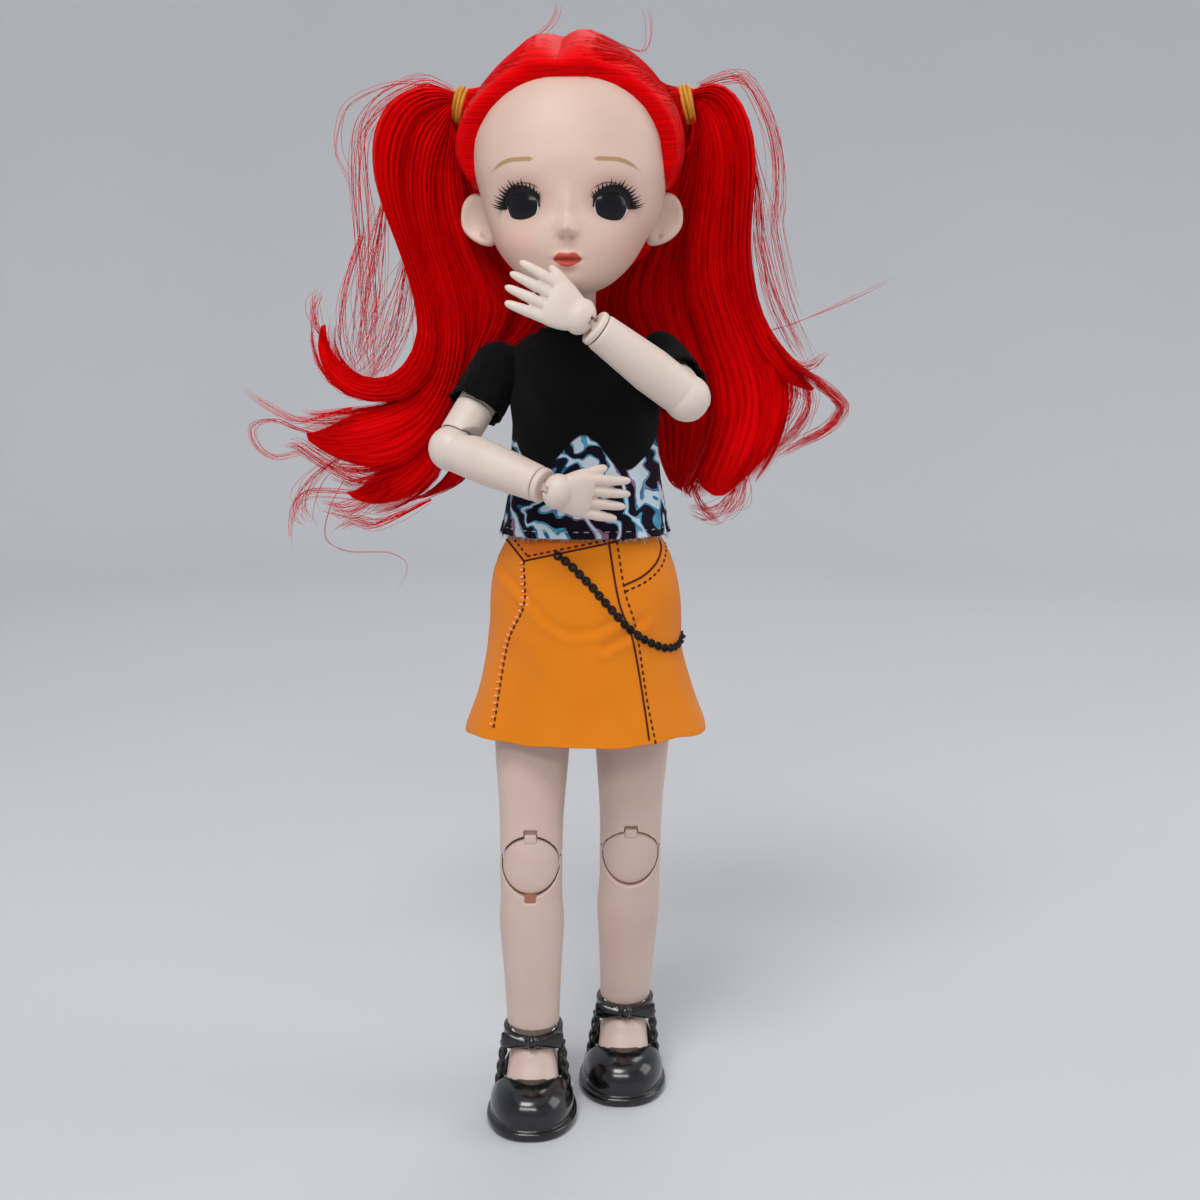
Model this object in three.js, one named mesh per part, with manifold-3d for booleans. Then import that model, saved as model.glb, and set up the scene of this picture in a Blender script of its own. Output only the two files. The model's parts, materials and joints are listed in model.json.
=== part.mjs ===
// A jointed fashion doll in a T-shirt, a skirt and strap shoes, standing in a resting pose.
// Millimetres, +Z up, the doll faces -Y, and its left hand side is +X.

import * as THREE from 'three';
import { LoftGeometry } from 'three/addons/geometries/LoftGeometry.js';
import { mergeVertices } from 'three/addons/utils/BufferGeometryUtils.js';
import Module from 'manifold-3d';

const wasm = await Module();
wasm.setup();

// Clearances

const GAP = 0.3; // running gap between two moulded pieces
const CLOTH_GAP = 0.5; // gap between a garment and what it covers
const CLOTH_WALL = 0.9; // thickness of the garments as worn

// Legs: lengths between hinge centres, and the stance

const HIP_HALF_SPAN = 14; // midline to each hip centre
const HIP_RADIUS = 10.3; // round top of the thigh
const HIP_BALL_RADIUS = 5;
const HIP_STEM_RADIUS = 2.4;
const HIP_SPREAD = 35; // outward swing that the hip slot must clear, degrees
const HIP_CLOSE = 8; // inward swing that the hip slot must clear, degrees
const THIGH_LENGTH = 64.2; // hip centre to upper knee hinge
const THIGH_SWIVEL_DROP = 24; // hip centre to the thigh swivel
const THIGH_KNEE_RADIUS = 8.9;
const SWIVEL_PEG_RADIUS = 3.4;
const SWIVEL_PEG_LENGTH = 7;
const KNEE_RADIUS = 7.9;
const KNEE_MEET = 2.2; // knee centre up to where thigh and shin meet at the sides
const KNEE_RELIEF = 40; // slope of each limb's end behind the knee, degrees
const KNEE_HINGE_OFFSET = 3.5; // knee centre to each of its two hinges
const KNEE_TAB_WIDTH = 3.2;
const KNEE_TAB_RADIUS = 2.7;
const KNEE_BEND_EACH = 50; // bend that each knee hinge must clear, degrees
const KNEE_PIN_RADIUS = 1.1;
const SHIN_LENGTH = 44.4; // lower knee hinge to ankle centre
const SHIN_RIM_RADIUS = 8.9;
const SHIN_CALF_RADIUS = 9.2;
const SHIN_ANKLE_RADIUS = 7.8;
const ANKLE_RADIUS = 6.6;
const ANKLE_HEIGHT = 24.5; // ankle centre above the floor
const ANKLE_CUP_RIM = 1.8; // ankle centre to the lower end of the shin
const FRONT_FOOT_STEP = - 9.5; // right ankle in front of the hips
const BACK_FOOT_STEP = 10.5; // left ankle behind the hips
const FRONT_KNEE_BEND = 4; // degrees at each right knee hinge

// Feet and shoes

const FOOT_TOE_REACH = 23; // ankle centre to the tip of the toes
const FOOT_HEEL_REACH = 7.4;
const FOOT_HALF_WIDTH = 8;
const FOOT_TOE_HEIGHT = 5;
const SOLE_THICKNESS = 2.6;
const WELT = 1.1; // how far the sole stands out round the upper
const SHOE_TOE_REACH = 26.2;
const SHOE_HEEL_REACH = 10.6;
const SHOE_HALF_WIDTH = 11.6;
const SHOE_TOE_TOP = 11; // top of the toe box above the floor
const SHOE_HEEL_TOP = 15.5;
const SHOE_SIDE_TOP = 6.8; // lowest dip of the top edge
const VAMP_BACK = 11; // ankle centre to the back edge of the toe box
const STRAP_LEVEL = 20.2; // middle of the ankle strap above the floor
const STRAP_HEIGHT = 3.8;
const STRAP_WALL = 1.2;
const BOW_HALF_LENGTH = 8.6;
const BOW_HALF_THICKNESS = 1.4;
const POST_RADIUS = 1.15;

// Trunk: levels above the hip centres

const PELVIS_TOP = 14;
const PELVIS_HALF_WIDTH = 24.7; // the skirt rests here
const PELVIS_HALF_DEPTH = 12.5;
const WAIST_LEVEL = 18.5;
const WAIST_BALL_RADIUS = 9;
const CHEST_BOTTOM = 23;
const CHEST_TOP = 79;
const CHEST_WAIST_HALF_WIDTH = 14.6;
const CHEST_HALF_WIDTH = 18.3;
const CHEST_HALF_DEPTH = 11.5;

// Arms

const SHOULDER_LEVEL = 71;
const SHOULDER_HALF_SPAN = 23.4;
const SHOULDER_RADIUS = 6.9;
const SHOULDER_BALL_RADIUS = 3.8;
const SHOULDER_STEM_RADIUS = 1.8;
const SHOULDER_STEM_LENGTH = 14;
const SHOULDER_LIFT = 60; // outward swing that the shoulder slot must clear, degrees
const UPPER_ARM_LENGTH = 27;
const UPPER_ARM_RADIUS = 5.4;
const ARM_SWIVEL_DROP = 13; // shoulder centre to the upper arm swivel
const ARM_PEG_RADIUS = 2.4;
const ARM_PEG_LENGTH = 5;
const ELBOW_RADIUS = 6.2;
const ELBOW_TAB_WIDTH = 3;
const ELBOW_TAB_RADIUS = 2.6;
const ELBOW_PIN_RADIUS = 1;
const ELBOW_CLOSED_ANGLE = 70; // smallest angle between upper arm and forearm, degrees
const FOREARM_LENGTH = 35.5; // elbow centre to wrist centre
const FOREARM_RADIUS = 6;
const FOREARM_WRIST_RADIUS = 4.9;
const WRIST_RADIUS = 3.7;
const WRIST_HALF_WIDTH = 4.7;
const WRIST_COLLAR = 1.7; // height of the turning collar
const WRIST_TAB_WIDTH = 2.2;
const WRIST_TAB_RADIUS = 1.5;
const WRIST_PEG_RADIUS = 1.7;
const WRIST_PEG_LENGTH = 5;
const WRIST_SWING = 60; // swing that the wrist slot must clear each way, degrees

// Hands

const PALM_LENGTH = 10.5;
const PALM_HALF_WIDTH = 5.9;
const PALM_HALF_THICKNESS = 2.3;
const FINGER_LENGTH = 9; // longest finger beyond the palm
const FINGER_RADIUS = 1.45;
const THUMB_LENGTH = 8.5;
const THUMB_RADIUS = 1.75;
const FINGER_SHARES = [ 0.78, 0.95, 1, 0.92 ]; // little finger first
const FINGER_FAN = 0.38; // how far each finger leans out from the next, in finger radii
const FINGER_CURL = 1.03; // how far a finger tip drops towards the palm, in finger radii
const THUMB_WAY = new THREE.Vector3( 0.62, 0.12, - 0.78 ).normalize();

// Arm pose: where each upper arm and forearm points, and how far each wrist is bent

const RIGHT_UPPER_ARM_AIM = new THREE.Vector3( - 12, - 12, - 20.7 );
const RIGHT_FOREARM_AIM = new THREE.Vector3( 28.6, - 17.6, - 9.6 );
const RIGHT_WRIST_BEND = 50;
const LEFT_UPPER_ARM_AIM = new THREE.Vector3( 4, - 26, - 6.7 );
const LEFT_FOREARM_AIM = new THREE.Vector3( - 28, - 8, 21.2 );
const LEFT_WRIST_BEND = - 8;

// Neck and head

const NECK_X = - 1.6;
const NECK_Y = 1;
const NECK_BALL_LEVEL = 75.5;
const NECK_BALL_RADIUS = 6.2;
const NECK_RADIUS = 5.4;
const NECK_KNOB_RADIUS = 6.3;
const NECK_KNOB_LENGTH = 7;
const NECK_LENGTH = 29.5; // ball centre to the top of the knob
const NECK_NOD = 12; // nod that the neck socket must clear, degrees
const CHIN_LEVEL = 91; // chin above the hip centres
const HEAD_TURN = - 4; // degrees, the face looks a little towards -X
const HEAD_HEIGHT = 65.5;
const HEAD_HALF_WIDTH = 25.2;
const HEAD_FRONT = 29; // neck axis to the forehead
const HEAD_BACK = 27; // neck axis to the back of the skull
const NOSE_HEIGHT = 16; // above the chin
const NOSE_DEPTH = 3.2;
const MOUTH_HEIGHT = 8.6;
const EYE_HEIGHT = 21.4;
const EYE_HALF_SPAN = 11.1;
const EYE_HALF_WIDTH = 5.5;
const EYE_HALF_HEIGHT = 4.8;
const EYE_HALF_DEPTH = 2.4;
const EYE_BULGE = 0.9; // how far the eye stands out of the face
const EAR_HEIGHT = 20;
const EAR_HALF_HEIGHT = 7;
const EAR_HALF_WIDTH = 3.9;
const EAR_HALF_DEPTH = 2.4;
const EAR_REACH = 26.2; // head centre to ear centre
const EAR_Y = 1;

// Hair

const HAIR_THICKNESS = 3.2;
const PARTING_DEPTH = 2;
const PARTING_WIDTH = 1.6;
const PARTING_BACK = 12; // how far behind the head's middle the parting ends
const PARTING_DROP = 18; // how far down in front it may run
const TIE_REACH = 31; // head centre to the middle of each hair tie
const TIE_HEIGHT = 50.3;
const TIE_Y = 5.5;
const TIE_INNER_RADIUS = 4.4;
const TIE_OUTER_RADIUS = 5.7;
const TIE_WIDTH = 4.4;
const BUNCH_RADIUS = 9; // foot of the hair drawn towards the tie

// Garments: levels above the hip centres

const SHIRT_HEM_LEVEL = 25.9;
const SHIRT_HEM_HALF_WIDTH = 22.6;
const SHIRT_HEM_HALF_DEPTH = 16.6;
const SHIRT_HALF_WIDTH = 20.7;
const SHIRT_HALF_DEPTH = 15.6;
const SHIRT_TOP_LEVEL = 81.5;
const COLLAR_HALF_WIDTH = 12;
const COLLAR_HALF_DEPTH = 9.6;
const SLEEVE_LENGTH = 16.5; // shoulder centre to sleeve hem
const SLEEVE_CAP = SHOULDER_RADIUS + CLOTH_GAP + CLOTH_WALL; // radius of the sleeve's round top
const SKIRT_TOP_LEVEL = 25.6;
const SKIRT_WAIST_HALF_WIDTH = 20.3;
const SKIRT_WAIST_HALF_DEPTH = 14.4;
const SKIRT_HIP_HALF_WIDTH = 26.8;
const SKIRT_HIP_HALF_DEPTH = 19;
const SKIRT_HEM_HALF_WIDTH = 34.2;
const SKIRT_HEM_HALF_DEPTH = 26;
const SKIRT_LENGTH = 55.6;
const FOLD_COUNT = 7;
const FOLD_DEPTH = 1.5;

// Materials

const VINYL_FACE = new THREE.MeshStandardMaterial( { color: 0xf2c9ae, roughness: 0.45 } );
const VINYL_ARM = new THREE.MeshStandardMaterial( { color: 0xf0d3bd, roughness: 0.4 } );
const PLASTIC_LEG = new THREE.MeshStandardMaterial( { color: 0xe3bda6, roughness: 0.35 } );
const PIN_PLASTIC = new THREE.MeshStandardMaterial( { color: 0xc9a18a, roughness: 0.4 } );
const EYE_GLOSS = new THREE.MeshStandardMaterial( { color: 0x0b0b0e, roughness: 0.05 } );
const RED_HAIR = new THREE.MeshStandardMaterial( { color: 0xc4060c, roughness: 0.5 } );
const MUSTARD_BAND = new THREE.MeshStandardMaterial( { color: 0xc98a1a, roughness: 0.6 } );
const BLACK_KNIT = new THREE.MeshStandardMaterial( { color: 0x121214, roughness: 0.9 } );
const ORANGE_TWILL = new THREE.MeshStandardMaterial( { color: 0xd67a12, roughness: 0.85 } );
const SHOE_GLOSS = new THREE.MeshStandardMaterial( { color: 0x09090b, roughness: 0.12 } );

const X_AXIS = new THREE.Vector3( 1, 0, 0 );
const Y_AXIS = new THREE.Vector3( 0, 1, 0 );
const Z_AXIS = new THREE.Vector3( 0, 0, 1 );
const ORIGIN = new THREE.Vector3( 0, 0, 0 );
const RIGHT = { name: 'r', sign: - 1 };
const LEFT = { name: 'l', sign: 1 };
const SIDES = [ RIGHT, LEFT ];

// Shape helpers

function point( x, y, z ) {

	return new THREE.Vector3( x, y, z );

}

function radians( degrees ) {

	return THREE.MathUtils.degToRad( degrees );

}

// A closed geometry as a solid for joining and cutting
function solid( geometry ) {

	const plain = new THREE.BufferGeometry();
	plain.setAttribute( 'position', geometry.attributes.position );
	plain.setIndex( geometry.index );
	const merged = mergeVertices( plain, 1e-4 );
	const corners = merged.index.array;
	const kept = [];
	for ( let i = 0; i < corners.length; i += 3 ) {

		const [ a, b, c ] = [ corners[ i ], corners[ i + 1 ], corners[ i + 2 ] ];
		if ( a !== b && b !== c && c !== a ) kept.push( a, b, c );

	}

	return new wasm.Manifold( new wasm.Mesh( {
		numProp: 3,
		vertProperties: new Float32Array( merged.attributes.position.array ),
		triVerts: new Uint32Array( kept )
	} ) );

}

// Adds a solid to a group as a named mesh
function addPiece( group, name, shape, material ) {

	const data = shape.getMesh();
	const geometry = new THREE.BufferGeometry();
	geometry.setAttribute( 'position', new THREE.BufferAttribute( data.vertProperties, 3 ) );
	geometry.setIndex( new THREE.BufferAttribute( data.triVerts, 1 ) );
	geometry.computeVertexNormals();
	const mesh = new THREE.Mesh( geometry, material.clone() );
	mesh.name = name;
	group.add( mesh );

}

function egg( halfSizes, centre, around = 16, down = 10 ) {

	const geometry = new THREE.SphereGeometry( 1, around, down );
	geometry.rotateX( Math.PI / 2 );
	geometry.scale( halfSizes.x, halfSizes.y, halfSizes.z );
	geometry.translate( centre.x, centre.y, centre.z );
	return solid( geometry );

}

function ball( radius, centre = ORIGIN, around = 14, down = 8 ) {

	return egg( point( radius, radius, radius ), centre, around, down );

}

// The hollow that a ball turns in: even the flats of its facets clear the ball
function socket( radius, centre = ORIGIN, around = 14, down = 8 ) {

	const flat = Math.cos( Math.PI / around ) * Math.cos( Math.PI / 2 / down );
	return ball( ( radius + GAP / 2 ) / flat, centre, around, down );

}

function rod( radius, from, to, sides = 10 ) {

	const along = to.clone().sub( from );
	const geometry = new THREE.CylinderGeometry( radius, radius, along.length(), sides );
	geometry.applyQuaternion( new THREE.Quaternion().setFromUnitVectors( Y_AXIS, along.clone().normalize() ) );
	const middle = from.clone().add( to ).multiplyScalar( 0.5 );
	geometry.translate( middle.x, middle.y, middle.z );
	return solid( geometry );

}

// A rod along X through a point
function crossRod( radius, length, centre = ORIGIN, sides = 12 ) {

	const reach = point( length / 2, 0, 0 );
	return rod( radius, centre.clone().sub( reach ), centre.clone().add( reach ), sides );

}

function block( width, depth, height, centre ) {

	const geometry = new THREE.BoxGeometry( width, depth, height );
	geometry.translate( centre.x, centre.y, centre.z );
	return solid( geometry );

}

// A solid of revolution about the Z axis from [ radius, z ] points, lowest first
function turned( profile, sides = 16 ) {

	const points = profile.map( ( [ radius, z ] ) => new THREE.Vector2( radius, z ) );
	const geometry = new THREE.LatheGeometry( points, sides );
	geometry.rotateX( Math.PI / 2 );
	return solid( geometry );

}

// One level ring; a and b are its half sizes along X and Y
function levelRing( row, sides ) {

	const power = 2 / ( row.power ?? 2 );
	const ring = [];
	for ( let i = 0; i < sides; i ++ ) {

		const angle = i / sides * Math.PI * 2;
		const c = Math.cos( angle );
		const s = Math.sin( angle );
		const x = ( row.x ?? 0 ) + row.a * Math.sign( c ) * Math.abs( c ) ** power;
		const y = ( row.y ?? 0 ) + row.b * Math.sign( s ) * Math.abs( s ) ** power;
		ring.push( point( x, y, row.z ) );

	}

	return ring;

}

function loft( rings ) {

	return solid( new LoftGeometry( rings, { capStart: true, capEnd: true } ) );

}

function ovalLoft( rows, sides ) {

	return loft( rows.map( ( row ) => levelRing( row, sides ) ) );

}

// A loft along a path; each row is { at, wide, deep }, and wide lies square to the given direction
function pathLoft( rows, sides, square = Y_AXIS ) {

	return loft( rows.map( ( row, i ) => {

		const before = rows[ Math.max( i - 1, 0 ) ].at;
		const after = rows[ Math.min( i + 1, rows.length - 1 ) ].at;
		const along = after.clone().sub( before ).normalize();
		const across = square.clone().cross( along ).normalize();
		const through = along.clone().cross( across ).normalize();
		const ring = [];
		for ( let k = 0; k < sides; k ++ ) {

			const angle = k / sides * Math.PI * 2;
			const spot = row.at.clone();
			spot.addScaledVector( across, row.wide * Math.cos( angle ) );
			spot.addScaledVector( through, row.deep * Math.sin( angle ) );
			ring.push( spot );

		}

		return ring;

	} ) );

}

// Directions in the YZ plane are counted in degrees from -Z towards -Y
function hingeDirection( degrees, length = 1 ) {

	return new THREE.Vector2( - Math.sin( radians( degrees ) ), - Math.cos( radians( degrees ) ) ).multiplyScalar( length );

}

// The space that a bar on an X hinge sweeps between two directions
function sweptSlot( width, halfDepth, reach, fromDegrees, toDegrees, hinge = ORIGIN ) {

	const arcSteps = 4;
	const outline = [];
	for ( let i = 0; i <= arcSteps; i ++ ) {

		const angle = THREE.MathUtils.lerp( toDegrees + 90, fromDegrees + 270, i / arcSteps );
		outline.push( hingeDirection( angle, halfDepth ) );

	}

	outline.push( hingeDirection( fromDegrees, reach ).add( hingeDirection( fromDegrees - 90, halfDepth ) ) );
	for ( const share of [ 0, 0.5, 1 ] ) {

		outline.push( hingeDirection( THREE.MathUtils.lerp( fromDegrees, toDegrees, share ), reach * 1.5 ) );

	}

	outline.push( hingeDirection( toDegrees, reach ).add( hingeDirection( toDegrees + 90, halfDepth ) ) );
	const geometry = new THREE.ExtrudeGeometry( new THREE.Shape( outline ), { depth: width, bevelEnabled: false } );
	geometry.translate( 0, 0, - width / 2 );
	geometry.applyMatrix4( new THREE.Matrix4().makeBasis( Y_AXIS, Z_AXIS, X_AXIS ).setPosition( hinge ) );
	return solid( geometry );

}

// The half of space on the far side of a plane through an X hinge
function beyondPlane( degrees, size ) {

	const geometry = new THREE.BoxGeometry( size, size, size );
	geometry.translate( 0, GAP / 2 - size / 2, 0 );
	geometry.rotateX( - radians( degrees ) );
	return solid( geometry );

}

// A shape drawn in the side view, in Y and Z, and given a width along X
function sideProfile( points, width ) {

	const outline = new THREE.Shape( points.map( ( [ y, z ] ) => new THREE.Vector2( y, z ) ) );
	const geometry = new THREE.ExtrudeGeometry( outline, { depth: width, bevelEnabled: false } );
	geometry.translate( 0, 0, - width / 2 );
	geometry.applyMatrix4( new THREE.Matrix4().makeBasis( Y_AXIS, Z_AXIS, X_AXIS ) );
	return solid( geometry );

}

// A group whose -Z axis points along an aim and whose X axis lies as close as it can to a hint
function aimedGroup( origin, aim, xHint ) {

	const up = aim.clone().normalize().negate();
	const forward = up.clone().cross( xHint ).normalize();
	const across = forward.clone().cross( up ).normalize();
	const group = new THREE.Group();
	group.applyMatrix4( new THREE.Matrix4().makeBasis( across, forward, up ).setPosition( origin ) );
	return group;

}

function childGroup( parent, position, bendDegrees = 0 ) {

	const group = new THREE.Group();
	group.position.copy( position );
	group.rotation.x = radians( bendDegrees );
	parent.add( group );
	return group;

}

// Stance: the knee bends that set both soles flat on the floor

function legReach( bend ) {

	const down = ( THIGH_LENGTH + SHIN_LENGTH ) * Math.cos( bend ) + 2 * KNEE_HINGE_OFFSET;
	return Math.hypot( down, ( THIGH_LENGTH - SHIN_LENGTH ) * Math.sin( bend ) );

}

// Angle between the middle of the knee and the line from hip to ankle
function kneeLean( bend ) {

	const down = ( THIGH_LENGTH + SHIN_LENGTH ) * Math.cos( bend ) + 2 * KNEE_HINGE_OFFSET;
	return Math.atan2( ( THIGH_LENGTH - SHIN_LENGTH ) * Math.sin( bend ), down );

}

function bendForReach( reach ) {

	let low = 0;
	let high = radians( KNEE_BEND_EACH );
	while ( high - low > 1e-7 ) {

		const middle = ( low + high ) / 2;
		if ( legReach( middle ) > reach ) low = middle;
		else high = middle;

	}

	return low;

}

const HIP_RISE = Math.sqrt( legReach( radians( FRONT_KNEE_BEND ) ) ** 2 - FRONT_FOOT_STEP ** 2 );
const HIP_LEVEL = ANKLE_HEIGHT + HIP_RISE;

// Legs

const BALL_ABOVE_HINGE = KNEE_RADIUS - KNEE_HINGE_OFFSET;
const KNEE_SLOT_WIDTH = KNEE_TAB_WIDTH + 2 * GAP;

function thighRadius( drop ) {

	return THREE.MathUtils.lerp( HIP_RADIUS, THIGH_KNEE_RADIUS, drop / THIGH_LENGTH ) - 0.1;

}

function hipBall( sign ) {

	const stemEnd = point( - sign * ( HIP_HALF_SPAN - 2 * GAP ), 0, 0 );
	return ball( HIP_BALL_RADIUS, ORIGIN, 12, 7 ).add( rod( HIP_STEM_RADIUS, ORIGIN, stemEnd ) );

}

function thighTop( sign ) {

	const low = - THIGH_SWIVEL_DROP;
	const shaft = ovalLoft( [
		{ z: low, a: thighRadius( THIGH_SWIVEL_DROP ), b: thighRadius( THIGH_SWIVEL_DROP ) },
		{ z: - HIP_RADIUS, a: thighRadius( HIP_RADIUS ), b: thighRadius( HIP_RADIUS ) },
		{ z: 0, a: thighRadius( 0 ), b: thighRadius( 0 ) }
	], 14 );
	const halfSlot = HIP_STEM_RADIUS + GAP;
	const slot = sweptSlot( 2 * halfSlot, halfSlot, HIP_RADIUS + 2, 90 - HIP_CLOSE, 90 + HIP_SPREAD );
	const pegHole = rod(
		SWIVEL_PEG_RADIUS + GAP,
		point( 0, 0, low - 1 ),
		point( 0, 0, low + SWIVEL_PEG_LENGTH + GAP )
	);
	return ball( HIP_RADIUS, ORIGIN, 14, 7 )
		.add( shaft )
		.subtract( socket( HIP_BALL_RADIUS, ORIGIN, 12, 7 ) )
		.subtract( slot.rotate( [ 0, 0, - sign * 90 ] ) )
		.subtract( pegHole );

}

// A hinge tab: a flat bar along Z that ends round at an X hinge
function hingeTab( width, radius, from, to, pinRadius ) {

	const bar = block( width, 2 * radius, Math.abs( to - from ), point( 0, 0, ( from + to ) / 2 ) );
	const eye = crossRod( radius, width, point( 0, 0, to ) );
	return bar.add( eye ).subtract( crossRod( pinRadius + GAP, width * 2, point( 0, 0, to ), 8 ) );

}

// What is cut from the end of a limb so that it arches over the knee ball and clears it when bent
function kneeDish( hinge, towards ) {

	const [ straight, bent ] = [ 0, radians( KNEE_BEND_EACH ) ].map( ( angle ) => {

		const y = KNEE_HINGE_OFFSET * Math.sin( angle );
		const z = KNEE_HINGE_OFFSET * Math.cos( angle );
		return socket( KNEE_RADIUS, hinge.clone().add( point( 0, y, towards * z ) ), 14, 7 );

	} );
	const knee = hinge.clone().add( point( 0, 0, towards * KNEE_HINGE_OFFSET ) );
	const reach = point( 0, 3 * KNEE_RADIUS, 0 );
	const arch = rod( KNEE_RADIUS + GAP, knee.clone().sub( reach ), knee.clone().add( reach ), 20 );
	const meet = knee.z + KNEE_MEET + ( towards > 0 ? - GAP : 0 );
	const rise = 30 * Math.tan( radians( KNEE_RELIEF ) );
	const behind = sideProfile( [
		[ 0, meet ],
		[ 30, meet - towards * rise ],
		[ 30, meet + towards * 20 ],
		[ 0, meet + towards * 20 ]
	], 40 );
	return straight.add( bent ).add( arch ).add( behind );

}

function thigh() {

	const top = - THIGH_SWIVEL_DROP - GAP;
	const low = - THIGH_LENGTH - KNEE_HINGE_OFFSET + KNEE_MEET;
	const hinge = point( 0, 0, - THIGH_LENGTH );
	const shaft = ovalLoft( [
		{ z: low, a: THIGH_KNEE_RADIUS, b: THIGH_KNEE_RADIUS },
		{ z: low + 14, a: thighRadius( THIGH_LENGTH - 14 ) - 0.3, b: thighRadius( THIGH_LENGTH - 14 ) },
		{ z: top, a: thighRadius( THIGH_SWIVEL_DROP ), b: thighRadius( THIGH_SWIVEL_DROP ) }
	], 20 );
	const tab = hingeTab( KNEE_TAB_WIDTH, KNEE_TAB_RADIUS, hinge.z + KNEE_RADIUS, hinge.z, KNEE_PIN_RADIUS );
	const peg = rod( SWIVEL_PEG_RADIUS, point( 0, 0, top - 1 ), point( 0, 0, top + SWIVEL_PEG_LENGTH ) );
	return shaft.subtract( kneeDish( hinge, - 1 ) ).add( tab ).add( peg );

}

function kneeBall() {

	const upper = point( 0, 0, KNEE_HINGE_OFFSET );
	const lower = point( 0, 0, - KNEE_HINGE_OFFSET );
	const halfSlot = KNEE_TAB_RADIUS + GAP;
	const reach = 2 * KNEE_RADIUS;
	const bore = KNEE_PIN_RADIUS + GAP;
	return ball( KNEE_RADIUS, ORIGIN, 18, 10 )
		.subtract( sweptSlot( KNEE_SLOT_WIDTH, halfSlot, reach, 180, 180 + KNEE_BEND_EACH, upper ) )
		.subtract( sweptSlot( KNEE_SLOT_WIDTH, halfSlot, reach, - KNEE_BEND_EACH, 0, lower ) )
		.subtract( crossRod( bore, reach, upper, 8 ) )
		.subtract( crossRod( bore, reach, lower, 8 ) );

}

function kneePin( hinge ) {

	const halfChord = Math.sqrt( KNEE_RADIUS ** 2 - KNEE_HINGE_OFFSET ** 2 );
	return crossRod( KNEE_PIN_RADIUS, 2 * halfChord - 1, hinge, 8 );

}

function shin() {

	const top = KNEE_HINGE_OFFSET + KNEE_MEET - GAP;
	const low = - SHIN_LENGTH + ANKLE_CUP_RIM;
	const calf = - SHIN_LENGTH * 0.35;
	const shaft = ovalLoft( [
		{ z: low, a: SHIN_ANKLE_RADIUS, b: SHIN_ANKLE_RADIUS },
		{ z: low + 12, a: SHIN_ANKLE_RADIUS + 0.4, b: SHIN_ANKLE_RADIUS + 0.5, y: 0.4 },
		{ z: calf, a: SHIN_CALF_RADIUS, b: SHIN_CALF_RADIUS + 0.1, y: 0.6 },
		{ z: - BALL_ABOVE_HINGE - 2, a: SHIN_RIM_RADIUS - 0.1, b: SHIN_RIM_RADIUS - 0.1 },
		{ z: top, a: SHIN_RIM_RADIUS, b: SHIN_RIM_RADIUS }
	], 20 );
	const tab = hingeTab( KNEE_TAB_WIDTH, KNEE_TAB_RADIUS, - KNEE_RADIUS, 0, KNEE_PIN_RADIUS );
	return shaft
		.subtract( kneeDish( ORIGIN, 1 ) )
		.subtract( socket( ANKLE_RADIUS, point( 0, 0, - SHIN_LENGTH ) ) )
		.add( tab );

}

// Foot and shoe: heights are above the floor, in a frame whose origin is the ankle centre

function footSections( grow ) {

	const floor = SOLE_THICKNESS + GAP - ANKLE_HEIGHT;
	const toe = - FOOT_TOE_REACH;
	const section = ( y, halfWidth, top ) => ( {
		at: point( 0, y, floor + top / 2 ),
		wide: halfWidth + grow,
		deep: top / 2 + grow
	} );
	return [
		section( FOOT_HEEL_REACH + grow, 4.6, 10 ),
		section( FOOT_HEEL_REACH - 2.5, 6.2, 15 ),
		section( 1, 6.9, 19.4 ),
		section( - 4, 7.1, 17.8 ),
		section( - 8, FOOT_HALF_WIDTH - 0.5, 13.4 ),
		section( - 13, FOOT_HALF_WIDTH, 9 ),
		section( toe * 0.8, FOOT_HALF_WIDTH - 0.2, FOOT_TOE_HEIGHT + 1.4 ),
		section( toe - grow, FOOT_HALF_WIDTH * 0.6, FOOT_TOE_HEIGHT - 1 )
	];

}

function foot() {

	return pathLoft( footSections( 0 ), 12, Z_AXIS ).add( ball( ANKLE_RADIUS ) );

}

// The outline of the shoe at one height, drawn in by an inset
function shoeRing( height, inset, sides ) {

	const toe = SHOE_TOE_REACH - inset;
	const heel = SHOE_HEEL_REACH - inset;
	const centre = ( heel - toe ) / 2;
	const ring = [];
	for ( let i = 0; i < sides; i ++ ) {

		const angle = i / sides * Math.PI * 2;
		const s = Math.sin( angle );
		const c = Math.cos( angle );
		const narrowing = 1 - 0.22 * THREE.MathUtils.smoothstep( s, - 0.35, 1 );
		const x = ( SHOE_HALF_WIDTH - inset ) * narrowing * Math.sign( c ) * Math.abs( c ) ** 0.82;
		const y = centre + ( heel + toe ) / 2 * Math.sign( s ) * Math.abs( s ) ** 0.9;
		ring.push( point( x, y, height - ANKLE_HEIGHT ) );

	}

	return ring;

}

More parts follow.
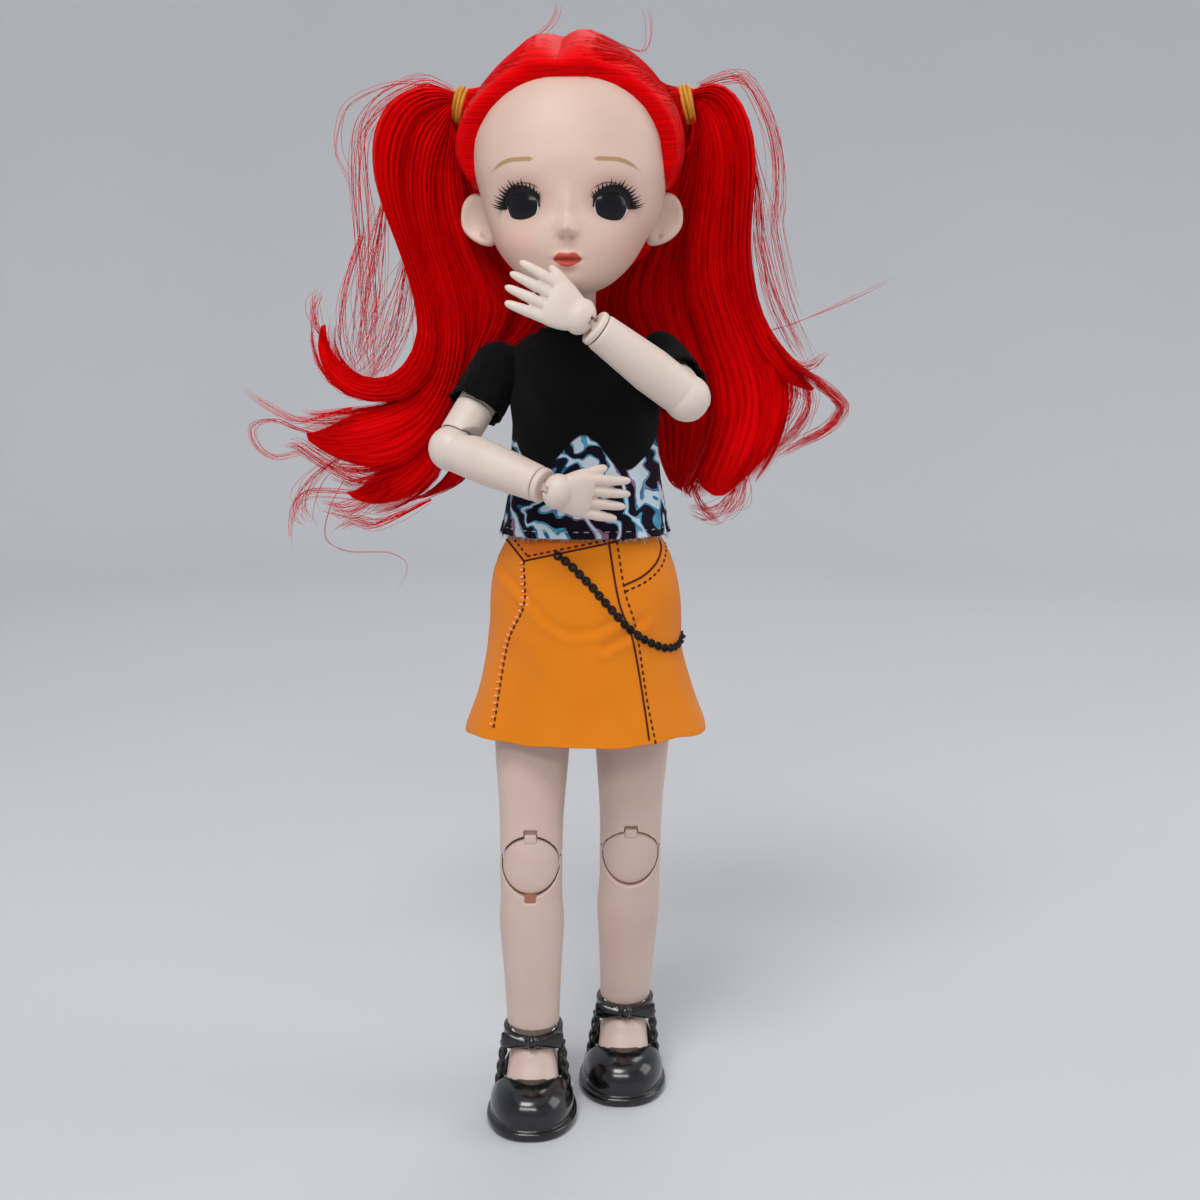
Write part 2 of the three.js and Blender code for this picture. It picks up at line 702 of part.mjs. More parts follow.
function shoe() {

	const sides = 20;
	const sole = loft( [
		shoeRing( 0, 0.5 - WELT, sides ),
		shoeRing( 0.6, - WELT, sides ),
		shoeRing( SOLE_THICKNESS - 0.5, - WELT, sides ),
		shoeRing( SOLE_THICKNESS, 0.4 - WELT, sides )
	] );
	const toeBox = loft( [
		shoeRing( SOLE_THICKNESS - 0.5, 0.3, sides ),
		shoeRing( SHOE_TOE_TOP * 0.45, 0, sides ),
		shoeRing( SHOE_TOE_TOP * 0.68, 0.9, sides ),
		shoeRing( SHOE_TOE_TOP * 0.85, 2.6, sides ),
		shoeRing( SHOE_TOE_TOP * 0.95, 5, sides ),
		shoeRing( SHOE_TOE_TOP, 8.4, sides )
	] );
	const heelCup = loft( [
		shoeRing( SOLE_THICKNESS - 0.5, 0.3, sides ),
		shoeRing( SHOE_HEEL_TOP * 0.4, 0.2, sides ),
		shoeRing( SHOE_HEEL_TOP * 0.75, 0.9, sides ),
		shoeRing( SHOE_HEEL_TOP, 1.6, sides )
	] ).intersect( block( 40, 30, 40, point( 0, 15 - VAMP_BACK * 0.5, SHOE_HEEL_TOP - ANKLE_HEIGHT ) ) );
	const opening = sideProfile( [
		[ - VAMP_BACK, SHOE_TOE_TOP + 6 ],
		[ - VAMP_BACK, SHOE_TOE_TOP - 1.5 ],
		[ - VAMP_BACK + 1.4, SHOE_SIDE_TOP + 0.9 ],
		[ - VAMP_BACK + 4, SHOE_SIDE_TOP ],
		[ - 2, SHOE_SIDE_TOP + 1 ],
		[ 3, SHOE_HEEL_TOP - 3.6 ],
		[ 6.5, SHOE_HEEL_TOP - 0.8 ],
		[ SHOE_HEEL_REACH + 2, SHOE_HEEL_TOP - 0.3 ],
		[ SHOE_HEEL_REACH + 2, SHOE_HEEL_TOP + 6 ]
	].map( ( [ y, height ] ) => [ y, height - ANKLE_HEIGHT ] ), 40 );
	let upper = toeBox.add( heelCup ).subtract( opening ).add( sole );
	upper = upper.subtract( pathLoft( footSections( GAP ), 12, Z_AXIS ) );
	for ( const { sign } of SIDES ) upper = upper.add( strapPost( sign ) );
	return upper;

}

const STRAP_INNER_A = 7.6; // half width of the strap's inside
const STRAP_INNER_B = 8.7; // half depth of the strap's inside

// The twisted post that runs from the shoe's top edge up to the strap
function strapPost( sign ) {

	const low = point( sign * ( SHOE_HALF_WIDTH - 2 ), - VAMP_BACK + 4, SHOE_SIDE_TOP - 1.6 - ANKLE_HEIGHT );
	const high = point(
		sign * ( STRAP_INNER_A + STRAP_WALL - 0.5 ),
		- 4,
		STRAP_LEVEL - STRAP_HEIGHT / 2 - GAP - ANKLE_HEIGHT
	);
	const rows = [];
	const steps = 5;
	for ( let i = 0; i <= steps; i ++ ) {

		const at = low.clone().lerp( high, i / steps );
		rows.push( { at, wide: POST_RADIUS, deep: POST_RADIUS, lobe: 0.16, lobes: 2 } );

	}

	return pathLoft( rows, 6 );

}

function shoeStrap() {

	const level = STRAP_LEVEL - ANKLE_HEIGHT;
	const half = STRAP_HEIGHT / 2;
	const band = ( a, b, extra ) => ovalLoft( [
		{ z: level - half - extra, a, b },
		{ z: level + half + extra, a, b }
	], 18 );
	const ring = band( STRAP_INNER_A + STRAP_WALL, STRAP_INNER_B + STRAP_WALL, 0 )
		.subtract( band( STRAP_INNER_A, STRAP_INNER_B, 1 ) );
	const front = - STRAP_INNER_B - STRAP_WALL;
	let bow = egg( point( 1.8, BOW_HALF_THICKNESS + 0.5, half + 0.3 ), point( 0, front - 0.3, level ), 10, 6 );
	for ( const { sign } of SIDES ) {

		const loop = egg(
			point( BOW_HALF_LENGTH / 2, BOW_HALF_THICKNESS, half + 0.6 ),
			ORIGIN,
			12,
			6
		);
		bow = bow.add( loop
			.rotate( [ 0, 0, sign * 16 ] )
			.translate( [ sign * BOW_HALF_LENGTH / 2, front + 0.4, level ] ) );

	}

	return ring.add( bow.subtract( band( STRAP_INNER_A, STRAP_INNER_B, 2 ) ) );

}

function addLeg( hips, side, step, bend ) {

	const hipSwing = Math.atan2( - step, HIP_RISE ) - kneeLean( bend ) + bend;
	const hip = childGroup( hips, point( side.sign * HIP_HALF_SPAN, 0, 0 ) );
	addPiece( hip, 'hip_ball_' + side.name, hipBall( side.sign ), PLASTIC_LEG );
	hip.rotation.x = - hipSwing;
	addPiece( hip, 'thigh_top_' + side.name, thighTop( side.sign ), PLASTIC_LEG );
	addPiece( hip, 'thigh_' + side.name, thigh(), PLASTIC_LEG );
	const bendDegrees = THREE.MathUtils.radToDeg( bend );
	const kneeTop = childGroup( hip, point( 0, 0, - THIGH_LENGTH ), bendDegrees );
	const knee = childGroup( kneeTop, point( 0, 0, - KNEE_HINGE_OFFSET ) );
	addPiece( knee, 'knee_ball_' + side.name, kneeBall(), PLASTIC_LEG );
	addPiece( knee, 'knee_pin_upper_' + side.name, kneePin( point( 0, 0, KNEE_HINGE_OFFSET ) ), PIN_PLASTIC );
	addPiece( knee, 'knee_pin_lower_' + side.name, kneePin( point( 0, 0, - KNEE_HINGE_OFFSET ) ), PIN_PLASTIC );
	const calf = childGroup( knee, point( 0, 0, - KNEE_HINGE_OFFSET ), bendDegrees );
	addPiece( calf, 'shin_' + side.name, shin(), PLASTIC_LEG );
	const ankle = childGroup( calf, point( 0, 0, - SHIN_LENGTH ) );
	ankle.rotation.x = hipSwing - 2 * bend;
	addPiece( ankle, 'foot_' + side.name, foot(), PLASTIC_LEG );
	addPiece( ankle, 'shoe_' + side.name, shoe(), SHOE_GLOSS );
	addPiece( ankle, 'shoe_strap_' + side.name, shoeStrap(), SHOE_GLOSS );

}

// Trunk

function waistBall() {

	return ball( WAIST_BALL_RADIUS, point( 0, 0, WAIST_LEVEL ) );

}

function pelvis() {

	const bottom = HIP_RADIUS + GAP;
	const upper = ovalLoft( [
		{ z: bottom, a: PELVIS_HALF_WIDTH, b: PELVIS_HALF_DEPTH },
		{ z: bottom + 1.6, a: PELVIS_HALF_WIDTH, b: PELVIS_HALF_DEPTH - 0.3 },
		{ z: PELVIS_TOP, a: PELVIS_HALF_WIDTH - 6, b: PELVIS_HALF_DEPTH - 1.4 }
	], 20 );
	const webHalf = HIP_HALF_SPAN - HIP_RADIUS - GAP;
	const web = sideProfile( [
		[ - 9, bottom + 0.5 ],
		[ - 9.4, 2 ],
		[ - 7.5, - 5 ],
		[ - 3.5, - 10 ],
		[ 3.5, - 10.5 ],
		[ 8.5, - 6 ],
		[ 10.5, 1 ],
		[ 10.5, bottom + 0.5 ]
	], 2 * webHalf );
	return upper
		.add( web )
		.subtract( socket( WAIST_BALL_RADIUS, point( 0, 0, WAIST_LEVEL ) ) )
		.subtract( crossRod( HIP_STEM_RADIUS + GAP, 4 * webHalf ) );

}

// The room that a sleeve and the top of its arm take up along an aim
function armhole( side, aim ) {

	const shoulder = point( side.sign * SHOULDER_HALF_SPAN, 0, SHOULDER_LEVEL );
	const end = shoulder.clone().addScaledVector( aim.clone().normalize(), SLEEVE_LENGTH + 2 );
	return socket( SLEEVE_CAP, shoulder ).add( rod( SLEEVE_CAP, shoulder, end, 14 ) );

}

// The body of the doll is cut back further, so that each arm can also hang straight down
function armRoom( side, aim ) {

	return armhole( side, aim ).add( armhole( side, point( 0, - 6, - 20 ) ) );

}

function chest() {

	const bust = CHEST_BOTTOM + 35;
	const body = ovalLoft( [
		{ z: CHEST_BOTTOM, a: CHEST_WAIST_HALF_WIDTH, b: CHEST_HALF_DEPTH - 1.3 },
		{ z: CHEST_BOTTOM + 8, a: CHEST_WAIST_HALF_WIDTH + 0.3, b: CHEST_HALF_DEPTH - 1.1 },
		{ z: CHEST_BOTTOM + 20, a: CHEST_HALF_WIDTH - 1.6, b: CHEST_HALF_DEPTH - 0.5 },
		{ z: bust, a: CHEST_HALF_WIDTH, b: CHEST_HALF_DEPTH + 0.6, y: - 0.6 },
		{ z: bust + 8, a: CHEST_HALF_WIDTH - 0.1, b: CHEST_HALF_DEPTH - 0.4 },
		{ z: CHEST_TOP - 7, a: CHEST_HALF_WIDTH - 0.7, b: CHEST_HALF_DEPTH - 1.9 },
		{ z: CHEST_TOP - 3, a: CHEST_HALF_WIDTH - 4.6, b: CHEST_HALF_DEPTH - 2.9, x: NECK_X / 3 },
		{ z: CHEST_TOP, a: CHEST_HALF_WIDTH / 2, b: CHEST_HALF_DEPTH - 3.9, x: NECK_X / 2, y: 0.4 }
	], 14 );
	let shape = body;
	for ( const { sign } of SIDES ) {

		const shoulder = point( sign * SHOULDER_HALF_SPAN, 0, SHOULDER_LEVEL );
		const stemEnd = point( sign * ( SHOULDER_HALF_SPAN - SHOULDER_STEM_LENGTH - GAP ), 0, SHOULDER_LEVEL );
		shape = shape
			.add( egg( point( 6.6, 5, 6 ), point( sign * 8.6, 3.2 - CHEST_HALF_DEPTH, bust ), 10, 6 ) )
			.subtract( rod( SHOULDER_STEM_RADIUS + GAP, shoulder, stemEnd, 8 ) );

	}

	const neckCone = turned( [
		[ 0, 0 ],
		[ NECK_RADIUS + GAP, 0 ],
		[ NECK_RADIUS + 2 * GAP + 8 * Math.tan( radians( NECK_NOD ) ), 8 ],
		[ 0, 8 ]
	] ).translate( [ NECK_X, NECK_Y, NECK_BALL_LEVEL ] );
	return shape
		.subtract( socket( WAIST_BALL_RADIUS, point( 0, 0, WAIST_LEVEL ) ) )
		.subtract( socket( NECK_BALL_RADIUS, point( NECK_X, NECK_Y, NECK_BALL_LEVEL ) ) )
		.subtract( neckCone )
		.subtract( armRoom( RIGHT, RIGHT_UPPER_ARM_AIM ) )
		.subtract( armRoom( LEFT, LEFT_UPPER_ARM_AIM ) );

}

// Front and back shells meet on a parting line a little behind the middle
function addShells( group, name, shape, seamY, material ) {

	const size = 400;
	const front = block( size, size, size, point( 0, seamY - size / 2, 0 ) );
	const back = block( size, size, size, point( 0, seamY + GAP + size / 2, 0 ) );
	addPiece( group, name + '_front', shape.intersect( front ), material );
	addPiece( group, name + '_back', shape.intersect( back ), material );

}

// Arms, each in a frame whose -Z axis runs down the limb

function shoulderBall( sign ) {

	const stemEnd = point( - sign * SHOULDER_STEM_LENGTH, 0, 0 );
	return ball( SHOULDER_BALL_RADIUS, ORIGIN, 12, 7 ).add( rod( SHOULDER_STEM_RADIUS, ORIGIN, stemEnd, 8 ) );

}

// The way cut for the stem as the arm is raised; the angle is that between stem and arm at rest
function stemSlot( sign, restAngle, reach ) {

	const halfSlot = SHOULDER_STEM_RADIUS + GAP;
	return sweptSlot( 2 * halfSlot, halfSlot, reach, restAngle - 5, restAngle + SHOULDER_LIFT )
		.rotate( [ 0, 0, - sign * 90 ] );

}

function upperArm( sign, restAngle ) {

	const low = - ARM_SWIVEL_DROP;
	const shaft = ovalLoft( [
		{ z: low, a: UPPER_ARM_RADIUS, b: UPPER_ARM_RADIUS },
		{ z: - SHOULDER_RADIUS, a: UPPER_ARM_RADIUS + 0.3, b: UPPER_ARM_RADIUS + 0.3 },
		{ z: - 2, a: SHOULDER_RADIUS - 0.7, b: SHOULDER_RADIUS - 0.7 }
	], 12 );
	const pegHole = rod(
		ARM_PEG_RADIUS + GAP,
		point( 0, 0, low - 1 ),
		point( 0, 0, low + ARM_PEG_LENGTH + GAP ),
		10
	);
	return ball( SHOULDER_RADIUS )
		.add( shaft )
		.subtract( socket( SHOULDER_BALL_RADIUS, ORIGIN, 12, 7 ) )
		.subtract( stemSlot( sign, restAngle, SHOULDER_RADIUS + 2 ) )
		.subtract( pegHole );

}

// The sleeve turns with the upper arm; its round cap fills the armhole
function sleeve( sign, restAngle ) {

	const side = ( inset ) => {

		const cap = SLEEVE_CAP - inset;
		const cuff = UPPER_ARM_RADIUS + CLOTH_GAP + CLOTH_WALL - inset;
		const points = [ [ cuff, - SLEEVE_LENGTH ], [ cuff + 0.8, - SLEEVE_LENGTH / 2 ] ];
		for ( let angle = 0; angle <= 90; angle += 22.5 ) {

			const radius = angle < 90 ? cap * Math.cos( radians( angle ) ) : 0;
			points.push( [ radius, cap * Math.sin( radians( angle ) ) ] );

		}

		return points;

	};

	const inside = side( CLOTH_WALL );
	return turned( [ inside[ 0 ], ...side( 0 ), ...inside.reverse() ], 14 )
		.subtract( stemSlot( sign, restAngle, SLEEVE_CAP + 3 ) );

}

function elbowCup() {

	const top = - ARM_SWIVEL_DROP - GAP;
	const hollow = ELBOW_RADIUS + GAP;
	const rim = - UPPER_ARM_LENGTH + Math.sqrt( hollow ** 2 - UPPER_ARM_RADIUS ** 2 ) + 0.4;
	const elbow = point( 0, 0, - UPPER_ARM_LENGTH );
	const shaft = ovalLoft( [
		{ z: rim, a: UPPER_ARM_RADIUS, b: UPPER_ARM_RADIUS },
		{ z: top, a: UPPER_ARM_RADIUS, b: UPPER_ARM_RADIUS }
	], 14 );
	const relief = beyondPlane( - ELBOW_CLOSED_ANGLE / 2, 2 * FOREARM_LENGTH ).translate( elbow.toArray() );
	const tab = hingeTab(
		ELBOW_TAB_WIDTH,
		ELBOW_TAB_RADIUS,
		elbow.z + hollow + 1.5,
		elbow.z,
		ELBOW_PIN_RADIUS
	);
	const peg = rod( ARM_PEG_RADIUS, point( 0, 0, top - 1 ), point( 0, 0, top + ARM_PEG_LENGTH ) );
	return shaft.subtract( relief ).subtract( socket( ELBOW_RADIUS, elbow, 16, 8 ) ).add( tab ).add( peg );

}

function forearm() {

	const end = - FOREARM_LENGTH + WRIST_RADIUS + GAP + WRIST_COLLAR + GAP;
	const shaft = ovalLoft( [
		{ z: end, a: FOREARM_WRIST_RADIUS - 0.3, b: FOREARM_WRIST_RADIUS - 0.3 },
		{ z: end + 0.6, a: FOREARM_WRIST_RADIUS, b: FOREARM_WRIST_RADIUS },
		{ z: - ELBOW_RADIUS * 2, a: FOREARM_RADIUS, b: FOREARM_RADIUS },
		{ z: - 1, a: FOREARM_RADIUS - 0.2, b: FOREARM_RADIUS - 0.2 }
	], 14 );
	const slot = sweptSlot(
		ELBOW_TAB_WIDTH + 2 * GAP,
		ELBOW_TAB_RADIUS + GAP,
		ELBOW_RADIUS + 2,
		ELBOW_CLOSED_ANGLE,
		180
	);
	const pegHole = rod(
		WRIST_PEG_RADIUS + GAP,
		point( 0, 0, end - 1 ),
		point( 0, 0, end + WRIST_PEG_LENGTH + GAP ),
		8
	);
	return shaft
		.subtract( beyondPlane( ELBOW_CLOSED_ANGLE / 2, 2 * FOREARM_LENGTH ) )
		.add( ball( ELBOW_RADIUS, ORIGIN, 14, 8 ) )
		.subtract( slot )
		.subtract( crossRod( ELBOW_PIN_RADIUS + GAP, 4 * ELBOW_RADIUS, ORIGIN, 8 ) )
		.subtract( pegHole );

}

function elbowPin() {

	return crossRod( ELBOW_PIN_RADIUS, 2 * ELBOW_RADIUS - 1, ORIGIN, 8 );

}

// Wrist frame: origin at the wrist centre, forearm towards +Z
function wristLink() {

	const low = WRIST_RADIUS + GAP;
	const top = low + WRIST_COLLAR;
	const collar = ovalLoft( [
		{ z: low, a: FOREARM_WRIST_RADIUS - 0.6, b: FOREARM_WRIST_RADIUS - 0.6 },
		{ z: low + 0.5, a: FOREARM_WRIST_RADIUS - 0.1, b: FOREARM_WRIST_RADIUS - 0.1 },
		{ z: top, a: FOREARM_WRIST_RADIUS - 0.1, b: FOREARM_WRIST_RADIUS - 0.1 }
	], 16 );
	const tab = hingeTab( WRIST_TAB_WIDTH, WRIST_TAB_RADIUS, low + 0.5, 0, 0.2 );
	const peg = rod( WRIST_PEG_RADIUS, point( 0, 0, top - 0.5 ), point( 0, 0, top + WRIST_PEG_LENGTH ), 8 );
	return collar.add( tab ).add( peg );

}

// Hand frame: X towards the thumb, -Z towards the finger tips; palmSign is the side of the palm along Y
function hand( palmSign ) {

	const heel = egg( point( WRIST_HALF_WIDTH, WRIST_RADIUS, WRIST_RADIUS ), ORIGIN, 12, 6 );
	const palm = ovalLoft( [
		{ z: - PALM_LENGTH, a: PALM_HALF_WIDTH * 0.95, b: PALM_HALF_THICKNESS * 0.74, power: 3 },
		{ z: - PALM_LENGTH * 0.75, a: PALM_HALF_WIDTH, b: PALM_HALF_THICKNESS * 0.91, power: 3 },
		{ z: - PALM_LENGTH * 0.35, a: PALM_HALF_WIDTH * 0.9, b: PALM_HALF_THICKNESS, power: 2.6 },
		{ z: - PALM_LENGTH * 0.06, a: WRIST_HALF_WIDTH * 0.91, b: PALM_HALF_THICKNESS, power: 2.2 }
	], 10 );
	let shape = heel.add( palm );
	const last = FINGER_SHARES.length - 1;
	const pitch = ( 2 * PALM_HALF_WIDTH - 2 * FINGER_RADIUS ) / last;
	FINGER_SHARES.forEach( ( share, i ) => {

		const x = - PALM_HALF_WIDTH + FINGER_RADIUS + pitch * i;
		const fan = ( i - last / 2 ) * FINGER_FAN * FINGER_RADIUS;
		const reach = FINGER_LENGTH * share;
		const knuckle = ( along, drop, radius ) => ( {
			at: point(
				x + fan * along,
				palmSign * drop * FINGER_CURL * FINGER_RADIUS,
				- PALM_LENGTH + FINGER_RADIUS - reach * along
			),
			wide: radius,
			deep: radius
		} );
		shape = shape.add( pathLoft( [
			knuckle( 0, 0, FINGER_RADIUS ),
			knuckle( 0.5, 0.2, FINGER_RADIUS ),
			knuckle( 0.98, 0.73, FINGER_RADIUS * 0.85 ),
			knuckle( 1.16, 1, FINGER_RADIUS * 0.4 )
		], 6 ) );

	} );
	const thumbRoot = point(
		PALM_HALF_WIDTH - THUMB_RADIUS * 1.5,
		palmSign * THUMB_RADIUS * 0.23,
		- PALM_LENGTH * 0.28
	);
	const thumbWay = THUMB_WAY.clone();
	thumbWay.y *= palmSign;
	const thumbRow = ( along, radius ) => ( {
		at: thumbRoot.clone().addScaledVector( thumbWay, THUMB_LENGTH * along ),
		wide: radius,
		deep: radius * 0.9
	} );
	const thumb = pathLoft( [
		thumbRow( 0, THUMB_RADIUS ),
		thumbRow( 0.5, THUMB_RADIUS * 0.95 ),
		thumbRow( 0.9, THUMB_RADIUS * 0.8 ),
		thumbRow( 1.04, THUMB_RADIUS * 0.35 )
	], 7 );
	const slot = sweptSlot(
		WRIST_TAB_WIDTH + 2 * GAP,
		WRIST_TAB_RADIUS + GAP,
		WRIST_RADIUS * 1.5,
		180 - WRIST_SWING,
		180 + WRIST_SWING
	);
	return shape.add( thumb ).subtract( slot );

}

function addArm( torso, side, upperAim, lowerAim, wristBend ) {

	const upperWay = upperAim.clone().normalize();
	const lowerWay = lowerAim.clone().normalize();
	const centre = point( side.sign * SHOULDER_HALF_SPAN, 0, SHOULDER_LEVEL );
	const socket = childGroup( torso, centre );
	addPiece( socket, 'shoulder_ball_' + side.name, shoulderBall( side.sign ), VINYL_ARM );

	const upper = aimedGroup( centre, upperWay, X_AXIS );
	torso.add( upper );
	const stemAngle = THREE.MathUtils.radToDeg( upperWay.angleTo( point( - side.sign, 0, 0 ) ) );
	addPiece( upper, 'upper_arm_' + side.name, upperArm( side.sign, stemAngle ), VINYL_ARM );
	addPiece( upper, 'sleeve_' + side.name, sleeve( side.sign, stemAngle ), BLACK_KNIT );

	const hingeAxis = lowerWay.clone().cross( upperWay ).normalize();
	const cup = aimedGroup( centre, upperWay, hingeAxis );
	torso.add( cup );
	addPiece( cup, 'elbow_cup_' + side.name, elbowCup(), VINYL_ARM );

	const elbow = centre.clone().addScaledVector( upperWay, UPPER_ARM_LENGTH );
	const lower = aimedGroup( elbow, lowerWay, hingeAxis );
	torso.add( lower );
	addPiece( lower, 'forearm_' + side.name, forearm(), VINYL_ARM );
	addPiece( lower, 'elbow_pin_' + side.name, elbowPin(), PIN_PLASTIC );

	const wristCentre = elbow.clone().addScaledVector( lowerWay, FOREARM_LENGTH );
	const wrist = aimedGroup( wristCentre, lowerWay, Z_AXIS );
	torso.add( wrist );
	addPiece( wrist, 'wrist_link_' + side.name, wristLink(), VINYL_ARM );
	const palm = childGroup( wrist, ORIGIN, wristBend );
	addPiece( palm, 'hand_' + side.name, hand( - side.sign ), VINYL_ARM );

}

// Neck, in a frame whose origin is the centre of its ball

const KNOB_BASE = NECK_LENGTH - NECK_KNOB_LENGTH;

function neck() {

	const column = turned( [
		[ 0, 0 ],
		[ NECK_RADIUS, 0 ],
		[ NECK_RADIUS - 0.3, KNOB_BASE / 2 ],
		[ NECK_RADIUS, KNOB_BASE ],
		[ NECK_KNOB_RADIUS, KNOB_BASE + 1.2 ],
		[ NECK_KNOB_RADIUS, NECK_LENGTH - 2 ],
		[ NECK_RADIUS - 1, NECK_LENGTH ],
		[ 0, NECK_LENGTH ]
	], 14 );
	return column.add( ball( NECK_BALL_RADIUS ) );

}

function neckHole() {

	return turned( [
		[ 0, 4 ],
		[ NECK_RADIUS + GAP, 4 ],
		[ NECK_RADIUS + GAP, KNOB_BASE - GAP ],
		[ NECK_KNOB_RADIUS + GAP, KNOB_BASE + 1.2 - GAP ],
		[ NECK_KNOB_RADIUS + GAP, NECK_LENGTH - 2 + GAP ],
		[ NECK_RADIUS - 1 + GAP, NECK_LENGTH + GAP ],
		[ 0, NECK_LENGTH + GAP ]
	], 14 );

}

// Head, in a frame on the neck axis at the level of the chin.
// Each row of the skull is a share of the height, half width, front reach and back reach.

const SKULL_ROWS = [
	[ 0, 0.2, 0.8, - 0.42 ],
	[ 0.03, 0.4, 0.92, - 0.1 ],
	[ 0.075, 0.56, 0.97, 0.22 ],
	[ 0.13, 0.7, 0.99, 0.46 ],
	[ 0.19, 0.81, 1, 0.68 ],
	[ 0.25, 0.885, 1, 0.82 ],
	[ 0.32, 0.935, 0.985, 0.92 ],
	[ 0.4, 0.97, 0.98, 0.98 ],
	[ 0.5, 1, 0.98, 1 ],
	[ 0.6, 1, 0.95, 1 ],
	[ 0.7, 0.95, 0.885, 0.96 ],
	[ 0.8, 0.85, 0.77, 0.86 ],
	[ 0.88, 0.7, 0.62, 0.72 ],
	[ 0.94, 0.5, 0.44, 0.52 ],
	[ 0.98, 0.28, 0.25, 0.3 ],
	[ 1, 0.1, 0.1, 0.1 ]
];

// The skull's half width, front and back at a height, eased between the rows
function skullAt( z ) {

	const share = THREE.MathUtils.clamp( z / HEAD_HEIGHT, 0, 1 );
	let i = 1;
	while ( i < SKULL_ROWS.length - 1 && SKULL_ROWS[ i ][ 0 ] < share ) i ++;
	const low = SKULL_ROWS[ i - 1 ];
	const high = SKULL_ROWS[ i ];
	const t = ( share - low[ 0 ] ) / ( high[ 0 ] - low[ 0 ] );
	const mix = ( k ) => THREE.MathUtils.lerp( low[ k ], high[ k ], t );
	return { half: mix( 1 ) * HEAD_HALF_WIDTH, front: mix( 2 ) * HEAD_FRONT, back: mix( 3 ) * HEAD_BACK };

}

function bump( x, z, centreX, centreZ, spreadX, spreadZ ) {

	return Math.exp( - ( ( ( x - centreX ) / spreadX ) ** 2 ) - ( ( z - centreZ ) / spreadZ ) ** 2 );

}

// How far the face stands out of the plain skull at a place
function faceRelief( x, z ) {

	const side = Math.abs( x );
	return NOSE_DEPTH * bump( x, z, 0, NOSE_HEIGHT, 2.1, 2.8 )
		+ 0.9 * bump( x, z, 0, NOSE_HEIGHT + 5, 2.2, 4.5 )
		+ 1.1 * bump( x, z, 0, MOUTH_HEIGHT + 1.4, 3.6, 1.1 )
		+ 1.2 * bump( x, z, 0, MOUTH_HEIGHT - 1.5, 3, 1.2 )
		+ 0.9 * bump( x, z, 0, 2.4, 4, 2.4 )
		- 1.7 * bump( side, z, EYE_HALF_SPAN, EYE_HEIGHT, 6, 4.4 )
		+ 0.6 * bump( side, z, EYE_HALF_SPAN + 1.5, NOSE_HEIGHT - 4, 6, 4 );

}

const FACE_POWER = 2.35;

function skullRing( z, grow, relief, sides ) {

	const { half, front, back } = skullAt( z );
	const centre = ( back - front ) / 2;
	const reach = ( front + back ) / 2 + grow;
	const ring = [];
	for ( let i = 0; i < sides; i ++ ) {

		const turn = i / sides * Math.PI * 2;
		const fromFront = turn - 0.42 * Math.sin( turn );
		const s = Math.sin( fromFront );
		const c = - Math.cos( fromFront );
		const x = ( half + grow ) * Math.sign( s ) * Math.abs( s ) ** ( 2 / FACE_POWER );
		let y = centre + reach * Math.sign( c ) * Math.abs( c ) ** ( 2 / FACE_POWER );
		if ( relief && c < 0 ) y -= faceRelief( x, z ) * Math.min( 1, - c * 2 );
		ring.push( point( x, y, z ) );

	}

	return ring;

}

function skull( grow, relief, levels, sides ) {

	const rings = levels.map( ( share ) => {

		const ring = skullRing( share * HEAD_HEIGHT, grow, relief, sides );
		const rise = grow * ( 2 * share - 1 );
		return ring.map( ( spot ) => spot.setZ( spot.z + rise ) );

	} );
	return loft( rings );

}

// Where the plain face surface lies at a place, measured along Y
function faceY( x, z ) {

	const { half, front, back } = skullAt( z );
	const reach = ( front + back ) / 2;
	const centre = ( back - front ) / 2;
	return centre - reach * ( 1 - ( Math.abs( x ) / half ) ** FACE_POWER ) ** ( 1 / FACE_POWER );

}

function eyeCentre( sign ) {

	const x = sign * EYE_HALF_SPAN;
	return point( x, faceY( x, EYE_HEIGHT ) + 1.7 + EYE_HALF_DEPTH - EYE_BULGE, EYE_HEIGHT );

}

function eye( sign, grow ) {

	const sizes = point( EYE_HALF_WIDTH + grow, EYE_HALF_DEPTH + grow, EYE_HALF_HEIGHT + grow );
	return egg( sizes, ORIGIN, 14, 7 )
		.rotate( [ 0, 0, sign * 12 ] )
		.translate( eyeCentre( sign ).toArray() );

}

function ear( sign ) {

	const centre = point( sign * EAR_REACH, EAR_Y, EAR_HEIGHT );
	const lobe = egg( point( EAR_HALF_WIDTH, EAR_HALF_DEPTH, EAR_HALF_HEIGHT ), ORIGIN, 12, 8 );
	const bowl = egg(
		point( EAR_HALF_WIDTH * 0.55, EAR_HALF_DEPTH, EAR_HALF_HEIGHT * 0.55 ),
		point( - sign * 0.5, - EAR_HALF_DEPTH, 0.8 ),
		8,
		6
	);
	return lobe.subtract( bowl ).rotate( [ 0, sign * 8, 0 ] ).translate( centre.toArray() );

}

const FACE_LEVELS = [
	0, 0.03, 0.065, 0.1, 0.125, 0.15, 0.175, 0.2, 0.235, 0.27, 0.31, 0.36,
	0.44, 0.55, 0.68, 0.8, 0.88, 0.95, 1
];
const HAIR_LEVELS = SKULL_ROWS.slice( 2 ).map( ( row ) => row[ 0 ] );

function head() {

	let shape = skull( 0, true, FACE_LEVELS, 28 );
	for ( const { sign } of SIDES ) {

		shape = shape.add( ear( sign ) ).subtract( eye( sign, GAP ) );

	}

	return shape.subtract( neckHole().translate( [ 0, 0, NECK_BALL_LEVEL - CHIN_LEVEL ] ) );

}

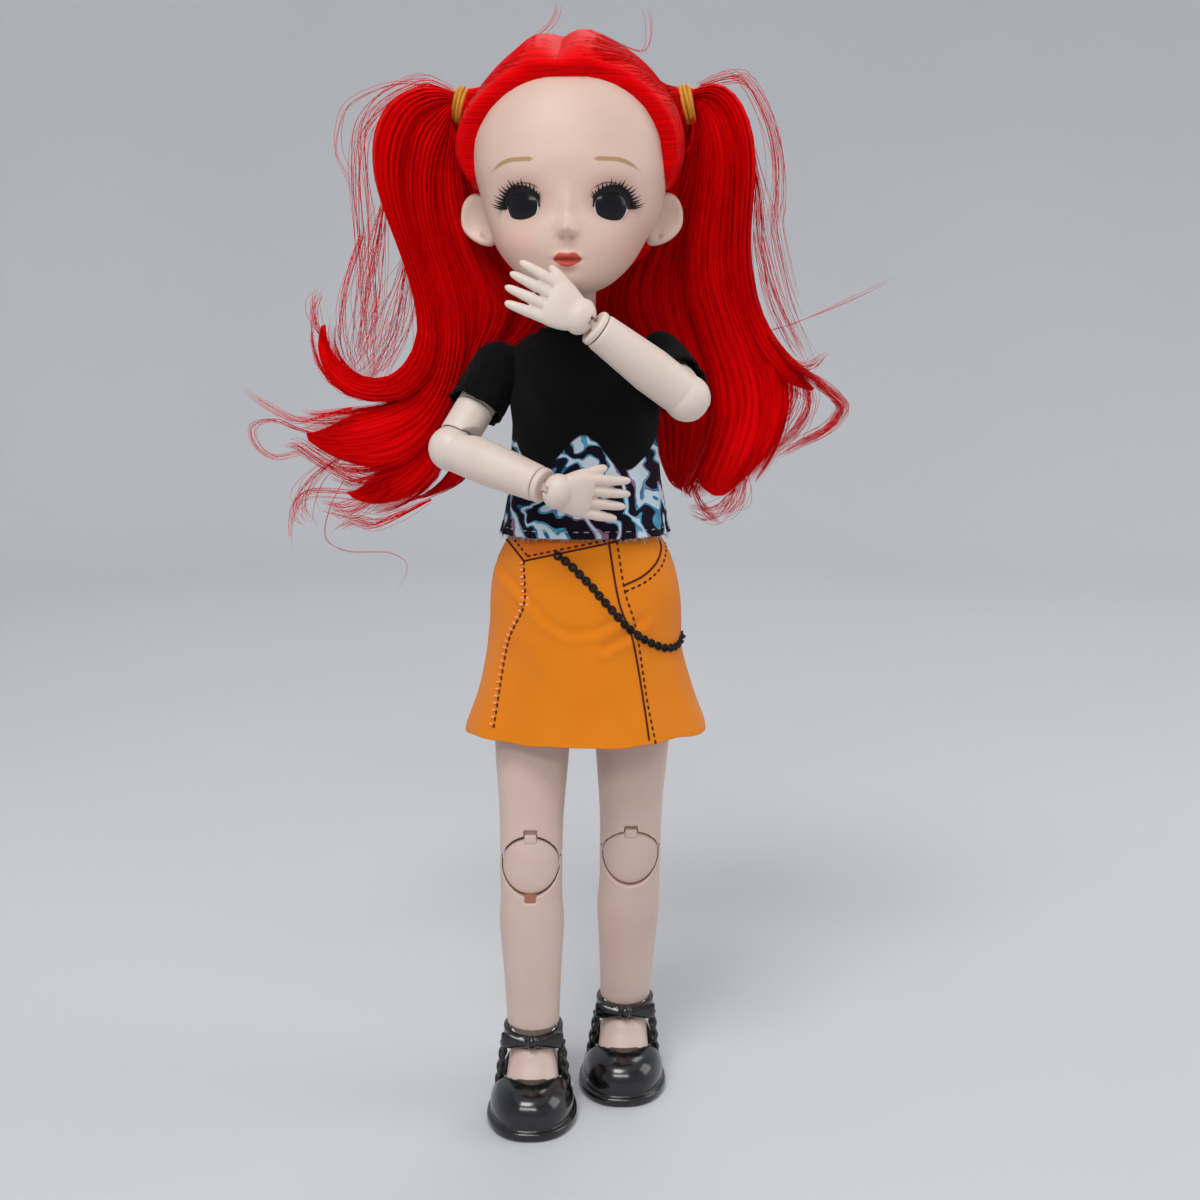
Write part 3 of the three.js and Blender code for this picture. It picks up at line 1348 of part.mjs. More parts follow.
// Scalp hair: a shell behind the hairline, parted on top and drawn out towards both ties
function hairCap() {

	let shape = skull( HAIR_THICKNESS, false, HAIR_LEVELS, 22 );
	for ( const { sign } of SIDES ) {

		shape = shape.add( pathLoft( [
			{ at: point( sign * 12, TIE_Y - 1.5, TIE_HEIGHT - 6 ), wide: BUNCH_RADIUS, deep: BUNCH_RADIUS },
			{ at: point( sign * 21.5, TIE_Y - 0.5, TIE_HEIGHT - 2.5 ), wide: BUNCH_RADIUS - 1, deep: BUNCH_RADIUS - 1 },
			{ at: point( sign * 25.4, TIE_Y, TIE_HEIGHT - 0.4 ), wide: 6, deep: 6 },
			{ at: point( sign * ( TAIL_START - 3 * GAP ), TIE_Y, TIE_HEIGHT ), wide: BUNCH_NECK, deep: BUNCH_NECK }
		], 10 ) );

	}

	const clear = 2 * HEAD_FRONT;
	const above = HEAD_HEIGHT + 2 * HAIR_THICKNESS;
	const below = - 6 * HAIR_THICKNESS;
	const faceSide = sideProfile( [
		[ - clear, above ],
		[ - 21.5, above ],
		[ - 20.4, 54.5 ],
		[ - 16, 47 ],
		[ - 11.5, 39 ],
		[ - 8.5, 31 ],
		[ - 3.5, 26.5 ],
		[ EAR_Y + 3.4, 27.5 ],
		[ EAR_Y + 4, 14 ],
		[ 12, 7.5 ],
		[ clear, 5.5 ],
		[ clear, below ],
		[ - clear, below ]
	], 2 * clear );
	const parting = sideProfile( [
		[ - clear, above - PARTING_DROP ],
		[ PARTING_BACK, above - PARTING_DROP ],
		[ PARTING_BACK, above ],
		[ - clear, above ]
	], PARTING_WIDTH ).subtract( skull( HAIR_THICKNESS - PARTING_DEPTH, false, HAIR_LEVELS, 16 ) );
	shape = shape.subtract( faceSide ).subtract( parting );
	return shape.subtract( skull( 2 * GAP, false, [ 0, ...HAIR_LEVELS ], 22 ) );

}

function tiePoint( sign ) {

	return point( sign * TIE_REACH, TIE_Y, TIE_HEIGHT );

}

const BUNCH_NECK = TIE_INNER_RADIUS - GAP;
const TAIL_START = TIE_REACH - TIE_WIDTH / 2 - GAP;

function hairTie() {

	const half = TIE_WIDTH / 2;
	const round = 0.7;
	const ring = turned( [
		[ TIE_INNER_RADIUS, - half + round ],
		[ TIE_INNER_RADIUS + round, - half ],
		[ TIE_OUTER_RADIUS - round * 0.6, - half ],
		[ TIE_OUTER_RADIUS, - half + round ],
		[ TIE_OUTER_RADIUS, half - round ],
		[ TIE_OUTER_RADIUS - round * 0.6, half ],
		[ TIE_INNER_RADIUS + round, half ],
		[ TIE_INNER_RADIUS, half - round ],
		[ TIE_INNER_RADIUS, - half + round ]
	], 14 );
	return ring.rotate( [ 0, 90, 0 ] );

}

// Each tail is a bundle of locks that hang from its tie behind the shoulder and curl out at their ends;
// rows are [ outwards, back, up, half width, half depth ] from the middle of the tie
const RIGHT_LOCKS = {
	crook: [
		[ 10, - 1.5, 1.5, 4, 4.5 ],
		[ 15, - 1.5, - 0.5, 4.5, 5 ],
		[ 20, - 0.5, - 8.5, 5, 5.5 ],
		[ 21, 0.5, - 19.5, 5, 6 ],
		[ 17, 3.5, - 37.5, 4.5, 6 ],
		[ 12, 5.5, - 58.5, 4.5, 5.5 ],
		[ 15, 5.5, - 70.5, 4.5, 5 ],
		[ 23, 4.5, - 76.5, 4.5, 4.5 ],
		[ 33, 4.5, - 76.5, 4.5, 4 ],
		[ 40, 3.5, - 69.5, 4.5, 3.5 ],
		[ 42, 3.5, - 59.5, 4, 3 ],
		[ 41, 3.5, - 50.5, 2, 2 ]
	],
	lobe: [
		[ 8, - 0.5, - 3.5, 4, 5 ],
		[ 11, - 0.5, - 10.5, 7, 6 ],
		[ 12, 2.5, - 27.5, 8.5, 7 ],
		[ 8, 6.5, - 45.5, 8.5, 7 ],
		[ 6, 8.5, - 62.5, 7.5, 6.5 ],
		[ 9, 8.5, - 77.5, 7, 6 ],
		[ 17, 7.5, - 86.5, 8, 5.5 ],
		[ 29, 6.5, - 91.5, 8.5, 4.5 ],
		[ 41, 5.5, - 91.5, 7, 3.5 ],
		[ 50, 4.5, - 89.5, 3, 2 ]
	],
	fall: [
		[ 7, 1.5, - 7.5, 4, 5 ],
		[ 5, 3.5, - 20.5, 6, 6 ],
		[ 3, 8.5, - 38.5, 8.5, 6.5 ],
		[ - 1, 11.5, - 54.5, 9, 6.5 ],
		[ 2, 11.5, - 70.5, 6, 6 ],
		[ 9, 10.5, - 87.5, 5.5, 6 ],
		[ 17, 10.5, - 100.5, 7, 5.5 ],
		[ 27, 9.5, - 105.5, 7.5, 4.5 ],
		[ 36, 8.5, - 107.5, 6, 3 ],
		[ 41, 8.5, - 107.5, 3, 2 ]
	],
	nape: [
		[ 5, 4.5, - 10.5, 3, 4.5 ],
		[ 3, 9.5, - 26.5, 5, 5 ],
		[ - 2, 14.5, - 41.5, 6.5, 5 ],
		[ - 9, 19, - 53.5, 7, 5.1 ],
		[ - 9, 19, - 63.5, 7, 5.1 ],
		[ 0, 17.5, - 74.5, 5, 4.5 ],
		[ 5, 16.5, - 90.5, 4, 4.5 ],
		[ 9, 16.5, - 103.5, 4.5, 4 ],
		[ 19, 15.5, - 109.5, 4, 3 ]
	]
};
const LEFT_LOCKS = {
	tassel: [
		[ 10, 1.5, 2, 3.5, 4.5 ],
		[ 12, 2.5, - 1.5, 4.5, 5 ],
		[ 15, 4.5, - 12.5, 4.5, 5.5 ],
		[ 15, 7.5, - 26.5, 4.5, 6 ],
		[ 15, 10.5, - 40.5, 4.5, 6 ],
		[ 16, 12.5, - 52.5, 4.5, 5.5 ],
		[ 20, 13.5, - 62.5, 4, 5 ],
		[ 27, 13.5, - 70.5, 4, 4.5 ],
		[ 35, 14.5, - 76.5, 4, 4 ],
		[ 42, 14.5, - 79.5, 3, 2.5 ]
	],
	fall: [
		[ 8, 2.5, - 3.5, 4, 5 ],
		[ 8, 4.5, - 10.5, 6, 6 ],
		[ 8, 8.5, - 25.5, 7.5, 7 ],
		[ 7, 12.5, - 43.5, 8, 7 ],
		[ 11, 14.5, - 60.5, 8.5, 7 ],
		[ 16, 14.5, - 74.5, 10, 6.5 ],
		[ 17, 14.5, - 85.5, 12, 6 ],
		[ 14, 14.5, - 96.5, 12, 5 ],
		[ 11, 14.5, - 103.5, 10, 4 ],
		[ 9, 14.5, - 109.5, 5, 2.5 ]
	],
	shoulder: [
		[ 5.5, 6.5, - 8.5, 3, 5 ],
		[ 3, 9.5, - 17.5, 5.5, 5.5 ],
		[ 2, 13.5, - 30.5, 7, 5.5 ],
		[ - 2, 17.5, - 43.5, 8.5, 5.5 ],
		[ - 5, 19.5, - 56.5, 9, 5.5 ],
		[ - 4, 20.5, - 70.5, 8.5, 5 ],
		[ - 2, 20.5, - 84.5, 8, 4.5 ],
		[ - 3, 20.5, - 96.5, 6, 4 ],
		[ - 2, 20.5, - 104.5, 3, 2.5 ]
	]
};
const LOCK_SIDES = 8;
const LOCK_ROOT = 3.4; // radius of a lock where it leaves the tie, inside the tied hair

function ponytail( sign, locks ) {

	const tieEdge = TIE_REACH + TIE_WIDTH / 2 + 3 * GAP;
	const along = ( reach, radius ) => ( {
		at: point( sign * reach, TIE_Y, TIE_HEIGHT ),
		wide: radius,
		deep: radius
	} );
	const tied = pathLoft( [
		along( TAIL_START, BUNCH_NECK ),
		along( tieEdge, BUNCH_NECK ),
		along( tieEdge + BUNCH_NECK, LOCK_ROOT )
	], LOCK_SIDES + 4 );
	const roots = [ along( TIE_REACH, LOCK_ROOT ), along( tieEdge + LOCK_ROOT, LOCK_ROOT ) ];
	return Object.values( locks ).reduce( ( joined, rows ) => {

		const hanging = rows.map( ( [ out, back, up, wide, deep ] ) => ( {
			at: tiePoint( sign ).add( point( sign * out, back, up ) ),
			wide,
			deep
		} ) );
		return joined.add( pathLoft( [ ...roots, ...hanging ], LOCK_SIDES ) );

	}, tied );

}

function addHead( chestGroup ) {

	const neckGroup = childGroup( chestGroup, point( NECK_X, NECK_Y, NECK_BALL_LEVEL ) );
	addPiece( neckGroup, 'neck', neck(), VINYL_FACE );
	const group = childGroup( neckGroup, point( 0, 0, CHIN_LEVEL - NECK_BALL_LEVEL ) );
	group.rotation.z = radians( HEAD_TURN );
	addPiece( group, 'head', head(), VINYL_FACE );
	addPiece( group, 'hair_cap', hairCap(), RED_HAIR );
	for ( const side of SIDES ) {

		addPiece( group, 'eye_' + side.name, eye( side.sign, 0 ), EYE_GLOSS );
		const tie = childGroup( group, tiePoint( side.sign ) );
		addPiece( tie, 'hair_tie_' + side.name, hairTie(), MUSTARD_BAND );

	}

	addPiece( group, 'ponytail_r', ponytail( - 1, RIGHT_LOCKS ), RED_HAIR );
	addPiece( group, 'ponytail_l', ponytail( 1, LEFT_LOCKS ), RED_HAIR );

}

// Garments

function shirtBody( inset, extra ) {

	const row = ( z, a, b, y = 0 ) => ( { z, a: a - inset, b: b - inset, y, power: 2.15 } );
	return ovalLoft( [
		row( SHIRT_HEM_LEVEL - extra, SHIRT_HEM_HALF_WIDTH, SHIRT_HEM_HALF_DEPTH ),
		row( SHIRT_HEM_LEVEL + 10, SHIRT_HALF_WIDTH + 0.8, SHIRT_HALF_DEPTH - 0.3 ),
		row( SHIRT_HEM_LEVEL + 22, SHIRT_HALF_WIDTH, SHIRT_HALF_DEPTH - 0.4 ),
		row( SHIRT_HEM_LEVEL + 33, SHIRT_HALF_WIDTH, SHIRT_HALF_DEPTH + 0.4, - 1 ),
		row( SHOULDER_LEVEL - 4, SHIRT_HALF_WIDTH - 0.6, SHIRT_HALF_DEPTH - 2, - 0.4 ),
		row( SHOULDER_LEVEL + 4, SHIRT_HALF_WIDTH - 2, SHIRT_HALF_DEPTH - 4 ),
		row( SHIRT_TOP_LEVEL - 2.6, COLLAR_HALF_WIDTH + 2.6, COLLAR_HALF_DEPTH + 0.8 ),
		row( SHIRT_TOP_LEVEL + extra, COLLAR_HALF_WIDTH, COLLAR_HALF_DEPTH )
	], 24 );

}

function tShirt() {

	return shirtBody( 0, 0 )
		.subtract( shirtBody( CLOTH_WALL, 1 ) )
		.subtract( armhole( RIGHT, RIGHT_UPPER_ARM_AIM ) )
		.subtract( armhole( LEFT, LEFT_UPPER_ARM_AIM ) );

}

function skirtBody( inset, extra ) {

	const hem = SKIRT_TOP_LEVEL - SKIRT_LENGTH;
	const hip = SKIRT_TOP_LEVEL - 17.6;
	const sides = 36;
	const levels = [ hem - extra, hem + 12, hem + 25, hip, hip + 8, SKIRT_TOP_LEVEL + extra ];
	return loft( levels.map( ( z ) => {

		const below = THREE.MathUtils.clamp( ( hip - z ) / ( hip - hem ), 0, 1 );
		const above = THREE.MathUtils.clamp( ( z - hip ) / ( SKIRT_TOP_LEVEL - hip ), 0, 1 );
		const a = SKIRT_HIP_HALF_WIDTH
			+ ( SKIRT_HEM_HALF_WIDTH - SKIRT_HIP_HALF_WIDTH ) * below
			+ ( SKIRT_WAIST_HALF_WIDTH - SKIRT_HIP_HALF_WIDTH ) * above ** 1.4;
		const b = SKIRT_HIP_HALF_DEPTH
			+ ( SKIRT_HEM_HALF_DEPTH - SKIRT_HIP_HALF_DEPTH ) * below
			+ ( SKIRT_WAIST_HALF_DEPTH - SKIRT_HIP_HALF_DEPTH ) * above ** 1.4;
		const ring = [];
		for ( let i = 0; i < sides; i ++ ) {

			const angle = i / sides * Math.PI * 2;
			const fold = FOLD_DEPTH * below * Math.cos( FOLD_COUNT * angle + 0.8 );
			ring.push( point(
				( a - inset + fold ) * Math.cos( angle ),
				( b - inset + fold ) * Math.sin( angle ),
				z
			) );

		}

		return ring;

	} ) );

}

function skirt() {

	return skirtBody( 0, 0 ).subtract( skirtBody( CLOTH_WALL, 1 ) );

}

// Assembly

const doll = new THREE.Group();
const hips = childGroup( doll, point( 0, 0, HIP_LEVEL ) );
addShells( hips, 'pelvis', pelvis(), 0, PLASTIC_LEG );
addPiece( hips, 'waist_ball', waistBall(), PLASTIC_LEG );
addShells( hips, 'chest', chest(), 0, VINYL_ARM );

addLeg( hips, RIGHT, FRONT_FOOT_STEP, radians( FRONT_KNEE_BEND ) );
addLeg( hips, LEFT, BACK_FOOT_STEP, bendForReach( Math.hypot( HIP_RISE, BACK_FOOT_STEP ) ) );
addArm( hips, RIGHT, RIGHT_UPPER_ARM_AIM, RIGHT_FOREARM_AIM, RIGHT_WRIST_BEND );
addArm( hips, LEFT, LEFT_UPPER_ARM_AIM, LEFT_FOREARM_AIM, LEFT_WRIST_BEND );
addHead( hips );
addPiece( hips, 't_shirt', tShirt(), BLACK_KNIT );
addPiece( hips, 'skirt', skirt(), ORANGE_TWILL );

// The origin lies on the floor below the middle of the doll
const middle = new THREE.Box3().setFromObject( doll ).getCenter( point( 0, 0, 0 ) );
doll.position.set( - middle.x, - middle.y, 0 );

export default doll;
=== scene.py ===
"""A jointed fashion doll in a T-shirt, a skirt and strap shoes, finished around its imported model.

Metres, +Z up. The doll faces -Y and its left hand side is +X. Pieces are drawn in millimetres, each in
the frame of the limb that it belongs to, and take their places from the joints of the model.
"""

import json
import math

import bpy
import numpy as np
from mathutils import Matrix, Vector
from mathutils.bvhtree import BVHTree


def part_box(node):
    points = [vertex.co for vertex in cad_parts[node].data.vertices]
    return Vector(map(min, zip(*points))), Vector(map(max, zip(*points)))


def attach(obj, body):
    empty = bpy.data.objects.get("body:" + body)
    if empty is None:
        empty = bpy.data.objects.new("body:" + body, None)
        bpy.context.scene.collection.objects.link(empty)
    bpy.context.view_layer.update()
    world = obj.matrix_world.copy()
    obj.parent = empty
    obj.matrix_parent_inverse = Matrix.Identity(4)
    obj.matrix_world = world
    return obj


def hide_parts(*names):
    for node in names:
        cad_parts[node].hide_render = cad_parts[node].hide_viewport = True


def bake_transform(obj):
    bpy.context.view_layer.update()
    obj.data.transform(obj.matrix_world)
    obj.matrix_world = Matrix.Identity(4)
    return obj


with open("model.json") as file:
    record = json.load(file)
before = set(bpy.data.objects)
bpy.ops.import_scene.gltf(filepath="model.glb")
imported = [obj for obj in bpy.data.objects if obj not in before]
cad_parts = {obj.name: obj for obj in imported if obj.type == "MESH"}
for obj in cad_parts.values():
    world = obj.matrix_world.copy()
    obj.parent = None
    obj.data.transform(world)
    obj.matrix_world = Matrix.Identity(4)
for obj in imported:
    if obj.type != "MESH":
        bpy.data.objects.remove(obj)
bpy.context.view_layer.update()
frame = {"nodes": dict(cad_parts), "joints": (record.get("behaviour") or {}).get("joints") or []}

MM = 0.001
GAP = 0.3
SIDES = (("r", -1), ("l", 1))
JOINTS = {joint["name"]: joint for joint in frame["joints"]}


def new_object(name, data):
    made = bpy.data.objects.new(name, data)
    bpy.context.scene.collection.objects.link(made)
    return made


# Camera, fitted to the photograph

PHOTO_SIZE = 1200
FOCAL_PIXELS = 1595
SENSOR_WIDTH = 36
CAMERA_AT = Vector((9.0, -442.3, 224.1)) * MM
CAMERA_AIM = Vector((9.0, 0.9, 146.0)) * MM


def make_camera():
    data = bpy.data.cameras.new("camera")
    data.sensor_width = SENSOR_WIDTH
    data.lens = SENSOR_WIDTH * FOCAL_PIXELS / PHOTO_SIZE
    data.clip_start = 0.01
    camera = new_object("camera", data)
    camera.location = CAMERA_AT
    camera.rotation_euler = (CAMERA_AIM - CAMERA_AT).to_track_quat("-Z", "Y").to_euler()
    bpy.context.scene.camera = camera


def pixel_way(pixel):
    """The direction from the camera through a pixel of the photograph."""
    ahead = (CAMERA_AIM - CAMERA_AT).normalized()
    right = ahead.cross(Vector((0, 0, 1))).normalized()
    up = right.cross(ahead)
    x, y = pixel
    half = PHOTO_SIZE / 2
    return (ahead * FOCAL_PIXELS + right * (x - half) + up * (half - y)).normalized()


def pixel_at_depth(pixel, depth):
    """The place where a pixel's line of sight meets the upright plane at a depth along Y, in metres."""
    way = pixel_way(pixel)
    return CAMERA_AT + way * ((depth - CAMERA_AT.y) / way.y)


# Shapes: a shape is an array of points in millimetres and a list of faces


def angles(count):
    """Directions round a circle."""
    return np.linspace(0, 2 * math.pi, count, endpoint=False)


def circle(radius, z, turn):
    return np.stack([radius * np.cos(turn), radius * np.sin(turn), 0 * turn + z], -1)


def tube_faces(count, sides):
    first = np.arange(count - 1)[:, None] * sides + np.arange(sides)
    after = np.roll(first, -1, axis=1)
    return np.stack([first, after, after + sides, first + sides], -1).reshape(-1, 4).tolist()


def unit(ways):
    return ways / np.linalg.norm(ways, axis=-1)[..., None]


def loft(rings):
    """A closed skin over rings of points."""
    rings = np.asarray(rings, float)
    count, sides = rings.shape[:2]
    faces = tube_faces(count, sides)
    points = np.concatenate([rings.reshape(-1, 3), [rings[0].mean(0), rings[-1].mean(0)]])
    low, high, last = count * sides, count * sides + 1, (count - 1) * sides
    for i in range(sides):
        k = (i + 1) % sides
        faces += [[low, k, i], [high, last + i, last + k]]
    return points, faces


def ring_tube(rings):
    """A closed skin over rings whose last one meets the first."""
    rings = np.asarray(rings)
    points = rings.reshape(-1, 3)
    return points, [[k % len(points) for k in face] for face in tube_faces(len(rings) + 1, rings.shape[1])]


def joined(shapes):
    """Several shapes as one."""
    points, faces, count = [], [], 0
    for spots, rings in shapes:
        points.append(spots)
        faces += [[k + count for k in ring] for ring in rings]
        count += len(spots)
    return np.concatenate(points), faces


def egg(half, centre=(0, 0, 0), around=48, down=26):
    turn = angles(around)
    rings = []
    for fall in np.linspace(0, math.pi, down + 1)[1:-1]:
        ring = np.stack([np.cos(turn) * math.sin(fall), np.sin(turn) * math.sin(fall),
                         0 * turn - math.cos(fall)], -1)
        rings.append(ring * half + centre)
    points, faces = loft(rings)
    points[-2] = np.array((0, 0, -half[2])) + centre
    points[-1] = np.array((0, 0, half[2])) + centre
    return points, faces


def ball(radius, centre=(0, 0, 0), around=48):
    return egg((radius, radius, radius), centre, around, around // 2)


def turned_about(shape, axis, degrees):
    points, faces = shape
    turn = np.array(Matrix.Rotation(math.radians(degrees), 3, axis))
    return points @ turn.T, faces


def moved(shape, by):
    return shape[0] + np.array(by, float), shape[1]


def rod(radius, start, end, sides=40):
    start, end = np.array(start, float), np.array(end, float)
    along = (end - start) / np.linalg.norm(end - start)
    across = np.cross(along, (0, 1, 0) if abs(along[1]) < 0.9 else (1, 0, 0))
    across /= np.linalg.norm(across)
    through = np.cross(along, across)
    turn = angles(sides)[:, None]
    ring = radius * (np.cos(turn) * across + np.sin(turn) * through)
    return loft([start + ring, end + ring])


def cross_rod(radius, length, centre=(0, 0, 0), sides=32):
    x, y, z = centre
    return rod(radius, (x - length / 2, y, z), (x + length / 2, y, z), sides)


def block(width, depth, height, centre):
    x, y, z = centre
    ring = [(-0.5, -0.5), (0.5, -0.5), (0.5, 0.5), (-0.5, 0.5)]
    rings = [[(x + width * a, y + depth * b, z + height * c) for a, b in ring] for c in (-0.5, 0.5)]
    return loft(rings)


def turned(profile, sides=64):
    """A solid of revolution about Z from (radius, z) points."""
    turn = angles(sides)
    return loft([circle(r, z, turn) for r, z in profile])


def turned_ring(profile, sides=64):
    """A ring about Z from a closed outline of (radius, z) points."""
    turn = angles(sides)
    return ring_tube([circle(r, z, turn) for r, z in profile])


def oval(z, a, b, x=0, y=0, power=2, sides=72):
    turn = angles(sides)
    c, s = np.cos(turn), np.sin(turn)
    return np.stack([
        x + a * np.sign(c) * abs(c) ** (2 / power),
        y + b * np.sign(s) * abs(s) ** (2 / power),
        0 * turn + z,
    ], -1)


def eased(rows, steps):
    """Rows of equal length, interpolated on a smooth curve."""
    rows = np.array(rows, float)
    padded = np.concatenate([[2 * rows[0] - rows[1]], rows, [2 * rows[-1] - rows[-2]]])
    out = []
    for t in np.linspace(0, len(rows) - 1, steps):
        i = min(int(t), len(rows) - 2)
        f = t - i
        p0, p1, p2, p3 = padded[i:i + 4]
        out.append(0.5 * (2 * p1 + (p2 - p0) * f + (2 * p0 - 5 * p1 + 4 * p2 - p3) * f ** 2
                          + (3 * p1 - p0 - 3 * p2 + p3) * f ** 3))
    return np.array(out)


def path_rings(rows, sides, square):
    """Rings along a path; a row is x, y, z, half width and half depth, the width square to a direction."""
    rows = np.array(rows, float)
    centres = rows[:, :3]
    along = unit(np.gradient(centres, axis=0))
    across = unit(np.cross(square, along))
    through = np.cross(along, across)
    turn = angles(sides)
    return (centres[:, None] + rows[:, 3, None, None] * np.cos(turn)[None, :, None] * across[:, None]
            + rows[:, 4, None, None] * np.sin(turn)[None, :, None] * through[:, None])


def path_loft(rows, sides=32, square=(0, 1, 0), steps=None):
    if steps:
        rows = eased(rows, steps)
    return loft(path_rings(rows, sides, square))


def side_profile(points, width):
    """An outline in Y and Z with a width along X."""
    count = len(points)
    low = [(-width / 2, y, z) for y, z in points]
    high = [(width / 2, y, z) for y, z in points]
    faces = [[i, (i + 1) % count, count + (i + 1) % count, count + i] for i in range(count)]
    faces += [list(range(count))[::-1], list(range(count, 2 * count))]
    return np.array(low + high, float), faces


def hinge_way(degrees, length=1.0):
    """A direction in the YZ plane, counted in degrees from -Z towards -Y."""
    return np.array((-math.sin(math.radians(degrees)), -math.cos(math.radians(degrees)))) * length


def swept_slot(width, half_depth, reach, start, end, hinge=(0, 0)):
    """The space that a bar on an X hinge sweeps between two directions."""
    outline = [hinge_way(angle, half_depth) for angle in np.linspace(end + 90, start + 270, 13)]
    outline.append(hinge_way(start, reach) + hinge_way(start - 90, half_depth))
    outline += [hinge_way(angle, reach * 1.5) for angle in np.linspace(start, end, 9)]
    outline.append(hinge_way(end, reach) + hinge_way(end + 90, half_depth))
    return side_profile([(y + hinge[0], z + hinge[1]) for y, z in outline], width)


def beyond_plane(degrees, size=60):
    """The half of space on the far side of a plane through an X hinge."""
    return turned_about(block(size, size, size, (0, GAP / 2 - size / 2, 0)), "X", -degrees)


# Objects

# How finely each moulded piece is rounded, in millimetres

LEG_VOXEL = 0.33
KNEE_VOXEL = 0.27
FOOT_VOXEL = 0.4
SHOE_VOXEL = 0.36
STRAP_VOXEL = 0.25
NECK_VOXEL = 0.35
CAP_VOXEL = 0.6
CUP_VOXEL = 0.3
FOREARM_VOXEL = 0.25
WRIST_VOXEL = 0.22
HAND_VOXEL = 0.24


def mesh_object(name, shape, place=Matrix.Identity(4)):
    mesh = bpy.data.meshes.new(name)
    mesh.from_pydata(np.asarray(shape[0]).tolist(), [], shape[1])
    mesh.transform(place)
    return new_object(name, mesh)


def shape_of(made):
    """The points and faces of an object's mesh."""
    mesh = made.data
    return np.array([v.co for v in mesh.vertices]), [list(p.vertices) for p in mesh.polygons]


def ray_tree(made):
    """What rays are cast on to find an object's surface."""
    points, faces = shape_of(made)
    return BVHTree.FromPolygons(points.tolist(), faces)


def outward(made):
    """Merges doubles and points every face outwards."""
    import bmesh
    work = bmesh.new()
    work.from_mesh(made.data)
    bmesh.ops.remove_doubles(work, verts=work.verts, dist=1e-7)
    bmesh.ops.recalc_face_normals(work, faces=work.faces)
    work.to_mesh(made.data)
    work.free()
    return made


def smooth_shaded(made):
    made.data.polygons.foreach_set("use_smooth", [True] * len(made.data.polygons))
    return made


def settled(made, name):
    """The evaluated mesh of an object, without its modifiers, as an object at the origin."""
    graph = bpy.context.evaluated_depsgraph_get()
    mesh = bpy.data.meshes.new_from_object(made.evaluated_get(graph))
    mesh.name = name
    bpy.data.objects.remove(made)
    return new_object(name, mesh)


def moulded(name, parts, cuts, place, voxel=0.4, turns=4):
    """Joins parts, cuts others away and rounds the edges as a mould does."""
    work = outward(mesh_object(name + "_work", parts[0]))
    tools = []
    for operation, shapes in (("UNION", parts[1:]), ("DIFFERENCE", cuts)):
        for shape in shapes:
            tool = outward(mesh_object(name + "_tool", shape))
            tools.append(tool)
            boolean = work.modifiers.new(operation, "BOOLEAN")
            boolean.operation, boolean.object, boolean.solver = operation, tool, "MANIFOLD"
    if voxel:
        skin = work.modifiers.new("skin", "REMESH")
        skin.mode, skin.voxel_size, skin.use_smooth_shade = "VOXEL", voxel, True
        soft = work.modifiers.new("soft", "SMOOTH")
        soft.factor, soft.iterations = 0.5, turns
    for tool in tools:
        tool.hide_render = True
    made = settled(work, name)
    for tool in tools:
        bpy.data.objects.remove(tool)
    made.data.transform(place)
    return smooth_shaded(made)


def dress(piece, body, material, slot, *nodes):
    """Puts a finished piece on its body, in its material, in place of its CAD nodes."""
    piece.data.materials.clear()
    piece.data.materials.append(material)
    if nodes:
        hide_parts(*nodes)
    if body:
        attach(piece, body)
    return piece


def joint_place(name):
    return Vector(JOINTS[name]["pos_m"])


def joint_places(side, *names):
    return [joint_place(f"{name}_{side}") for name in names]


def limb_frame(origin, aim, hint):
    """The frame whose -Z axis points along an aim and whose X axis lies close to a hint, in millimetres."""
    up = -aim.normalized()
    forward = up.cross(hint).normalized()
    across = forward.cross(up).normalized()
    turn = Matrix((across, forward, up)).transposed().to_4x4()
    return Matrix.Translation(origin) @ turn @ Matrix.Scale(MM, 4)


# Materials


class Graph:
    """Builds the nodes of one material or group."""

    def __init__(self, tree):
        self.tree = tree

    def node(self, kind, inputs=None, **settings):
        made = self.tree.nodes.new(kind)
        for key, value in settings.items():
            setattr(made, key, value)
        for key, value in (inputs or {}).items():
            if isinstance(value, bpy.types.NodeSocket):
                self.tree.links.new(value, made.inputs[key])
            else:
                made.inputs[key].default_value = value
        return made

    def link(self, value, node, socket):
        self.tree.links.new(value, node.inputs[socket])

    def math(self, operation, *values):
        return self.node("ShaderNodeMath", dict(enumerate(values)), operation=operation).outputs[0]

    def plus(self, first, second):
        return self.math("ADD", first, second)

    def minus(self, first, second):
        return self.math("SUBTRACT", first, second)

    def times(self, first, second):
        return self.math("MULTIPLY", first, second)

    def over(self, first, second):
        return self.math("DIVIDE", first, second)

    def size(self, value):
        return self.math("ABSOLUTE", value)

    def left_of(self, value):
        """What is left of 1."""
        return self.minus(1.0, value)

    def spot(self):
        """The place on the object."""
        return self.node("ShaderNodeTexCoord").outputs["Object"]

    def mix(self, factor, first, second):
        made = self.node("ShaderNodeMix", {0: factor, 6: first, 7: second}, data_type="RGBA")
        return made.outputs[2]

    def ramp(self, value, low, high):
        """A smooth step from 0 to 1 between two values."""
        made = self.node("ShaderNodeMapRange", {0: value, 1: low, 2: high}, interpolation_type="SMOOTHSTEP")
        return made.outputs[0]

    def noise(self, vector, scale, detail=2.0):
        return self.node("ShaderNodeTexNoise",
                         {"Vector": vector, "Scale": scale, "Detail": detail}).outputs[0]


def colour(red, green, blue):
    """A linear colour from one written as 0 to 255 values."""
    channels = [c / 255 for c in (red, green, blue)]
    return [c / 12.92 if c < 0.04045 else ((c + 0.055) / 1.055) ** 2.4 for c in channels] + [1.0]


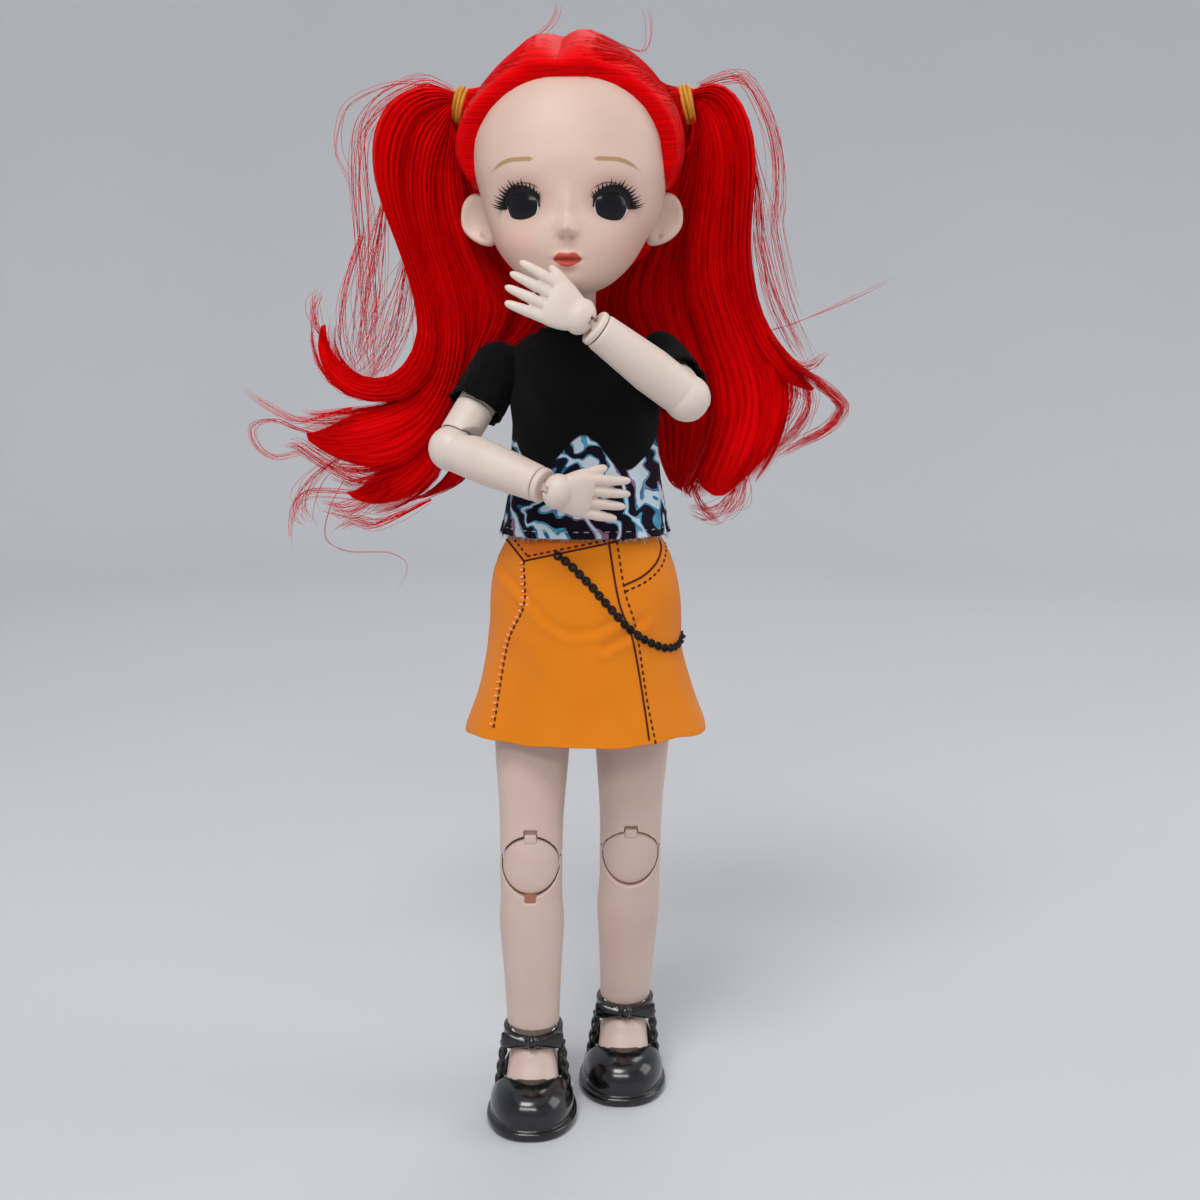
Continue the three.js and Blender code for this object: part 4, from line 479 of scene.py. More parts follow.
def new_material(name, **values):
    """A material and its graph, with plain numbers set on the shader's own sockets."""
    made = bpy.data.materials.new(name)
    made.use_nodes = True
    shader = made.node_tree.nodes["Principled BSDF"]
    for key, value in values.items():
        shader.inputs[key.replace("_", " ")].default_value = value
    return made, Graph(made.node_tree), shader


def new_group(name, inputs, outputs, use="Shader"):
    """A node group with named sockets; each input is (name, kind, default)."""
    tree = bpy.data.node_groups.new(name, use + "NodeTree")
    for label, kind, default in inputs:
        socket = tree.interface.new_socket(label, in_out="INPUT", socket_type="NodeSocket" + kind)
        if default is not None:
            socket.default_value = default
    for label, kind in outputs:
        tree.interface.new_socket(label, in_out="OUTPUT", socket_type="NodeSocket" + kind)
    graph = Graph(tree)
    return tree, graph, graph.node("NodeGroupInput"), graph.node("NodeGroupOutput")


def mottle_group():
    """Moulded plastic: a faint cloudiness of colour, uneven gloss and a fine skin texture."""
    tree, g, start, end = new_group(
        "mottle",
        [("Colour", "Color", None), ("Tint", "Color", None), ("Amount", "Float", 0.3),
         ("Gloss", "Float", 0.4), ("Spread", "Float", 0.08)],
        [("Colour", "Color"), ("Roughness", "Float"), ("Height", "Float")],
    )
    spot = g.spot()
    cloud = g.noise(spot, 55.0, 3.0)
    skin = g.noise(spot, 2600.0, 2.0)
    patch = g.noise(spot, 240.0, 3.0)
    factor = g.times(g.ramp(cloud, 0.35, 0.7), start.outputs["Amount"])
    g.link(g.mix(factor, start.outputs["Colour"], start.outputs["Tint"]), end, "Colour")
    uneven = g.times(g.minus(patch, 0.5), start.outputs["Spread"])
    g.link(g.plus(start.outputs["Gloss"], uneven), end, "Roughness")
    g.link(g.plus(g.times(skin, 0.3), patch), end, "Height")
    return tree


MOTTLE = mottle_group()


def add_mottle(g, shader, base, tint, amount, gloss, spread=0.08, bump=0.00004, paint=None):
    """Wires a moulded surface into a shader; paint turns its colour into another before it is used."""
    made = g.node("ShaderNodeGroup", node_tree=MOTTLE)
    for key, value in (("Colour", base), ("Tint", tint), ("Amount", amount), ("Gloss", gloss),
                       ("Spread", spread)):
        made.inputs[key].default_value = value
    result = made.outputs["Colour"]
    if paint:
        result = paint(result)
    g.link(result, shader, "Base Color")
    g.link(made.outputs["Roughness"], shader, "Roughness")
    relief = g.node("ShaderNodeBump", {"Height": made.outputs["Height"], "Strength": 1.0, "Distance": bump})
    g.link(relief.outputs[0], shader, "Normal")


def plastic(name, base, tint, gloss, **values):
    made, g, shader = new_material(name, **values)
    add_mottle(g, shader, base, tint, 0.5, gloss)
    return made


SKIN_VALUES = {"Subsurface_Weight": 0.18, "Subsurface_Radius": (1.0, 0.45, 0.3), "Subsurface_Scale": 0.0025,
               "IOR": 1.46}
ARM_VINYL = plastic("arm_vinyl", colour(218, 204, 192), colour(216, 190, 176), 0.46, **SKIN_VALUES)
LEG_PLASTIC = plastic("leg_plastic", colour(208, 184, 172), colour(202, 172, 160), 0.44, **SKIN_VALUES)
PIN_PLASTIC = plastic("pin_plastic", colour(205, 168, 150), colour(190, 150, 132), 0.45, IOR=1.46)
SHOE_GLOSS = plastic("shoe_gloss", colour(8, 8, 9), colour(16, 16, 18), 0.2, Coat_Weight=0.5,
                     Coat_Roughness=0.1)
TIE_RUBBER = plastic("tie_rubber", colour(196, 132, 22), colour(214, 156, 46), 0.5, IOR=1.5)


def speckled(name, base, dark, scale, rough, shine=0.3):
    """A dull finish that varies between two colours at a fine scale."""
    made, g, shader = new_material(name, Roughness=rough, Specular_IOR_Level=shine)
    g.link(g.mix(g.noise(g.spot(), scale), base, dark), shader, "Base Color")
    return made


def thread_material(name, base, dark):
    return speckled(name, base, dark, 2200.0, 0.7)


def fibre_material(name, base, deep, bright, rough=0.42):
    """Hair: each fibre has its own tone, and the tone drifts along it."""
    made, g, shader = new_material(name, Specular_IOR_Level=0.22, Specular_Tint=(1.0, 0.12, 0.1, 1.0))
    tone = g.node("ShaderNodeAttribute", attribute_name="tone").outputs["Fac"]
    spot = g.spot()
    drift = g.noise(spot, 90.0, 2.0)
    low = g.mix(g.ramp(g.plus(tone, g.times(drift, 0.5)), 0.15, 0.95), deep, base)
    lit = g.mix(g.times(g.ramp(tone, 0.75, 1.0), 0.7), low, bright)
    g.link(lit, shader, "Base Color")
    g.link(g.plus(rough, g.times(drift, 0.12)), shader, "Roughness")
    return made


HAIR_RED, HAIR_DEEP, HAIR_BRIGHT = colour(236, 0, 6), colour(156, 0, 2), colour(250, 10, 12)
HAIR_FIBRE = fibre_material("hair_fibre", HAIR_RED, HAIR_DEEP, HAIR_BRIGHT)


def combed_material():
    """The mass under the loose fibres: fine grooves that run along its own UV map, root to tip."""
    made, g, shader = new_material("combed_hair", Specular_IOR_Level=0.18,
                                   Specular_Tint=(1.0, 0.12, 0.1, 1.0))
    uv = g.node("ShaderNodeUVMap", uv_map="comb").outputs[0]
    fine = g.noise(g.node("ShaderNodeMapping", {"Vector": uv, "Scale": (950, 1.6, 1)}).outputs[0], 1.0, 3.0)
    wide = g.noise(g.node("ShaderNodeMapping", {"Vector": uv, "Scale": (150, 0.9, 1)}).outputs[0], 1.0, 3.0)
    both = g.plus(g.times(fine, 0.55), g.times(wide, 0.45))
    # The colour is darker where the grooves are deep: painted shade in the grooves.
    g.link(g.mix(g.ramp(both, 0.28, 0.62), HAIR_DEEP, HAIR_RED), shader, "Base Color")
    g.link(g.plus(0.42, g.times(fine, 0.2)), shader, "Roughness")
    bump = g.node("ShaderNodeBump", {"Height": both, "Strength": 0.6, "Distance": 0.00018})
    g.link(bump.outputs[0], shader, "Normal")
    return made


COMBED_HAIR = combed_material()


def weave_group():
    """Cloth: threads over and under each other, in the millimetres of a UV map."""
    tree, g, start, end = new_group(
        "weave",
        [("Vector", "Vector", None), ("Pitch", "Float", 0.4), ("Slant", "Float", 0.0)],
        [("Height", "Float"), ("Fuzz", "Float")],
    )
    parts = g.node("ShaderNodeSeparateXYZ", {0: start.outputs["Vector"]})
    across = g.over(parts.outputs[0], start.outputs["Pitch"])
    along = g.over(parts.outputs[1], start.outputs["Pitch"])
    slanted = g.plus(across, g.times(along, start.outputs["Slant"]))
    warp = g.math("SINE", g.times(slanted, math.tau))
    weft = g.math("SINE", g.times(along, math.tau))
    height = g.plus(g.size(warp), g.times(g.size(weft), 0.7))
    g.link(g.times(height, 0.5), end, "Height")
    fuzz = g.noise(start.outputs["Vector"], 1.3, 4.0)
    g.link(fuzz, end, "Fuzz")
    return tree


WEAVE = weave_group()


def add_weave(g, shader, uv, pitch, slant, depth):
    made = g.tree.nodes.new("ShaderNodeGroup")
    made.node_tree = WEAVE
    g.link(uv, made, "Vector")
    made.inputs["Pitch"].default_value = pitch
    made.inputs["Slant"].default_value = slant
    bump = g.node("ShaderNodeBump", {"Height": made.outputs["Height"], "Strength": 1.0, "Distance": depth})
    g.link(bump.outputs[0], shader, "Normal")
    return made


# Hinge tabs, knees and legs: the same sizes as the model's solids

THIGH_LENGTH = 64.2
THIGH_SWIVEL_DROP = 24
THIGH_KNEE_RADIUS = 8.9
KNEE_RADIUS = 7.9
KNEE_MEET = 2.2
KNEE_RELIEF = 40
KNEE_HINGE_OFFSET = 3.5
KNEE_TAB_WIDTH = 3.2
KNEE_TAB_RADIUS = 2.7
KNEE_BEND_EACH = 50
KNEE_NOTCH = 3.3
SHIN_BELOW_ANKLE = 0.8
KNEE_BALL_RADIUS = KNEE_RADIUS + 0.1
KNEE_FRONT = 8.75
KNEE_FRONT_CURVE = 0.012
KNEE_EDGE_ROLL = 0.55
# Pin plastic made darker: painted shade at the floor of the right knee's notch.
PIT_SHADE_BROWN = plastic("pit_shade_brown", colour(168, 108, 82), colour(148, 90, 66), 0.5, IOR=1.46)

# How far each leg stands beside its joints in the photograph: levels and shifts along X, in millimetres

LEG_LEAN = {"r": [(0, -0.7), (26, -0.6), (68, -0.9), (112, -0.4)],
            "l": [(0, -2.8), (26, -1.6), (68, -0.5), (112, 0)]}
SHIN_LENGTH = 44.4
SHIN_RIM_RADIUS = 8.9
SHIN_CALF_RADIUS = 9.2
SHIN_ANKLE_RADIUS = 7.8
ANKLE_RADIUS = 6.6
ANKLE_CUP_RIM = 1.8


def hinge_tab(width, radius, start, end):
    return [block(width, 2 * radius, abs(end - start), (0, 0, (start + end) / 2)),
            cross_rod(radius, width, (0, 0, end))]


def knee_dish(hinge, towards):
    """What is cut from a limb's end so that it arches over the knee ball and clears it when bent."""
    shapes = []
    for bend in (0, math.radians(KNEE_BEND_EACH)):
        y = KNEE_HINGE_OFFSET * math.sin(bend)
        z = hinge + towards * KNEE_HINGE_OFFSET * math.cos(bend)
        shapes.append(ball(KNEE_RADIUS + GAP, (0, y, z), 64))
    knee = hinge + towards * KNEE_HINGE_OFFSET
    shapes.append(rod(KNEE_RADIUS + GAP, (0, -24, knee), (0, 24, knee), 64))
    meet = knee + KNEE_MEET + (-GAP if towards > 0 else 0)
    rise = 30 * math.tan(math.radians(KNEE_RELIEF))
    shapes.append(side_profile([(0, meet), (30, meet - towards * rise), (30, meet + towards * 20),
                                (0, meet + towards * 20)], 40))
    return shapes


def knee_cap():
    """The front of the knee ball, which fills the round opening nearly flush with the leg."""
    turn = angles(72)
    rings = []
    for share in (0.01, 0.2, 0.4, 0.6, 0.75, 0.86, 0.94, 0.985, 1.0):
        x, z = share * KNEE_BALL_RADIUS * np.cos(turn), share * KNEE_BALL_RADIUS * np.sin(turn)
        front = np.sqrt(KNEE_FRONT ** 2 - x ** 2) - KNEE_FRONT_CURVE * z ** 2 - KNEE_EDGE_ROLL * share ** 14
        rings.append(np.stack([x, -front, z], -1))
    rings.append(rings[-1] * (1, 0, 1))
    return loft(rings)


def dress_leg(side, piece, *finish):
    """Shifts a piece of a leg to where it stands in the photograph and dresses it."""
    levels, shifts = np.array(LEG_LEAN[side], float).T
    for vertex in piece.data.vertices:
        vertex.co.x += np.interp(vertex.co.z / MM, levels, shifts) * MM
    dress(piece, *finish)


def make_leg(side):
    hip, upper, lower, ankle = joint_places(side, "hip_swing", "knee_upper", "knee_lower", "ankle")
    x_way = Vector((1, 0, 0))
    top = -THIGH_SWIVEL_DROP - GAP
    low = -THIGH_LENGTH - KNEE_HINGE_OFFSET + KNEE_MEET
    shaft = loft([oval(z, a, b) for z, a, b in (
        (low, THIGH_KNEE_RADIUS, THIGH_KNEE_RADIUS),
        (low + 4, THIGH_KNEE_RADIUS, THIGH_KNEE_RADIUS), (-56, 9.05, 9.0), (-50, 9.4, 9.2), (-44, 9.9, 9.5),
        (-38, 10.4, 9.8), (-31, 10.7, 10.1), (top, 10.5, 10.1))])
    tab = hinge_tab(KNEE_TAB_WIDTH, KNEE_TAB_RADIUS, -THIGH_LENGTH + KNEE_RADIUS, -THIGH_LENGTH)
    thigh_frame = limb_frame(hip, upper - hip, x_way)
    arch = -THIGH_LENGTH - KNEE_HINGE_OFFSET + KNEE_RADIUS
    notch = block(KNEE_NOTCH + 2 * GAP, 6, 3.4, (0, -THIGH_KNEE_RADIUS - 1.2, arch + 0.2))
    body = moulded_after_cut("thigh_" + side, [shaft], [*knee_dish(-THIGH_LENGTH, -1), notch], tab,
                             thigh_frame, LEG_VOXEL, 2)
    dress_leg(side, body, "thigh_" + side, LEG_PLASTIC, "leg_plastic", "thigh_" + side)

    knee_frame = limb_frame((upper + lower) / 2, lower - upper, x_way)
    half_slot, reach = KNEE_TAB_RADIUS + GAP, 2 * KNEE_RADIUS
    slot_width = KNEE_TAB_WIDTH + 2 * GAP
    cuts = [
        swept_slot(slot_width, half_slot, reach, 180, 180 + KNEE_BEND_EACH, (0, KNEE_HINGE_OFFSET)),
        swept_slot(slot_width, half_slot, reach, -KNEE_BEND_EACH, 0, (0, -KNEE_HINGE_OFFSET)),
    ]
    tongue = block(KNEE_NOTCH, 3.4, 2.2, (0, -THIGH_KNEE_RADIUS + 2.1, KNEE_RADIUS + 0.1))
    parts = [ball(KNEE_BALL_RADIUS, around=72), knee_cap(), tongue]
    knee = moulded("knee_ball_" + side, parts, cuts, knee_frame, KNEE_VOXEL, 2)
    dress_leg(side, knee, "knee_" + side, LEG_PLASTIC, "leg_plastic", "knee_ball_" + side)

    shin_frame = limb_frame(lower, ankle - lower, x_way)
    rows = [
        (-SHIN_LENGTH - SHIN_BELOW_ANKLE, SHIN_ANKLE_RADIUS - 0.3, SHIN_ANKLE_RADIUS - 0.1, 0),
        (-SHIN_LENGTH + ANKLE_CUP_RIM + 12, SHIN_ANKLE_RADIUS + 0.4, SHIN_ANKLE_RADIUS + 0.5, 0.4),
        (-SHIN_LENGTH * 0.35, SHIN_CALF_RADIUS, SHIN_CALF_RADIUS + 0.1, 0.6),
        (-KNEE_RADIUS + KNEE_HINGE_OFFSET - 2, SHIN_RIM_RADIUS - 0.1, SHIN_RIM_RADIUS - 0.1, 0),
        (KNEE_HINGE_OFFSET + KNEE_MEET - GAP, SHIN_RIM_RADIUS, SHIN_RIM_RADIUS, 0),
    ]
    shaft = loft([oval(z, a, b, y=y) for z, a, b, y in eased(rows, 24)])
    tab = hinge_tab(KNEE_TAB_WIDTH, KNEE_TAB_RADIUS, -KNEE_RADIUS, 0)
    cuts = knee_dish(0, 1) + [ball(ANKLE_RADIUS + GAP, (0, 0, -SHIN_LENGTH)),
                              rod(ANKLE_RADIUS + 0.1, (0, 0, -SHIN_LENGTH), (0, 0, -60))]
    pit = KNEE_HINGE_OFFSET - KNEE_RADIUS - 0.9
    if side == "r":
        cuts.append(block(KNEE_NOTCH, 4, 2.6, (0, -SHIN_RIM_RADIUS - 0.9, pit)))
        # A plate of pin-coloured plastic, darker than the pins, at the floor of the notch: painted shade in
        # the recess.
        shaded_plate = block(KNEE_NOTCH + 0.3, 0.6, 2.9, (0, -SHIN_RIM_RADIUS + 0.95, pit))
        floor = mesh_object("knee_pit_shade_r", shaded_plate, shin_frame)
        dress_leg(side, floor, "shin_r", PIT_SHADE_BROWN, "pin_plastic")
    shin = moulded_after_cut("shin_" + side, [shaft], cuts, tab, shin_frame, LEG_VOXEL, 2)
    dress_leg(side, shin, "shin_" + side, LEG_PLASTIC, "leg_plastic", "shin_" + side)
    make_foot(side, ankle)


def carved(parts, cuts):
    """The sharp shape that is left of joined parts once others are cut away."""
    work = moulded("carved", parts, cuts, Matrix.Identity(4), voxel=0)
    shape = shape_of(work)
    bpy.data.objects.remove(work)
    return shape


def moulded_after_cut(name, parts, cuts, added, place, voxel=0.4, turns=4):
    """As moulded, with more parts added once the cuts are made."""
    return moulded(name, [carved(parts, cuts), *added], [], place, voxel, turns)


# Feet and shoes

ANKLE_HEIGHT = 24.5
FOOT_TOE_REACH = 23
FOOT_HEEL_REACH = 7.4
FOOT_HALF_WIDTH = 8
FOOT_TOE_HEIGHT = 5
SOLE_THICKNESS = 2.6
WELT = 1.1
SHOE_TOE_REACH = 26.2
SHOE_HEEL_REACH = 10.6
SHOE_HALF_WIDTH = 12.1
SHOE_TOE_TOP = 12.4
SHOE_HEEL_TOP = 15.5
SHOE_SIDE_TOP = 6.8
VAMP_BACK = 10.4
STRAP_LEVEL = 21.0
STRAP_HEIGHT = 3.8
STRAP_WALL = 1.5
STRAP_INNER_A = 7.1
STRAP_INNER_B = 8.3
BOW_HALF_THICKNESS = 1.4
POST_RADIUS = 1.15


def foot_shape(grow):
    floor = SOLE_THICKNESS + GAP - ANKLE_HEIGHT
    toe = -FOOT_TOE_REACH
    rows = [
        (FOOT_HEEL_REACH + grow, 4.6, 10), (FOOT_HEEL_REACH - 2.5, 6.2, 15), (1, 6.9, 19.4),
        (-4, 7.1, 17.8),
        (-8, FOOT_HALF_WIDTH - 0.5, 13.4), (-13, FOOT_HALF_WIDTH, 9),
        (toe * 0.8, FOOT_HALF_WIDTH - 0.2, FOOT_TOE_HEIGHT + 1.4),
        (toe - grow, FOOT_HALF_WIDTH * 0.6, FOOT_TOE_HEIGHT - 1),
    ]
    return path_loft([(0, y, floor + top / 2, wide + grow, top / 2 + grow) for y, wide, top in rows],
                     48, (0, 0, 1), 30)


def shoe_ring(height, inset, sides=96):
    toe, heel = SHOE_TOE_REACH - inset, SHOE_HEEL_REACH - inset
    turn = angles(sides)
    s, c = np.sin(turn), np.cos(turn)
    t = np.clip((s + 0.35) / 1.35, 0, 1)
    narrowing = 1 - 0.22 * t * t * (3 - 2 * t)
    x = (SHOE_HALF_WIDTH - inset) * narrowing * np.sign(c) * abs(c) ** 0.82
    y = (heel - toe) / 2 + (heel + toe) / 2 * np.sign(s) * abs(s) ** 0.9
    return np.stack([x, y, 0 * x + height - ANKLE_HEIGHT], -1)


def shoe_loft(rows, steps):
    return loft([shoe_ring(height, inset) for height, inset in (eased(rows, steps) if steps else rows)])


def strap_post(sign):
    """The twisted post from the shoe's top edge up to the strap."""
    low = np.array((sign * (SHOE_HALF_WIDTH - 2), -VAMP_BACK + 4, SHOE_SIDE_TOP - 1.6 - ANKLE_HEIGHT))
    top_level = STRAP_LEVEL - STRAP_HEIGHT / 2 + 0.6 - ANKLE_HEIGHT
    high = np.array((sign * (STRAP_INNER_A + STRAP_WALL - 0.5), -4, top_level))
    rings = []
    turn = angles(20)
    for share in np.linspace(0, 1, 26):
        twist = turn + share * 4 * math.pi
        radius = POST_RADIUS * (1 + 0.28 * np.cos(2 * twist))
        rings.append(low + (high - low) * share
                     + np.stack([radius * np.cos(turn), radius * np.sin(turn), 0 * turn], -1))
    return loft(rings)


def make_foot(side, ankle):
    place = Matrix.Translation(ankle) @ Matrix.Scale(MM, 4)
    foot = moulded("foot_" + side, [foot_shape(0), ball(ANKLE_RADIUS)], [], place, FOOT_VOXEL, 6)
    dress_leg(side, foot, "foot_" + side, LEG_PLASTIC, "leg_plastic", "foot_" + side)

    sole = shoe_loft([(0, 0.5 - WELT), (0.6, -WELT), (SOLE_THICKNESS - 0.5, -WELT),
                      (SOLE_THICKNESS, 0.4 - WELT)], 0)
    toe_box = shoe_loft([(SOLE_THICKNESS - 0.5, 0.3), (SHOE_TOE_TOP * 0.45, 0), (SHOE_TOE_TOP * 0.68, 0.9),
                         (SHOE_TOE_TOP * 0.85, 2.6), (SHOE_TOE_TOP * 0.95, 5), (SHOE_TOE_TOP, 8.4)], 24)
    heel_cup = shoe_loft([(SOLE_THICKNESS - 0.5, 0.3), (SHOE_HEEL_TOP * 0.4, 0.2),
                          (SHOE_HEEL_TOP * 0.75, 0.9),
                          (SHOE_HEEL_TOP, 1.6)], 20)
    ahead = block(60, 40, 60, (0, -20 - VAMP_BACK * 0.5, 0))
    heel = carved([heel_cup], [ahead])
    outline = [(-VAMP_BACK, SHOE_TOE_TOP + 6), (-VAMP_BACK, SHOE_TOE_TOP - 1.5),
               (-VAMP_BACK + 1.4, SHOE_SIDE_TOP + 0.9),
               (-VAMP_BACK + 4, SHOE_SIDE_TOP), (-2, SHOE_SIDE_TOP + 1), (3, SHOE_HEEL_TOP - 3.6),
               (6.5, SHOE_HEEL_TOP - 0.8), (SHOE_HEEL_REACH + 2, SHOE_HEEL_TOP - 0.3),
               (SHOE_HEEL_REACH + 2, SHOE_HEEL_TOP + 6)]
    opening = side_profile([(y, z - ANKLE_HEIGHT) for y, z in outline], 40)
    shoe = moulded_after_cut("shoe_" + side, [toe_box, heel, sole], [opening, foot_shape(GAP)],
                             [strap_post(-1), strap_post(1)], place, SHOE_VOXEL, 3)
    dress_leg(side, shoe, "foot_" + side, SHOE_GLOSS, "shoe_gloss", "shoe_" + side)

    level, half = STRAP_LEVEL - ANKLE_HEIGHT, STRAP_HEIGHT / 2
    outer = loft([oval(level + s * half, STRAP_INNER_A + STRAP_WALL, STRAP_INNER_B + STRAP_WALL)
                  for s in (-1, 1)])
    front = -STRAP_INNER_B - STRAP_WALL
    knot = egg((1.7, BOW_HALF_THICKNESS + 0.4, half + 0.2), (0, front - 0.2, level + 0.5))
    loops = []
    for sign in (-1, 1):
        wing = path_loft([(0, 0, 0, 0.9, 0.9), (sign * 2.4, 0, 0, half - 0.5, 1.0),
                          (sign * 6, 0.5, 0, half + 0.3, 1.15),
                          (sign * 8.4, 1.0, 0, half + 0.5, 1.0), (sign * 9.2, 1.2, 0, half + 0.2, 0.4)], 28,
                         (0, 1, 0), 24)
        loops.append(moved(turned_about(wing, "Z", sign * 10), (0, front + 0.2, level)))
    inner = loft([oval(level + s * (half + 2), STRAP_INNER_A, STRAP_INNER_B) for s in (-1, 1)])
    strap = moulded("shoe_strap_" + side, [outer, knot, *loops], [inner], place, STRAP_VOXEL, 3)
    dress_leg(side, strap, "foot_" + side, SHOE_GLOSS, "shoe_gloss", "shoe_strap_" + side)


# Arms

UPPER_ARM_LENGTH = 27
UPPER_ARM_RADIUS = 5.4
ARM_SWIVEL_DROP = 13
ELBOW_RADIUS = 6.2
ELBOW_TAB_WIDTH = 3
ELBOW_TAB_RADIUS = 2.6
ELBOW_CLOSED_ANGLE = 70
FOREARM_LENGTH = 35.5
FOREARM_RADIUS = 6
FOREARM_WRIST_RADIUS = 4.9
WRIST_RADIUS = 3.7
WRIST_HALF_WIDTH = 4.7
WRIST_COLLAR = 1.7
WRIST_TAB_WIDTH = 2.2
WRIST_TAB_RADIUS = 1.5
PALM_LENGTH = 9.2
PALM_HALF_WIDTH = 6.0
PALM_HALF_THICKNESS = 2.3
FINGER_LENGTH = 11.2
FINGER_RADIUS = 1.5
THUMB_LENGTH = 10.5
THUMB_RADIUS = 1.7
WRIST_BEND = {"r": 50, "l": -8}
WRIST_SWEEP = {"r": (177, 241), "l": (161, 205)}
HAND_LEAN = {"r": 0, "l": -8.5}


def hand_parts(palm_sign):
    heel = egg((WRIST_HALF_WIDTH + 0.1, WRIST_RADIUS + 0.15, WRIST_RADIUS + 0.15))
    palm = loft([oval(z, a, b, power=p) for z, a, b, p in eased([
        (-PALM_LENGTH - 0.2, PALM_HALF_WIDTH - 0.5, PALM_HALF_THICKNESS - 0.8, 2.8),
        (-PALM_LENGTH * 0.75, PALM_HALF_WIDTH, PALM_HALF_THICKNESS - 0.2, 2.8),
        (-PALM_LENGTH * 0.35, PALM_HALF_WIDTH - 0.6, PALM_HALF_THICKNESS, 2.5),
        (-0.6, WRIST_HALF_WIDTH - 0.4, PALM_HALF_THICKNESS, 2.2)], 14)])
    parts = [heel, palm]
    shares = (0.84, 0.97, 1, 0.93)
    pitch = (2 * PALM_HALF_WIDTH - 2 * FINGER_RADIUS) / (len(shares) - 1)
    for i, share in enumerate(shares):
        x = -PALM_HALF_WIDTH + FINGER_RADIUS + pitch * i
        fan = (i - 1.5) * 0.55
        reach = FINGER_LENGTH * share
        rows = [(x + fan * along, palm_sign * drop, -PALM_LENGTH + 1.5 - reach * along, radius * 1.0,
                 radius * 0.92)
                for along, drop, radius in ((-0.3, 0, FINGER_RADIUS * 0.8), (0.12, 0, FINGER_RADIUS),
                                            (0.42, 0.2, FINGER_RADIUS * 0.94),
                                            (0.5, 0.28, FINGER_RADIUS * 0.99),
                                            (0.8, 0.8, FINGER_RADIUS * 0.86),
                                            (1.02, 1.25, FINGER_RADIUS * 0.72),
                                            (1.13, 1.45, FINGER_RADIUS * 0.45),
                                            (1.17, 1.5, FINGER_RADIUS * 0.12))]
        parts.append(path_loft(rows, 20, (0, 1, 0), 26))
    root = np.array((PALM_HALF_WIDTH - 2.6, palm_sign * 0.4, -PALM_LENGTH * 0.28))
    way = np.array((0.42, palm_sign * 0.12, -0.9))
    way /= np.linalg.norm(way)
    rows = [(*(root + way * THUMB_LENGTH * along), radius, radius * 0.9)
            for along, radius in ((-0.1, THUMB_RADIUS), (0.3, THUMB_RADIUS * 1.08),
                                  (0.55, THUMB_RADIUS * 0.92),
                                  (0.7, THUMB_RADIUS * 0.95), (0.9, THUMB_RADIUS * 0.78),
                                  (1.02, THUMB_RADIUS * 0.5),
                                  (1.06, THUMB_RADIUS * 0.12))]
    parts.append(path_loft(rows, 20, (0, 1, 0), 24))
    return parts


def seam_ring(radius, z, width=0.5, depth=0.4):
    low, high = z - width / 2, z + width / 2
    return turned_ring([(radius - depth, low), (radius + 2, low), (radius + 2, high),
                        (radius - depth, high)])


